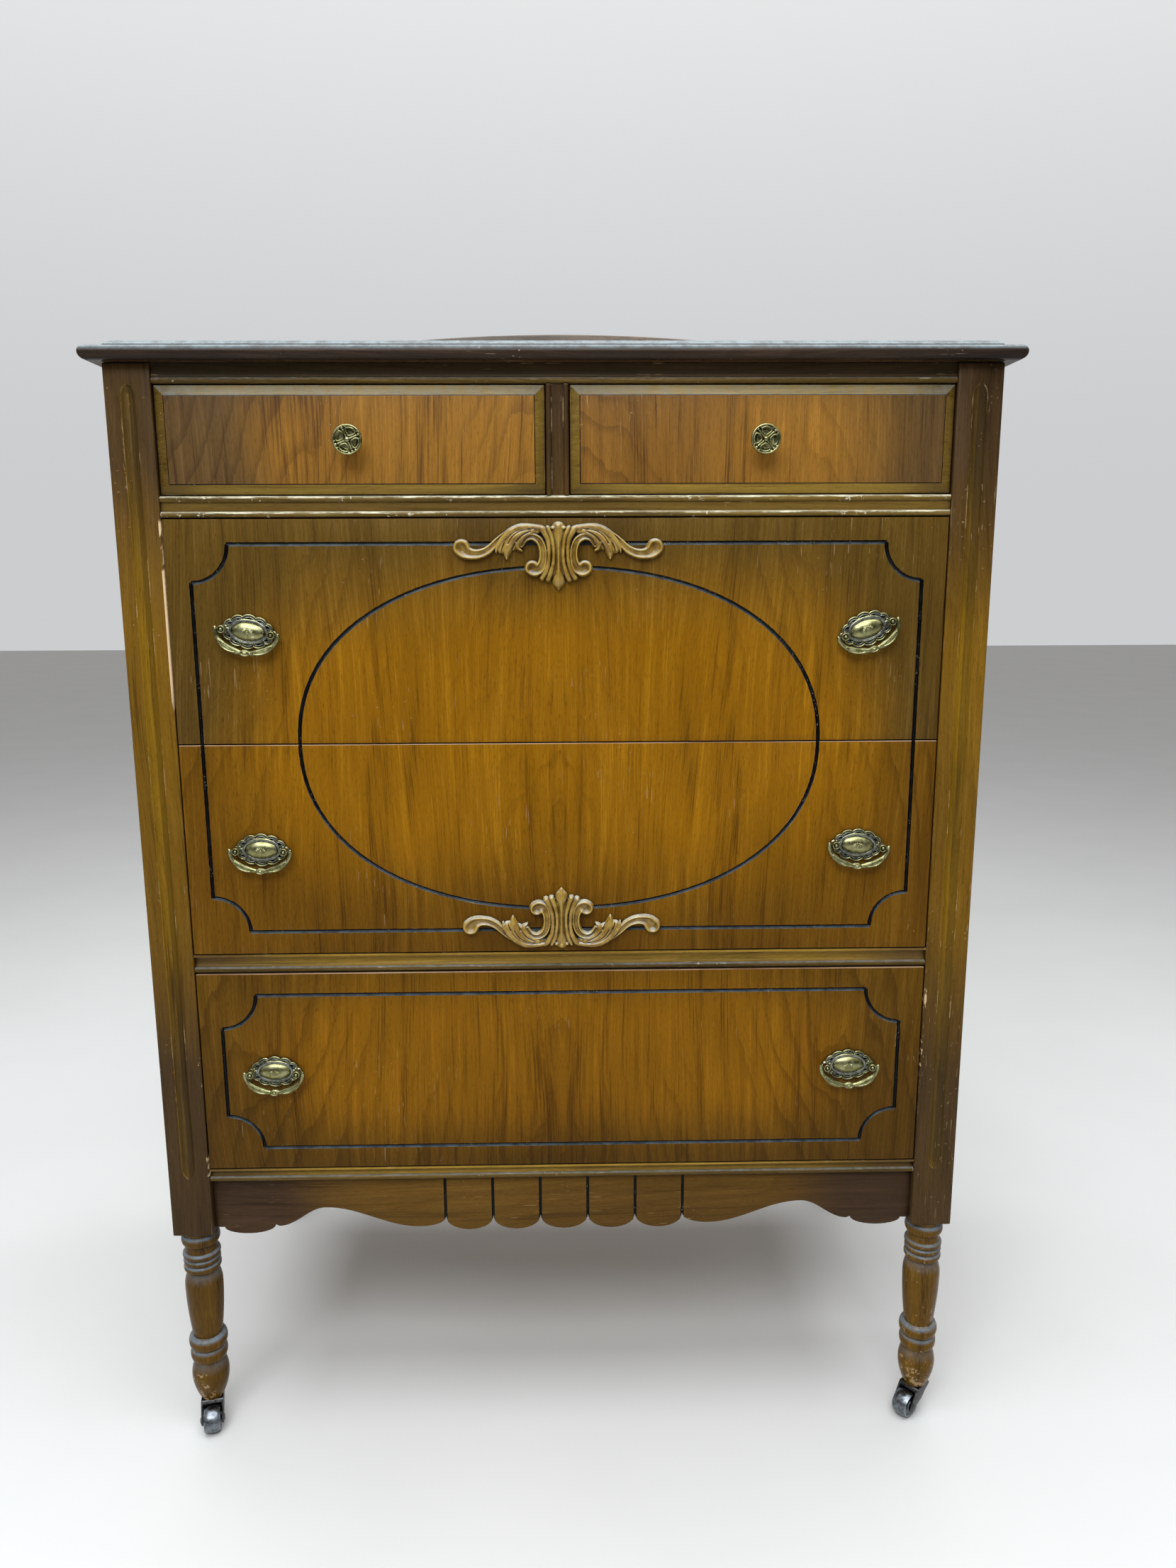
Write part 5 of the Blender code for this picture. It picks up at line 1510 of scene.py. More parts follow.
@dataclass
class Posts(Assembly):
    """Four square posts on turned legs, the front two fluted."""

    side: float = 0.048
    square_bottom: float = 0.268
    edge_round: float = 0.0016
    groove_radius: float = 0.0178
    vase_end: float = 0.0172
    bulb_end: float = 0.0136
    vase_widest: float = 0.22
    bulb_widest: float = 0.38
    tenon: float = 0.006
    bead_steps: int = 9
    swell_steps: int = 18
    around: int = 48
    flute_width: float = 0.015
    flute_depth: float = 0.0045
    flute_top: float = 1.235
    flute_bottom: float = 0.340
    flute_lit: float = -0.10
    flute_steps: int = 10
    flute_stretch: float = 2.0
    members: tuple[tuple[Member, float, float], ...] = (
        (Member.BEAD, 0.007, 0.0208), (Member.BEAD, 0.014, 0.0226), (Member.NECK, 0.009, 0.0192),
        (Member.BEAD, 0.008, 0.0222), (Member.BEAD, 0.008, 0.0218), (Member.BEAD, 0.010, 0.0220),
        (Member.VASE, 0.088, 0.0222), (Member.BEAD, 0.017, 0.0229), (Member.BEAD, 0.017, 0.0220),
        (Member.BULB, 0.053, 0.0221)
    )

    def build(self) -> None:
        """Models each post and seats it."""
        for row in ("front", "rear"):
            for hand in ("left", "right"):
                node = f"{row}_{hand}_post"
                low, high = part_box(node)
                x, y = (low.x + high.x) / 2, (low.y + high.y) / 2
                half = self.side / 2
                post = block(
                    f"{node}_shaped", (x - half, y - half, self.square_bottom), (x + half, y + half, high.z)
                )
                rounded(post, self.edge_round, 3)
                leg = turned(f"{node}_leg", self.leg_profile(low.z), self.around, at(x, y, 0.0))
                wear(post, self.paint.post if row == "front" else self.paint.rear_post)
                wear(leg, self.paint.leg)
                cut(post, leg, "UNION")
                if row == "front":
                    # one wall of each flute takes the lighter copy and the other the darker one: painted
                    # light and painted shade
                    flute = wear(self.flute(x, y - half), self.paint.flute, self.paint.flute_shade)
                    dress_faces(flute, 1, lambda face: face.normal.x > self.flute_lit)
                    cut(post, flute)
                smooth_shaded(post, 32.0)
                set_in(post, "case", Slot.DARK.value, node)

    def leg_profile(self, end: float) -> list[Flat]:
        """The turned leg from its tenon down.

        Args:
            end: Height of its lower end.

        Returns:
            The (radius, height) points.
        """
        height = self.square_bottom
        points = [(0.0, height + self.tenon), (self.groove_radius, height + self.tenon)]
        points.append((self.groove_radius, height))
        for shape, length, widest in self.members:
            points += [(r, height - length * share) for share, r in self.member(shape, widest)]
            height -= length
        return [*points, (0.0, end)]

    def member(self, shape: Member, widest: float) -> list[Flat]:
        """One member of the turning.

        Args:
            shape: Which shape it has.
            widest: Its widest radius.

        Returns:
            Its (share of its length, radius) points, without its start.
        """
        if shape is Member.NECK:
            return [(0.5, widest - 0.0006), (1.0, widest)]
        ground = self.groove_radius
        if shape is Member.BEAD:
            turns = [math.pi * k / self.bead_steps for k in range(1, self.bead_steps + 1)]
            return [((1 - math.cos(t)) / 2, ground + (widest - ground) * math.sin(t) ** 0.8) for t in turns]
        end = self.vase_end if shape is Member.VASE else self.bulb_end
        top = self.vase_widest if shape is Member.VASE else self.bulb_widest
        points = []
        for k in range(1, self.swell_steps + 1):
            share = k / self.swell_steps
            if share <= top:
                rise = math.sin(math.pi / 2 * share / top)
                points.append((share, ground + (widest - ground) * rise))
            else:
                fall = (share - top) / (1 - top)
                points.append((share, end + (widest - end) * math.cos(math.pi / 2 * fall) ** 0.9))
        return points

    def flute(self, x: float, face: float) -> Obj:
        """A long cigar that opens a stopped flute.

        Args:
            x: Middle of the post.
            face: Its front face.

        Returns:
            The cutter.
        """
        half = self.flute_width / 2
        radius = (half**2 + self.flute_depth**2) / (2 * self.flute_depth)
        profile = []
        for k in range(self.flute_steps + 1):
            turn = math.pi / 2 * k / self.flute_steps
            drop = radius * self.flute_stretch * (1 - math.cos(turn))
            profile.append((radius * math.sin(turn), drop))
        down = [(r, self.flute_top - drop) for r, drop in profile]
        up = [(r, self.flute_bottom + drop) for r, drop in reversed(profile)]
        place = at(x, face - (radius - self.flute_depth), 0.0) @ Matrix.Rotation(0.05, 4, "Z")
        return turned("flute", down + up, self.around, place)


class RailStyle(Enum):
    """How the front of a rail is moulded."""

    ONE_BEAD = "one bead"
    TWO_BEADS = "two beads"
    COVE = "cove"


@dataclass
class Rails(Assembly):
    """The moulded rails of the front and the beaded divider."""

    bead: float = 0.0065
    field_depth: float = 0.0032
    fillet: float = 0.0025
    divider_bead: float = 0.0056
    # rails whose beads take the darker copy of the bead finish, as painted shade
    in_shade: tuple[str, ...] = ("top_front_rail", "lower_front_rail", "bottom_front_rail")
    styles: tuple[tuple[str, RailStyle], ...] = (
        ("top_front_rail", RailStyle.ONE_BEAD), ("upper_front_rail", RailStyle.TWO_BEADS),
        ("lower_front_rail", RailStyle.COVE), ("bottom_front_rail", RailStyle.COVE)
    )

    def build(self) -> None:
        """Models the rails and the divider and seats them."""
        for node, style in self.styles:
            low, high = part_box(node)
            front = self.front(high.z - low.z, style)
            depth = high.y - low.y
            section = [*front, (depth, high.z - low.z), (depth, 0.0)]
            points = [(low.x, low.y + y, low.z + z) for y, z in section]
            rail = plate_of(f"{node}_shaped", points, (high.x - low.x, 0.0, 0.0))
            ground = {
                RailStyle.ONE_BEAD: self.paint.shaded, RailStyle.TWO_BEADS: self.paint.rail,
                RailStyle.COVE: self.paint.cove
            }[style]
            wear(
                rail, self.paint.across, self.paint.shaded_bead if node in self.in_shade else self.paint.bead,
                ground
            )
            edge = low.y + self.field_depth * 1.02
            dress_faces(rail, 2, lambda f: f.center.y < low.y + 0.02 and abs(f.normal.x) < 0.5)
            dress_faces(
                rail, 1, lambda f: f.center.y < edge and abs(f.normal.x) < 0.5
                and self.on_bead(f.center.z - low.z, high.z - low.z, style)
            )
            smooth_shaded(rail, 32.0)
            set_in(rail, "case", Slot.DARK.value, node)
        self.build_divider()

    def on_bead(self, height: float, whole: float, style: RailStyle) -> bool:
        """Whether a height above a rail's lower edge belongs to a bead."""
        return height < self.bead or (style is RailStyle.TWO_BEADS and height > whole - self.bead)

    def front(self, height: float, style: RailStyle) -> list[Flat]:
        """The moulded front of a rail.

        Args:
            height: The rail's height.
            style: Its moulding.

        Returns:
            Its (depth, height) points from the lower edge up.
        """
        ground = self.field_depth
        low_bead = bead_arc(0.0, self.bead, ground, ground)
        if style is RailStyle.TWO_BEADS:
            return low_bead + bead_arc(height - self.bead, height, ground, ground)
        if style is RailStyle.ONE_BEAD:
            step, half = self.bead + self.fillet, ground / 2
            return [*low_bead, (half, self.bead), (half, step), (ground, step), (ground, height)]
        cove_top = height - self.fillet
        cove = bead_arc(self.bead, cove_top, ground, -ground)
        return [*low_bead, *cove[1:], (0.0, cove_top), (0.0, height)]

    def build_divider(self) -> None:
        """Models the upright between the small drawers and seats it."""
        low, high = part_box("drawer_divider")
        ground = self.field_depth
        left = bead_arc(low.x, low.x + self.divider_bead, ground, ground)
        right = bead_arc(high.x - self.divider_bead, high.x, ground, ground)
        depth = high.y - low.y
        section = [(x, y) for y, x in left + right] + [(high.x, depth), (low.x, depth)]
        points = [(x, low.y + y, low.z) for x, y in section]
        divider = plate_of("drawer_divider_shaped", points, (0.0, 0.0, high.z - low.z))
        smooth_shaded(wear(divider, self.paint.post), 32.0)
        set_in(divider, "case", Slot.DARK.value, "drawer_divider")


@dataclass
class Apron(Assembly):
    """The shaped apron with five half-round tabs and its incised lines."""

    thick: float = 0.016
    tabs: int = 5
    tab_width: float = 0.0568
    tab_drop: float = 0.0712
    cusp_drop: float = 0.0546
    valley: Flat = (0.031, 0.0664)
    peak: Flat = (0.143, 0.0395)
    foot: Flat = (0.199, 0.0630)
    lobe_step: Flat = (0.0045, 0.0020)
    lobe_width: float = 0.061
    lobe_drop: float = 0.0732
    end_drop: float = 0.0633
    line_width: float = 0.0036
    line_depth: float = 0.0022
    line_over: float = 0.004
    edge_round: float = 0.0012
    steps: int = 14

    def build(self) -> None:
        """Models the apron and seats it."""
        low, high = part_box("front_apron")
        points = [(x, low.y, high.z + z) for x, z in self.outline(high.x)]
        apron = plate_of("front_apron_shaped", points, (0.0, self.thick, 0.0))
        rounded(apron, self.edge_round, 2, 40.0)
        wear(apron, self.paint.apron)
        edge = self.tabs * self.tab_width / 2
        for k in range(self.tabs + 1):
            x = -edge + k * self.tab_width
            half = self.line_width / 2
            line = block(
                f"apron_line_{k + 1}", (x - half, low.y - self.line_over, high.z - self.tab_drop),
                (x + half, low.y + self.line_depth, high.z + self.line_over)
            )
            cut(apron, wear(line, self.paint.line))
        smooth_shaded(apron, 30.0)
        set_in(apron, "case", Slot.DARK.value, "front_apron")

    def outline(self, end: float) -> list[Flat]:
        """The apron's outline, with drops measured down from its upper edge.

        Args:
            end: Half its width.

        Returns:
            The (x, drop) points.
        """
        edge = self.tabs * self.tab_width / 2
        right: list[Flat] = [(edge, -self.cusp_drop)]
        right += half_oval(
            right[-1], (edge + 2 * self.valley[0], -self.cusp_drop), self.valley[1] - self.cusp_drop,
            2 * self.steps
        )[: self.steps]
        right += swing(right[-1], (edge + self.peak[0], -self.peak[1]), self.steps)
        foot = (edge + self.foot[0], -self.foot[1])
        right += swing(right[-1], foot, self.steps)
        lobe_start = (foot[0] + self.lobe_step[0], foot[1] + self.lobe_step[1])
        lobe_end = (lobe_start[0] + self.lobe_width, -self.end_drop)
        right.append(lobe_start)
        right += half_oval(lobe_start, lobe_end, self.lobe_drop - self.end_drop, self.steps)
        right.append((end, -self.end_drop))
        tabs: list[Flat] = []
        for k in range(self.tabs):
            start = (-edge + k * self.tab_width, -self.cusp_drop)
            stop = (start[0] + self.tab_width, -self.cusp_drop)
            tabs += half_oval(start, stop, self.tab_drop - self.cusp_drop, self.steps)[:-1]
            if k < self.tabs - 1:
                tabs.append(stop)
        left = [(-x, z) for x, z in reversed(right)]
        return [(-end, 0.0), *left, *tabs, *right, (end, 0.0)]


@dataclass
class PlainBoards(Assembly):
    """The flat boards of the case and the drawer boxes, whose solids stay as they are."""

    nodes: dict[str, Obj]
    edge_round: float = 0.0008
    weld: float = 0.00002

    def build(self) -> None:
        """Gives each plain board its finish and softly rounded edges."""
        finishes = {
            "left_side_panel": self.paint.deep, "right_side_panel": self.paint.deep,
            "back_panel": self.paint.back, "center_drawer_guide": self.paint.pale_deep
        }
        for level in ("upper", "middle", "lower", "bottom"):
            finishes[f"{level}_dustboard"] = self.paint.pale_across
        for drawer in DRAWERS:
            finishes[f"{drawer}_box"] = self.paint.pale_deep
            finishes[f"{drawer}_bottom"] = self.paint.pale_across
        for name, finish in finishes.items():
            board = self.nodes[name]
            for slot in board.material_slots:
                slot.material = finish
            weld = board.modifiers.new("weld", "WELD")
            weld.merge_threshold = self.weld
            soft = board.modifiers.new("soft_edges", "BEVEL")
            soft.width = self.edge_round
            soft.segments = 2
            soft.limit_method = "ANGLE"
            LOG.info("%s keeps its solid", name)


# Drawers

DRAWERS = ("top_left_drawer", "top_right_drawer", "upper_long_drawer", "lower_long_drawer", "bottom_drawer")


@dataclass
class LongFronts(Assembly):
    """The three long fronts with their incised frame lines and the shared oval."""

    seam: float = 0.8584
    frame_half: float = 0.3898
    pair_frame: Flat = (0.6448, 1.0720)
    bottom_frame: Flat = (0.3806, 0.5690)
    notch: float = 0.040
    oval: Flat = (0.2838, 0.1888)
    oval_power: float = 2.2
    line_radius: float = 0.0022
    line_lift: float = 0.0002
    line_step: float = 0.0045
    unsteady: float = 0.09
    run_over: float = 0.0006
    notch_steps: int = 14
    oval_steps: int = 160
    edge_round: float = 0.0009

    def build(self) -> None:
        """Models the long fronts and seats them."""
        for drawer in ("upper_long_drawer", "lower_long_drawer", "bottom_drawer"):
            node = f"{drawer}_front"
            low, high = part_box(node)
            front = block(f"{node}_shaped", low, high)
            rounded(front, self.edge_round, 2)
            wear(front, self.paint.long[drawer], self.paint.raw, self.paint.rubbed)
            dress_faces(front, 1, lambda f: f.normal.y > -0.3)
            if drawer != "upper_long_drawer":
                rim = high.z - 1.1 * self.edge_round
                dress_faces(front, 2, lambda f: f.center.z > rim and -0.98 < f.normal.y < -0.1)
            for cutter in self.lines(low.y, drawer != "bottom_drawer"):
                cut(front, wear(cutter, self.paint.line))
            smooth_shaded(front, 40.0)
            set_in(front, drawer, Slot.VENEER.value, node)

    def lines(self, face: float, pair: bool) -> list[Obj]:
        """The bars that cut the incised lines of one front.

        Args:
            face: Depth of the drawer's face.
            pair: Whether the front is one of the two that share the oval.

        Returns:
            The cutters.
        """
        low, high = self.pair_frame if pair else self.bottom_frame
        half, notch, over = self.frame_half, self.notch, self.run_over
        runs = [
            [(-half + notch - over, high), (half - notch + over, high)],
            [(-half + notch - over, low), (half - notch + over, low)],
            [(-half, low + notch - over), (-half, high - notch + over)],
            [(half, low + notch - over), (half, high - notch + over)]
        ]
        for x, z, quarter in ((half, high, 180), (-half, high, 270), (-half, low, 0), (half, low, 90)):
            turns = [math.radians(quarter + 90 * k / self.notch_steps) for k in range(self.notch_steps + 1)]
            runs.append([(x + notch * math.cos(t), z + notch * math.sin(t)) for t in turns])
        cutters = [self.bar(f"frame_line_{k + 1}", run, face) for k, run in enumerate(runs)]
        if pair:
            cutters.append(self.bar("oval_line", self.oval_points(), face, True))
        return cutters

    def oval_points(self) -> list[Flat]:
        """The oval's (x, z) points."""
        points = []
        for k in range(self.oval_steps):
            turn = math.tau * (k + 0.5) / self.oval_steps
            c, s = math.cos(turn), math.sin(turn)
            x = self.oval[0] * math.copysign(abs(c) ** (2 / self.oval_power), c)
            points.append((x, self.seam + self.oval[1] * math.copysign(abs(s) ** (2 / self.oval_power), s)))
        return points

    def bar(self, name: str, run: Sequence[Flat], face: float, ring: bool = False) -> Obj:
        """A round bar along a line on a drawer's face.

        Args:
            name: Its name.
            run: The (x, z) points.
            face: Depth of the face.
            ring: Whether the line closes on itself.

        Returns:
            The bar.
        """
        points: list[Point] = []
        stops = [*run, run[0]] if ring else list(run)
        for (x0, z0), (x1, z1) in zip(stops[:-1], stops[1:]):
            count = max(1, round(math.hypot(x1 - x0, z1 - z0) / self.line_step))
            for k in range(count):
                share = k / count
                points.append((x0 + (x1 - x0) * share, face - self.line_lift, z0 + (z1 - z0) * share))
        if not ring:
            points.append((run[-1][0], face - self.line_lift, run[-1][1]))
        radii = [
            self.line_radius * (1 + self.unsteady * math.sin(2.3 * k) * math.sin(0.71 * k + 1.0))
            for k in range(len(points))
        ]
        return swept(name, points, radii, ring, 2)


@dataclass
class SmallFronts(Assembly):
    """The two small fronts, each a raised panel inside a sloping border."""

    border: float = 0.0100
    fall: float = 0.0030
    lip: float = 0.0008
    edge_round: float = 0.0007

    def build(self) -> None:
        """Models the small fronts and seats them."""
        for hand in ("left", "right"):
            drawer = f"top_{hand}_drawer"
            node = f"{drawer}_front"
            low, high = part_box(node)
            drop = self.fall + self.lip
            front = block(f"{node}_shaped", (low.x, low.y + drop, low.z), high)
            with edit_mode(front):
                pick(front, "faces", lambda f: f.normal.y < -0.9)
                bpy.ops.mesh.inset(thickness=self.border, depth=self.fall)
                bpy.ops.mesh.inset(thickness=self.lip, depth=self.lip)
            rounded(front, self.edge_round, 2, 12.0)
            wear(front, self.paint.small[hand], self.paint.border[hand], self.paint.raw, self.paint.line)
            panel = low.y + self.lip
            dress_faces(front, 1, lambda f: f.center.y > panel)
            dress_faces(front, 3, lambda f: low.y + 0.15 * self.lip < f.center.y < panel)
            dress_faces(front, 2, lambda f: f.normal.y > -0.25)
            smooth_shaded(front, 30.0)
            set_in(front, drawer, Slot.VENEER.value, node)


# Carving


class Section(Enum):
    """The cross-section of a carved stroke."""

    ROUND = "round"
    HOLLOW = "hollow"
    RIDGE = "ridge"


class Stroke:
    """One carved member: rows of x, z, half width and height, in millimetres."""

    def __init__(self, section: Section, *rows: tuple[float, float, float, float]) -> None:
        """Keeps its cross-section and its rows."""
        self.section, self.rows = section, rows


@dataclass
class Carvings(Assembly):
    """The carved ornaments at the top and foot of the oval."""

    half_width: float = 0.1145
    half_height: float = 0.0385
    grid: float = 0.00052
    wall: float = 3.0
    ground: float = 1.4
    unit: float = 0.001
    widen: float = 1.02
    line_steps: int = 7
    places: tuple[tuple[str, str, int, float], ...] = (
        ("upper_carving", "upper_long_drawer", 1, 1.0580),
        ("lower_carving", "lower_long_drawer", -1, 0.6588)
    )
    # the ground that closes the ornament behind its members
    backing: tuple[Stroke, ...] = (
        Stroke(
            Section.ROUND, (0, 19, 11, 5.8), (0, 10, 11.5, 6.2), (0, -2, 11.5, 6.2), (0, -13, 11.5, 5.6)
        ),
        Stroke(
            Section.ROUND, (-22, 27, 4.5, 6.0), (-34, 25, 7, 6.8), (-45, 19.5, 10, 6.8), (-54, 13, 9, 6.4),
            (-59, 9, 5.5, 5.8)
        )
    )
    # the long arm that opens into a cup
    arm: tuple[Stroke, ...] = (
        Stroke(
            Section.HOLLOW, (-50.6, 27.0, 2.2, 6.0), (-61.7, 17.6, 3.4, 6.4), (-72.0, 7.8, 4.2, 6.8),
            (-81.0, 3.4, 4.8, 7.0), (-89.6, 2.8, 5.5, 7.2), (-96.4, 5.0, 7.2, 7.4), (-100.6, 9.6, 9.0, 7.6)
        ),
    )
    # the back of the leaf and its fingers
    leaf: tuple[Stroke, ...] = (
        Stroke(
            Section.ROUND, (-20.0, 30.0, 3.0, 7.8), (-31.4, 31.0, 3.6, 8.6), (-41.0, 30.0, 4.0, 8.8),
            (-50.6, 25.0, 4.2, 8.4), (-58.5, 17.5, 3.6, 7.6), (-63.5, 10.5, 2.6, 6.8),
            (-64.8, 4.6, 0.8, 5.6)
        ),
        Stroke(
            Section.ROUND, (-33.0, 27.0, 4.6, 8.6), (-44.0, 21.5, 5.8, 8.8), (-51.5, 12.5, 6.0, 8.2),
            (-53.6, 4.0, 3.6, 7.2), (-53.9, -2.4, 0.7, 5.8)
        ),
        Stroke(
            Section.ROUND, (-26.0, 26.5, 3.8, 8.2), (-36.0, 22.0, 4.6, 8.2), (-42.0, 15.5, 4.4, 7.6),
            (-41.5, 9.5, 2.6, 6.8), (-38.0, 6.4, 0.8, 6.0)
        )
    )
    # the scroll that turns outwards and opens into a cup
    scroll: tuple[Stroke, ...] = (
        Stroke(
            Section.HOLLOW, (-38.2, 11.6, 1.9, 6.8), (-33.6, 18.6, 2.8, 7.8), (-26.4, 20.6, 3.6, 8.4),
            (-19.4, 16.2, 4.0, 8.8), (-16.0, 7.0, 4.2, 9.0), (-16.2, -4.0, 4.5, 9.0),
            (-19.4, -11.8, 5.8, 8.8), (-24.4, -13.6, 7.2, 8.6), (-27.4, -11.8, 7.9, 8.4)
        ),
    )
    # the two ribs on each side, the stem and its crown
    ribs: tuple[Stroke, ...] = (
        Stroke(
            Section.ROUND, (-19.5, 31.0, 2.0, 7.4), (-16.2, 28.0, 3.7, 8.0), (-13.1, 22.7, 3.7, 8.4),
            (-10.6, 16.0, 3.4, 8.7), (-9.7, 5.0, 3.1, 8.8), (-10.5, -6.4, 3.2, 8.7),
            (-13.6, -16.0, 3.7, 8.4), (-17.0, -21.8, 3.3, 7.8)
        ),
        Stroke(
            Section.ROUND, (-11.0, 30.2, 2.2, 7.8), (-9.2, 26.5, 3.2, 8.2), (-6.6, 19.0, 3.0, 8.5),
            (-5.0, 6.0, 2.8, 8.7), (-5.4, -6.0, 2.9, 8.7), (-7.9, -16.0, 3.5, 8.4), (-10.9, -23.2, 3.3, 7.8)
        ),
        Stroke(
            Section.RIDGE, (0.0, 30.0, 6.4, 8.2), (0.0, 26.5, 7.6, 8.8), (0.0, 18.0, 5.2, 9.0),
            (0.0, 5.0, 3.1, 9.2), (0.0, -10.0, 3.6, 9.2), (0.0, -19.0, 5.2, 9.2), (0.0, -24.0, 7.0, 9.0),
            (0.0, -30.0, 3.4, 7.4), (0.0, -34.2, 0.8, 5.2)
        ),
        Stroke(Section.ROUND, (0.0, 30.6, 3.9, 9.4), (0.0, 31.2, 3.8, 9.4)),
        Stroke(Section.ROUND, (-6.0, 29.6, 2.3, 8.6), (-5.4, 29.4, 2.3, 8.6))
    )
    veins: tuple[tuple[float, tuple[Flat, ...]], ...] = (
        (1.1, ((-30, 28.4), (-40, 25.8), (-47.5, 20.5), (-52.0, 13.5))),
        (1.1, ((-29, 26.0), (-37.5, 21.8), (-43.5, 15.5))),
        (0.9, ((-45.5, 13.5), (-47.6, 8.0), (-48.0, 3.0))),
        (0.9, ((-56.0, 14.0), (-58.4, 8.5), (-59.0, 4.0)))
    )
    vein_depth: float = 1.8

    def build(self) -> None:
        """Models both carvings and seats them."""
        for node, body, up, middle in self.places:
            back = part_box(node)[1].y
            carving = self.relief(f"{node}_shaped", up, middle, back)
            smooth_shaded(wear(carving, self.paint.gilt), 70.0)
            set_in(carving, body, Slot.GILT.value, node)

    def relief(self, name: str, up: int, middle: float, back: float) -> Obj:
        """A grid raised into the ornament and cut flat at its back.

        Args:
            name: Its name.
            up: 1, or -1 for the one that stands on its head.
            middle: Height of its middle.
            back: Depth of its flat back.

        Returns:
            The carving.
        """
        bpy.ops.mesh.primitive_grid_add(
            x_subdivisions=round(2 * self.half_width / self.grid),
            y_subdivisions=round(2 * self.half_height / self.grid), size=2.0, location=(0.0, back, middle),
            rotation=(math.pi / 2, 0.0, 0.0)
        )
        bpy.context.object.scale = (self.half_width, self.half_height, 1.0)
        carving = settle_place(bpy.context.object, name)
        count = len(carving.data.vertices)
        spots = np.empty(count * 3)
        carving.data.vertices.foreach_get("co", spots)
        spots = spots.reshape(-1, 3)
        height = self.height(
            -np.abs(spots[:, 0]) / (self.unit * self.widen), up * (spots[:, 2] - middle) / self.unit
        )
        spots[:, 1] = back - height * self.unit
        carving.data.vertices.foreach_set("co", spots.reshape(-1))
        modify(carving, "SMOOTH", factor=0.4, iterations=1)
        with edit_mode(carving):
            bpy.ops.mesh.select_all(action="SELECT")
            bpy.ops.mesh.bisect(plane_co=(0.0, back, 0.0), plane_no=(0.0, -1.0, 0.0), clear_inner=True)
            bpy.ops.mesh.select_all(action="DESELECT")
            bpy.ops.mesh.select_mode(type="EDGE")
            pick(carving, "edges", lambda e: e.is_boundary)
            bpy.ops.mesh.fill(use_beauty=False)
            tidy_faces()
        return carving

    def height(self, x: np.ndarray, z: np.ndarray) -> np.ndarray:
        """Height of the ornament over its ground.

        Args:
            x: Places across, all on the left half.
            z: Places upwards.

        Returns:
            The heights, below zero where there is no ornament.
        """
        top = np.full(x.shape, -self.ground)
        for stroke in (*self.backing, *self.arm, *self.leaf, *self.scroll, *self.ribs):
            top = np.maximum(top, self.stroke_height(stroke, x, z))
        for width, points in self.veins:
            line = flowing(points, self.line_steps)
            near = np.full(x.shape, np.inf)
            for (x0, z0), (x1, z1) in zip(line[:-1], line[1:]):
                near = np.minimum(near, self.distance(x, z, (x0, z0), (x1, z1))[0])
            top = top - self.vein_depth * np.exp(-((near / (0.6 * width)) ** 2))
        return top

    def distance(
        self, x: np.ndarray, z: np.ndarray, start: Flat, end: Flat
    ) -> tuple[np.ndarray, np.ndarray]:
        """Distance from a stretch of a line.

        Args:
            x: Places across.
            z: Places upwards.
            start: The stretch's start.
            end: Its end.

        Returns:
            The distances, and the share along the stretch of each nearest place.
        """
        dx, dz = end[0] - start[0], end[1] - start[1]
        along = ((x - start[0]) * dx + (z - start[1]) * dz) / max(dx * dx + dz * dz, MERGE)
        along = np.clip(along, 0.0, 1.0)
        return np.hypot(x - start[0] - along * dx, z - start[1] - along * dz), along

    def stroke_height(self, stroke: Stroke, x: np.ndarray, z: np.ndarray) -> np.ndarray:
        """Height of one stroke.

        Args:
            stroke: The stroke.
            x: Places across.
            z: Places upwards.

        Returns:
            The heights, below zero beside the stroke.
        """
        line = flowing(stroke.rows, self.line_steps)
        side = np.full(x.shape, np.inf)
        beside = np.zeros(x.shape)
        tall = np.zeros(x.shape)
        wide = np.zeros(x.shape)
        for a, b in zip(line[:-1], line[1:]):
            far, along = self.distance(x, z, (a[0], a[1]), (b[0], b[1]))
            half = np.maximum(a[2] + along * (b[2] - a[2]), 0.2)
            share = far / half
            near = share < side
            side = np.where(near, share, side)
            beside = np.where(near, far - half, beside)
            tall = np.where(near, a[3] + along * (b[3] - a[3]), tall)
            wide = np.where(near, half, wide)
        inside = np.clip(side, 0.0, 1.0)
        if stroke.section is Section.HOLLOW:
            floor = np.clip(0.62 - 0.11 * (wide - 4.6), 0.22, 0.62)
            wall = np.clip((inside - 0.22) / 0.56, 0.0, 1.0)
            form = (floor + (1 - floor) * wall**2 * (3 - 2 * wall)) * np.sqrt(1 - inside**7)
        elif stroke.section is Section.RIDGE:
            form = (0.55 + 0.45 * (1 - inside)) * np.sqrt(1 - inside**6)
        else:
            form = np.sqrt(1 - inside**2.4)
        return np.where(side < 1, tall * form, np.maximum(-self.wall * beside, -self.ground))


# Hardware


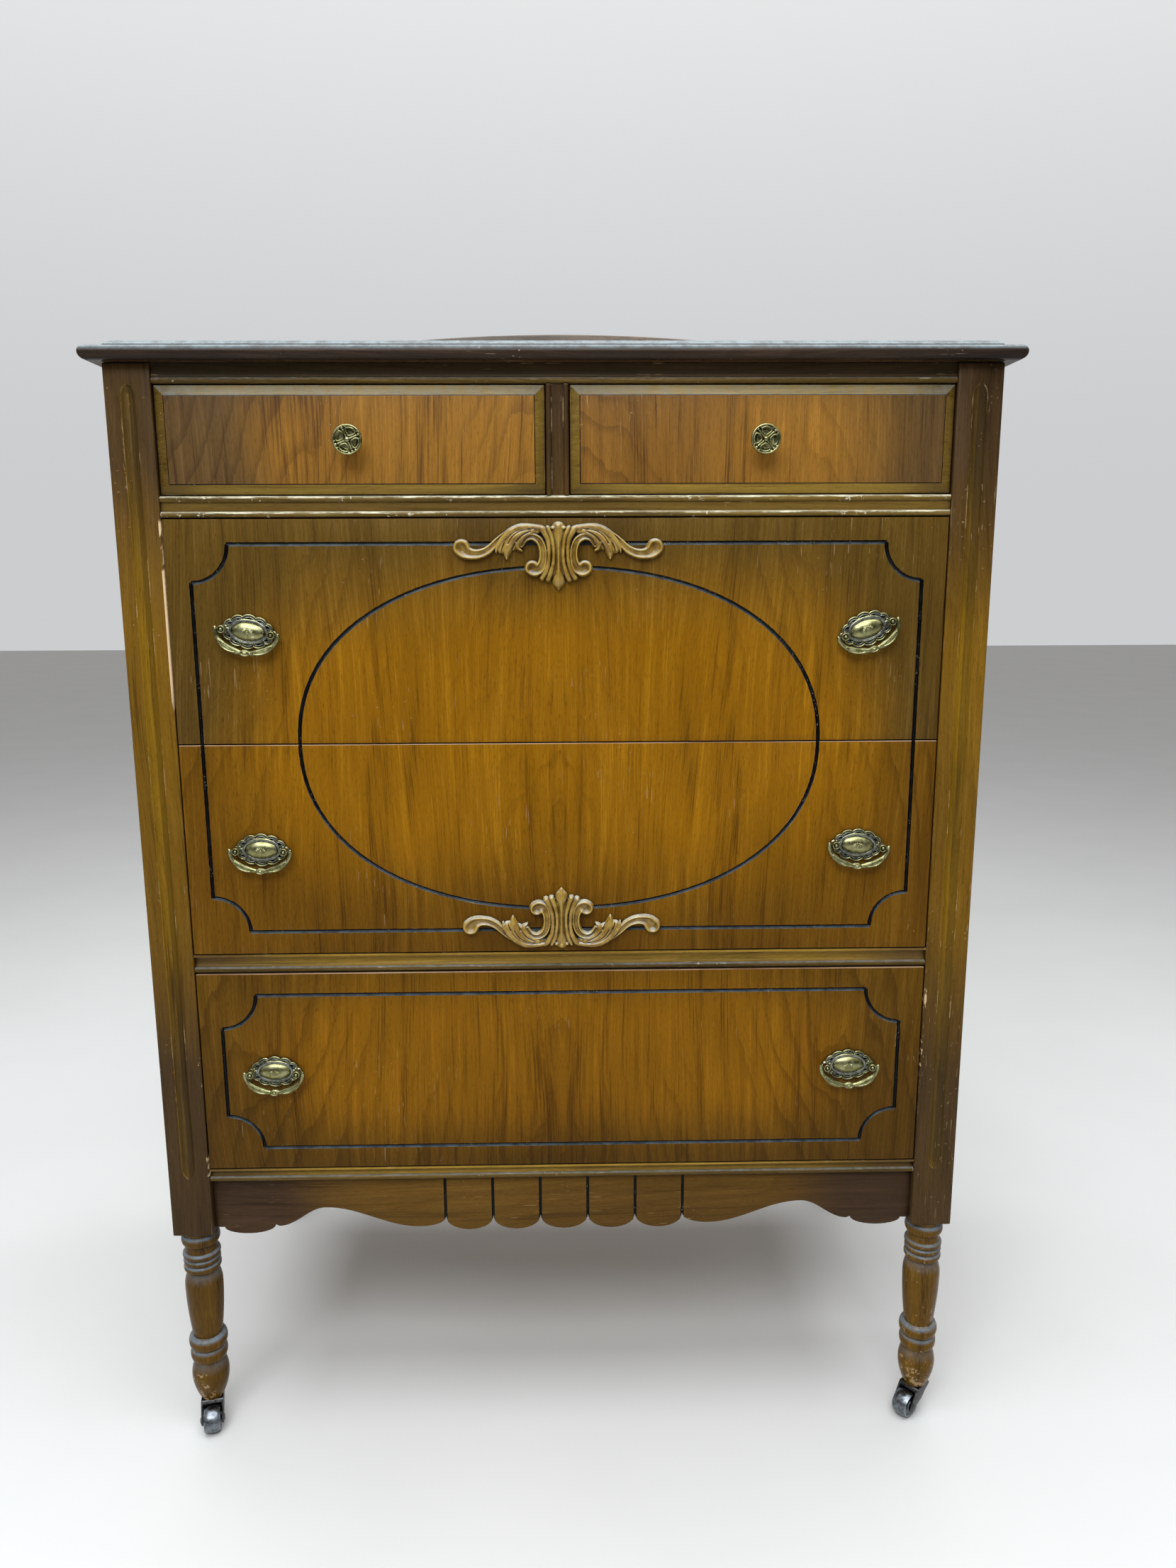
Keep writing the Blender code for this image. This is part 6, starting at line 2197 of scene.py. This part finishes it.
@dataclass
class OvalPulls(Assembly):
    """The six oval pulls: a pierced back plate with its posts, and a hanging bail."""

    reach: float = 0.0085
    spacing: float = 0.0525
    voxel: float = 0.00030
    bail_voxel: float = 0.00024
    lobes: int = 5
    garland: Flat = (0.0274, 0.0180)
    lobe_depth: float = 0.0027
    ring: Flat = (0.0199, 0.0122)
    boss: Flat = (0.0182, 0.0101)
    boss_reach: float = 0.0068
    bail_half: float = 0.0330
    bail_drop: float = 0.0224
    bolt_end: float = 0.0225
    rod: float = 0.0020
    nut: Flat = (0.0046, 0.0195)
    sheet: float = 0.0012
    fan: Flat = (168.0, 156.0)
    piercing_ring: Flat = (0.0230, 0.0148)
    piercing: Point = (0.0030, 0.004, 0.0012)
    petals: int = 12
    flower: Flat = (0.0056, 0.0031)
    stalk: tuple[Flat, ...] = ((0.0, 0.0), (0.0044, 0.0), (0.0044, 0.0016), (0.0030, 0.0026))
    stalk_end: Flat = (0.0029, 0.0040)
    head: tuple[Flat, ...] = (
        (4.2, -3.0), (4.7, -0.5), (4.6, 2.4), (3.9, 3.8), (3.1, 4.0), (2.6, 2.5), (2.1, 2.5), (1.8, 4.2),
        (1.0, 5.2), (0.0, 5.5)
    )
    tilts: tuple[tuple[str, str, float], ...] = (
        ("upper", "upper_long_drawer", 7.6), ("upper", "upper_long_drawer", -17.8),
        ("middle", "lower_long_drawer", 1.3), ("middle", "lower_long_drawer", 3.9),
        ("bottom", "bottom_drawer", 0.0), ("bottom", "bottom_drawer", 0.0)
    )
    across: float = 0.3322
    heights: tuple[tuple[str, float], ...] = (("upper", 0.9805), ("middle", 0.7403), ("bottom", 0.4768))

    def build(self) -> None:
        """Models one pull and seats its copies."""
        plate = smooth_shaded(wear(self.plate(), self.paint.bronze, self.paint.brass), 60.0)
        dress_faces(plate, 1, self.is_bright)
        bail = smooth_shaded(wear(self.bail(), self.paint.brass), 60.0)
        heights = dict(self.heights)
        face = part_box("upper_long_drawer_front")[0].y - FIT
        for k, (row, drawer, tilt) in enumerate(self.tilts):
            hand, sign = (("left", -1), ("right", 1))[k % 2]
            place = at(sign * self.across, face, heights[row])
            place = place @ Matrix.Rotation(math.radians(tilt), 4, "Y")
            pull = f"{row}_{hand}"
            set_copy(plate, place, drawer, Slot.BRASS.value, f"{pull}_pull_plate")
            place = place @ at(0.0, -self.reach, 0.0)
            set_copy(bail, place, f"{pull}_bail", Slot.BRASS.value, f"{pull}_pull_bail")
        bpy.data.objects.remove(plate)
        bpy.data.objects.remove(bail)

    def is_bright(self, face: bpy.types.MeshPolygon) -> bool:
        """Whether a face belongs to the rubbed boss or to a post's head.

        Args:
            face: A face of the plate.

        Returns:
            True where the metal is bright.
        """
        x, y, z = face.center
        out = math.hypot(x / self.boss[0], z / self.boss[1])
        boss = out < 0.97 and y < -0.0012
        rib = out > 1.25 and y < -0.0021
        return boss or rib or y < -self.reach + 0.0035

    def garland_points(self, grow: float, sign: int) -> list[Flat]:
        """The scalloped ribbon above or below the boss.

        Args:
            grow: How far it lies outside its middle line.
            sign: 1 above, -1 below.

        Returns:
            The (x, z) points from one post to the other.
        """
        points = []
        steps = 16 * self.lobes
        for k in range(steps + 1):
            share = k / steps
            turn = math.radians(self.fan[0] - self.fan[1] * share)
            lobe = abs(math.sin(math.pi * self.lobes * share)) ** 0.65
            shrink = self.lobe_depth * (1 - lobe) - grow
            x = (self.garland[0] - 0.6 * shrink) * math.cos(turn)
            points.append((x, sign * (self.garland[1] - shrink) * math.sin(turn)))
        return points

    def oval(self, size: Flat, depth: float, steps: int = 72) -> list[Point]:
        """An oval line at a depth, as points."""
        turns = [math.tau * k / steps for k in range(steps)]
        return [(size[0] * math.cos(t), depth, size[1] * math.sin(t)) for t in turns]

    def plate(self) -> Obj:
        """The back plate with its boss, ribbon, posts and bolts.

        Returns:
            The plate at the origin, facing -Y.
        """
        outer = self.garland_points(0.0, 1)[::-1] + self.garland_points(0.0, -1)
        sheet = plate_of("pull_sheet", [(x, 0.0, z) for x, z in outer], (0.0, -self.sheet, 0.0))
        for sign in (1, -1):
            for k in range(self.lobes):
                turn = math.radians(self.fan[0] - self.fan[1] * (k + 0.5) / self.lobes)
                x, z = (size * way(turn) for size, way in zip(self.piercing_ring, (math.cos, math.sin)))
                cut(sheet, ball("piercing", (x, 0.0, sign * z), self.piercing, 16))
        parts = [sheet]
        for sign in (1, -1):
            ribbon = [(x, -0.0017, z) for x, z in self.garland_points(0.0, sign)]
            parts.append(swept("ribbon", ribbon, [0.00095] * len(ribbon)))
            inner = [(x, -0.0015, z) for x, z in self.garland_points(-0.0027, sign)]
            parts.append(swept("inner_ribbon", inner, [0.00065] * len(inner)))
            for end in (ribbon[0], ribbon[-1]):
                parts.append(ball("ribbon_end", (end[0] * 0.94, -0.0016, end[2]), (0.0014,) * 3, 12))
        parts.append(swept("ring", self.oval(self.ring, -0.0016), [0.0015] * 72, True))
        parts.append(swept("inner_ring", self.oval((0.0188, 0.0107), -0.0022), [0.0007] * 72, True))
        boss = ball("boss", (0.0, -0.001, 0.0), (self.boss[0], self.boss_reach - 0.001, self.boss[1]), 48)
        parts.append(boss)
        parts.append(ball("boss_ground", (0.0, 0.0, 0.0), (self.ring[0], 0.0028, self.ring[1]), 32))
        parts += self.rosette()
        for sign in (-1, 1):
            parts += self.post(sign * self.spacing / 2, sign)
        plate = joined("pull_plate_pattern", parts)
        fused(plate, self.voxel, 2)
        with edit_mode(plate):
            cut_flat(0.0)
        bolts = [self.bolt(sign * self.spacing / 2) for sign in (-1, 1)]
        plate = joined("pull_plate_pattern", [plate, *bolts])
        # the cut leaves faces that are not valid, and those would scramble the copies
        plate.data.validate()
        return plate

    def rosette(self) -> list[Obj]:
        """The small flower in the middle of the boss."""
        parts = []
        for k in range(self.petals):
            turn = math.tau * (k + 0.5) / self.petals
            points = []
            for share in (0.28, 0.6, 1.0):
                x, z = self.flower[0] * share * math.cos(turn), self.flower[1] * share * math.sin(turn)
                lift = math.sqrt(1 - (x / self.boss[0]) ** 2 - (z / self.boss[1]) ** 2)
                points.append((x, -0.001 - (self.boss_reach - 0.001) * lift, z))
            parts.append(swept("petal", points, [0.00040, 0.00068, 0.00055]))
        parts.append(ball("flower_eye", (0.0, -self.boss_reach, 0.0), (0.0012, 0.0007, 0.0008), 12))
        return parts

    def post(self, x: float, sign: int) -> list[Obj]:
        """A post with its ball head and end button.

        Args:
            x: Where it stands.
            sign: 1 on the right, -1 on the left.

        Returns:
            Its parts.
        """
        profile = [*self.stalk, (self.stalk_end[0], self.reach - self.stalk_end[1])]
        profile += [(r / 1000, self.reach + z / 1000) for r, z in self.head]
        facing = at(x, 0.0, 0.0) @ Matrix.Rotation(math.pi / 2, 4, "X")
        post = turned("pull_post", profile, 24, facing)
        collar = ball("collar", (x - sign * 0.0048, -0.0016, 0.0), (0.0036, 0.0018, 0.0026), 16)
        return [post, collar]

    def bolt(self, x: float) -> Obj:
        """The bolt through the drawer front and its nut inside.

        Args:
            x: Where it stands.

        Returns:
            The bolt.
        """
        wide, nut = self.nut
        profile = [(0.0, -0.0005), (self.rod, -0.0005), (self.rod, nut), (wide, nut), (wide, nut + 0.0018)]
        profile += [(self.rod, nut + 0.0022), (0.0018, self.bolt_end), (0.0, self.bolt_end)]
        return turned("pull_bolt", profile, 12, at(x, 0.0, 0.0) @ Matrix.Rotation(-math.pi / 2, 4, "X"))

    def bail(self) -> Obj:
        """The hanging bail with its leaves, middle knot and pins.

        Returns:
            The bail with its axis at the origin.
        """
        rows = []
        steps = 64
        for k in range(steps + 1):
            turn = math.pi * k / steps
            x, z = -self.bail_half * math.cos(turn), -self.bail_drop * math.sin(turn)
            side = abs(x) / self.bail_half
            leaf = math.exp(-(((side - 0.53) / 0.30) ** 4))
            rows.append((x, z, 0.0024 + 0.0014 * leaf))
        points = [(x, 0.0, z) for x, z, _ in rows]
        parts = [swept("bow", points, [r for _, _, r in rows], False, 4)]
        for sign in (-1, 1):
            tip = [
                (sign * 0.0328, 0.0, -0.0014), (sign * 0.0333, 0.0, 0.0010), (sign * 0.0340, 0.0, 0.0026)
            ]
            parts.append(swept("tip", tip, [0.0022, 0.0020, 0.0012]))
            pin = [(sign * 0.0335, 0.0, 0.0), (sign * 0.0285, 0.0, 0.0)]
            parts.append(swept("pin", pin, [0.0012, 0.0012]))
            parts.append(self.leaf_line(rows[: steps // 2], sign))
        foot = -self.bail_drop
        parts.append(ball("knot", (0.0, 0.0, foot), (0.0064, 0.0034, 0.0040), 24))
        ring = [(x, -0.0027, z + foot) for x, _, z in self.oval((0.0046, 0.0026), 0.0, 24)]
        parts.append(swept("knot_ring", ring, [0.0006] * 24, True))
        parts.append(ball("knot_eye", (0.0, -0.0034, foot), (0.0021, 0.0009, 0.0011), 12))
        bail = joined("pull_bail_pattern", parts)
        return fused(bail, self.bail_voxel, 1)

    def leaf_line(self, rows: Sequence[Point], sign: int) -> Obj:
        """The raised outline of the long leaf on one half of the bail.

        Args:
            rows: The x, z and radius along that half of the bow.
            sign: 1 on the right, -1 on the left.

        Returns:
            The line.
        """
        leaf = [row for row in rows if 0.26 < abs(row[0]) / self.bail_half < 0.86]
        line: list[Point] = []
        for way, run in ((1, leaf), (-1, leaf[::-1])):
            for k, (x, z, radius) in enumerate(run):
                spread = 0.62 * math.sin(math.pi * (k + 0.5) / len(run)) ** 0.5
                out = Vector((x / self.bail_half**2, 0.0, z / self.bail_drop**2)).normalized()
                spot = Vector((x, 0.0, z)) + out * radius * spread * way
                depth = -radius * math.sqrt(1 - spread**2)
                line.append((-sign * spot.x, depth, spot.z))
        return swept("leaf_line", line, [0.00085] * len(line), True, 2)


@dataclass
class Knobs(Assembly):
    """The two pierced rosette knobs of the small drawers."""

    reach: float = 0.0237
    voxel: float = 0.00028
    around: int = 48
    # radius and depth behind the face, from the middle of the face to the neck
    cup: tuple[Flat, ...] = (
        (0.0, 0.0072), (0.0090, 0.0066), (0.0122, 0.0040), (0.0135, 0.0014), (0.0142, 0.0006),
        (0.0150, 0.0010), (0.0155, 0.0030), (0.0146, 0.0064), (0.0110, 0.0092), (0.0062, 0.0112),
        (0.0052, 0.0140)
    )
    # radius and distance from the drawer
    base: tuple[Flat, ...] = (
        (0.0058, 0.0046), (0.0088, 0.0028), (0.0092, 0.0010), (0.0090, 0.0), (0.0, 0.0)
    )
    screw: tuple[Flat, ...] = (
        (0.0, -0.0005), (0.0020, -0.0005), (0.0020, 0.0195), (0.0048, 0.0195), (0.0044, 0.0216),
        (0.0, 0.0222)
    )
    # one quarter of the face in millimetres
    kidney: tuple[Flat, ...] = (
        (5.0, -1.6), (4.2, 0.0), (5.0, 1.6), (7.4, 4.3), (10.2, 4.9), (11.8, 2.6), (12.2, 0.0),
        (11.8, -2.6), (10.2, -4.9), (7.4, -4.3)
    )
    scrolls: tuple[Point, ...] = ((11.6, 6.4, 1.25), (11.6, -6.4, 1.25), (8.9, 8.9, 1.5))
    spoke: Point = (1.2, 4.0, 7.6)
    turns: tuple[tuple[str, float], ...] = (("left", 22.0), ("right", 4.0))
    across: float = 0.2145
    height: float = 1.1756

    def build(self) -> None:
        """Models one knob and seats its copies."""
        knob = smooth_shaded(wear(self.knob(), self.paint.brass), 60.0)
        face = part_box("upper_long_drawer_front")[0].y - FIT
        for hand, turn in self.turns:
            sign = -1 if hand == "left" else 1
            place = at(sign * self.across, face, self.height)
            place = place @ Matrix.Rotation(math.radians(turn), 4, "Y")
            set_copy(knob, place, f"top_{hand}_drawer", Slot.BRASS.value, f"{hand}_knob")
        bpy.data.objects.remove(knob)

    def knob(self) -> Obj:
        """The knob with its pierced face, neck, base and screw.

        Returns:
            The knob at the origin, facing -Y.
        """
        body = [*((r, self.reach - depth) for r, depth in self.cup), *self.base]
        parts = [turned("knob_body", body, self.around, Matrix.Rotation(math.pi / 2, 4, "X"))]
        parts.append(ball("centre", (0.0, -(self.reach - 0.0024), 0.0), (0.0027, 0.0022, 0.0027), 20))
        for k in range(4):
            parts += self.quarter(math.tau * k / 4)
        knob = joined("knob_pattern", parts)
        fused(knob, self.voxel, 2)
        rod = turned("knob_screw", self.screw, 16, Matrix.Rotation(-math.pi / 2, 4, "X"))
        return joined("knob_pattern", [knob, rod])

    def quarter(self, turn: float) -> list[Obj]:
        """One quarter of the face: a kidney frame, its scroll ends and a spoke.

        Args:
            turn: Where the quarter lies.

        Returns:
            Its parts.
        """
        depth = -(self.reach - 0.0026)
        line = flowing(self.kidney, 6, True) / 1000
        spin = Matrix.Rotation(-turn, 4, "Y")
        points = [tuple(spin @ Vector((x, depth, z))) for x, z in line]
        parts = [swept("frame", points, [0.00078] * len(points), True)]
        for x, z, size in self.scrolls:
            spot = spin @ Vector((x / 1000, depth, z / 1000))
            parts.append(ball("scroll", tuple(spot), (size / 1000,) * 3, 12))
        spoke = [spin @ Vector((r / 1000, depth + 0.0004, r / 1000)) for r in self.spoke]
        parts.append(swept("spoke", [tuple(p) for p in spoke], [0.0011, 0.0009, 0.0011]))
        return parts


@dataclass
class Casters(Assembly):
    """The four swivel casters: a wrapped fork with stem and axle, and a barrel wheel."""

    crown: float = 0.0367
    crown_thick: float = 0.0030
    crown_reach: float = 0.0125
    trail: float = 0.020
    wheel_radius: float = 0.016
    wheel_half: float = 0.0095
    wheel_crown: float = 0.0016
    # radius and depth of the wheel's end, from the bore out
    wheel_end: tuple[Flat, ...] = (
        (0.0029, 0.0), (0.0062, 0.0), (0.0070, 0.0008), (0.0118, 0.0008), (0.0126, 0.0), (0.0138, 0.0)
    )
    wheel_gap: float = 0.0013
    arm_gap: float = 0.0012
    arm_thick: float = 0.0026
    eye: float = 0.0066
    heel: tuple[Flat, Flat] = ((-0.0030, 0.0205), (0.0040, 0.0275))
    channel_end: Flat = (-0.06, -0.01)
    stem: float = 0.0045
    stem_length: float = 0.034
    washer: Flat = (0.0075, 0.0001)
    # radius and height of the axle's riveted end over the arm
    rivet: tuple[Flat, ...] = (
        (0.0, 0.0014), (0.0026, 0.0013), (0.0040, 0.0004), (0.0040, -0.001), (0.0025, -0.001)
    )
    edge_round: float = 0.0008
    turns: tuple[tuple[str, float], ...] = (
        ("front_left", 13.0), ("front_right", -50.0), ("rear_left", -24.0), ("rear_right", 35.0)
    )

    def build(self) -> None:
        """Models one caster and seats its copies."""
        fork = smooth_shaded(wear(self.fork(), self.paint.steel), 35.0)
        wheel = smooth_shaded(wear(self.wheel(), self.paint.tread), 40.0)
        for corner, turn in self.turns:
            low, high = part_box(f"{corner}_post")
            place = at((low.x + high.x) / 2, (low.y + high.y) / 2, 0.0)
            place = place @ Matrix.Rotation(math.radians(turn), 4, "Z")
            set_copy(fork, place, f"{corner}_swivel", Slot.STEEL.value, f"{corner}_caster_fork")
            place = place @ at(0.0, -self.trail, self.wheel_radius)
            set_copy(wheel, place, f"{corner}_wheel", Slot.STEEL.value, f"{corner}_caster_wheel")
        bpy.data.objects.remove(fork)
        bpy.data.objects.remove(wheel)

    def fork(self) -> Obj:
        """The fork with its crown, arms, stem and riveted axle.

        Returns:
            The fork, its stem over the origin.
        """
        inner = self.wheel_half + self.arm_gap
        outer = inner + self.arm_thick
        side = [(self.crown_reach, self.crown), (-self.crown_reach, self.crown)]
        for k in range(13):
            turn = math.pi * (1 + k / 12)
            y = -self.trail + self.eye * math.cos(turn)
            side.append((y, self.wheel_radius + self.eye * math.sin(turn)))
        side += [*self.heel, (self.crown_reach, self.crown - self.crown_thick)]
        fork = plate_of("fork_pattern", [(-outer, y, z) for y, z in side], (2 * outer, 0.0, 0.0))
        clear = self.wheel_radius + self.wheel_gap
        far, deep = self.channel_end
        room = [(far, deep), (-self.trail + clear, deep)]
        for k in range(9):
            turn = math.radians(10.0 * k)
            y = -self.trail + clear * math.cos(turn)
            room.append((y, self.wheel_radius + clear * math.sin(turn)))
        under = self.crown - self.crown_thick
        room += [(-self.trail + 0.0025, under), (far, under)]
        cut(fork, plate_of("channel", [(-inner, y, z) for y, z in room], (2 * inner, 0.0, 0.0)))
        rounded(fork, self.edge_round, 3, 40.0)
        foot = self.crown - self.crown_thick / 2
        wide, top, end = self.washer[0], self.crown + self.washer[1], foot + self.stem_length
        stem = [(0.0, foot), (wide, foot), (wide, top), (self.stem, top), (self.stem, end), (0.0, end)]
        cut(fork, turned("stem", stem, 24, Matrix.Identity(4)), "UNION")
        across = at(0.0, -self.trail, self.wheel_radius) @ Matrix.Rotation(math.pi / 2, 4, "Y")
        axle = [(r, -outer - lift) for r, lift in self.rivet]
        axle += [(r, outer + lift) for r, lift in reversed(self.rivet)]
        return cut(fork, turned("axle", axle, 20, across), "UNION")

    def wheel(self) -> Obj:
        """The wheel, a crowned barrel with a bore along X.

        Returns:
            The wheel at the origin.
        """
        half, radius = self.wheel_half, self.wheel_radius
        tread = []
        for k in range(15):
            share = -1 + 2 * k / 14
            tread.append((radius - self.wheel_crown * abs(share) ** 3.0, share * (half - 0.0012)))
        profile = [(r, -half + depth) for r, depth in self.wheel_end] + tread
        profile += [(r, half - depth) for r, depth in reversed(self.wheel_end)]
        return turned("wheel_pattern", profile, 40, Matrix.Rotation(math.pi / 2, 4, "Y"), True)


# Studio


@dataclass
class Studio:
    """The pale floor, the soft light and the camera."""

    floor_half: float = 14.0
    floor_color: Color = (0.70, 0.69, 0.675)
    floor_mottle: float = 0.97
    floor_gloss: float = 0.6
    sky_high: Color = (1.0, 1.0, 1.0)
    sky_low: Color = (0.60, 0.61, 0.62)
    sky_dim: Color = (0.12, 0.125, 0.13)
    fill: float = 0.30
    fill_color: Color = (1.0, 1.0, 1.0)
    lamp_color: Color = (0.92, 0.97, 1.0)
    lens: float = 25.377
    sensor: float = 36.0
    stand: Point = (0.00707, -1.44206, 1.04255)
    yaw: float = 1.1157
    pitch: float = 10.889
    roll: float = -0.227

    def build(self) -> None:
        """Sets the floor, lights, world and camera."""
        self.lay_floor()
        self.light("ceiling_panel", (0.0, -0.3, 3.1), (0.0, -0.3, 0.0), (3.2, 2.6), 124.0)
        self.light("front_panel", (-0.5, -2.8, 3.2), (0.0, 0.0, 0.8), (2.6, 1.2), 98.0)
        self.set_world()
        self.set_camera()
        bpy.context.scene.view_settings.view_transform = "Standard"

    def lay_floor(self) -> None:
        """Lays the plain pale floor."""
        bpy.ops.mesh.primitive_grid_add(x_subdivisions=4, y_subdivisions=4, size=2 * self.floor_half)
        floor = settle_place(bpy.context.object, "floor")
        made, graph, shader = new_finish("pale_floor")
        mottle = graph.noise(graph.object_place(), 3.0, 4.0)
        darker = tuple(self.floor_mottle * part for part in self.floor_color)
        color = graph.blend(graph.span(mottle, 0.3, 0.7), self.floor_color, darker)
        graph.feed(shader, {"Base Color": color, "Roughness": self.floor_gloss})
        wear(floor, made)

    def light(self, name: str, stand: Point, aim: Point, size: Flat, power: float) -> None:
        """Hangs one soft panel light.

        Args:
            name: Its name.
            stand: Where it hangs.
            aim: Where it points.
            size: Its width and height.
            power: Its power in watts.
        """
        bpy.ops.object.light_add(type="AREA", location=stand)
        lamp = bpy.context.object
        lamp.name = lamp.data.name = name
        lamp.data.shape = "RECTANGLE"
        lamp.data.size, lamp.data.size_y = size
        lamp.data.energy = power
        lamp.data.color = self.lamp_color
        lamp.rotation_euler = (Vector(aim) - Vector(stand)).to_track_quat("-Z", "Y").to_euler()

    def set_world(self) -> None:
        """Sets a pale world that lights the object softly."""
        world = bpy.data.worlds.new("studio")
        bpy.context.scene.world = world
        world.use_nodes = True
        graph = Graph(world.node_tree)
        path = graph.put("LightPath").outputs
        seen = graph.most(*(path[f"Is {ray} Ray"] for ray in ("Camera", "Glossy", "Transmission")))
        _, ahead, up = graph.axes(graph.put("TexCoord").outputs["Generated"])
        mirrored = graph.math("SUBTRACT", 1.0, path["Is Camera Ray"])
        behind = graph.times(graph.span(ahead, 0.15, -0.35), mirrored)
        low = graph.blend(behind, self.sky_low, self.sky_dim)
        sky = graph.blend(graph.span(up, 0.05, 0.8), low, self.sky_high)
        shown = graph.put("Background", {0: sky, 1: 1.0}).outputs[0]
        fill = graph.put("Background", {0: self.fill_color, 1: self.fill}).outputs[0]
        mix = graph.put("MixShader", {0: seen, 1: fill, 2: shown}).outputs[0]
        graph.feed(world.node_tree.nodes["World Output"], {0: mix})

    def set_camera(self) -> None:
        """Stands the camera where the photograph was taken."""
        yaw, pitch, roll = (math.radians(a) for a in (self.yaw, self.pitch, self.roll))
        ahead = Vector((math.sin(yaw) * math.cos(pitch), math.cos(yaw) * math.cos(pitch), -math.sin(pitch)))
        right = Vector((math.cos(yaw), -math.sin(yaw), 0.0))
        right = right * math.cos(roll) + right.cross(ahead) * math.sin(roll)
        up = right.cross(ahead)
        bpy.ops.object.camera_add()
        camera = bpy.context.object
        camera.data.lens = self.lens
        camera.data.sensor_width = self.sensor
        camera.matrix_world = Matrix.LocRotScale(
            Vector(self.stand), Matrix((right, up, -ahead)).transposed().to_quaternion(), None
        )
        bpy.context.scene.camera = camera


def clear_bench() -> None:
    """Empties the startup scene."""
    bpy.ops.object.select_all(action="SELECT")
    bpy.ops.object.delete()


def main() -> None:
    """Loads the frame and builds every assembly."""
    logging.basicConfig(level=logging.INFO, format="%(name)s: %(message)s")
    clear_bench()
    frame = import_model()
    paint = PaintShop()
    PlainBoards(paint, frame["nodes"]).build()
    kinds = (
        TopBoard, Gallery, Posts, Rails, Apron, LongFronts, SmallFronts, Carvings, OvalPulls, Knobs, Casters
    )
    for kind in kinds:
        kind(paint).build()
    Studio().build()


if __name__ == "__main__":
    main()
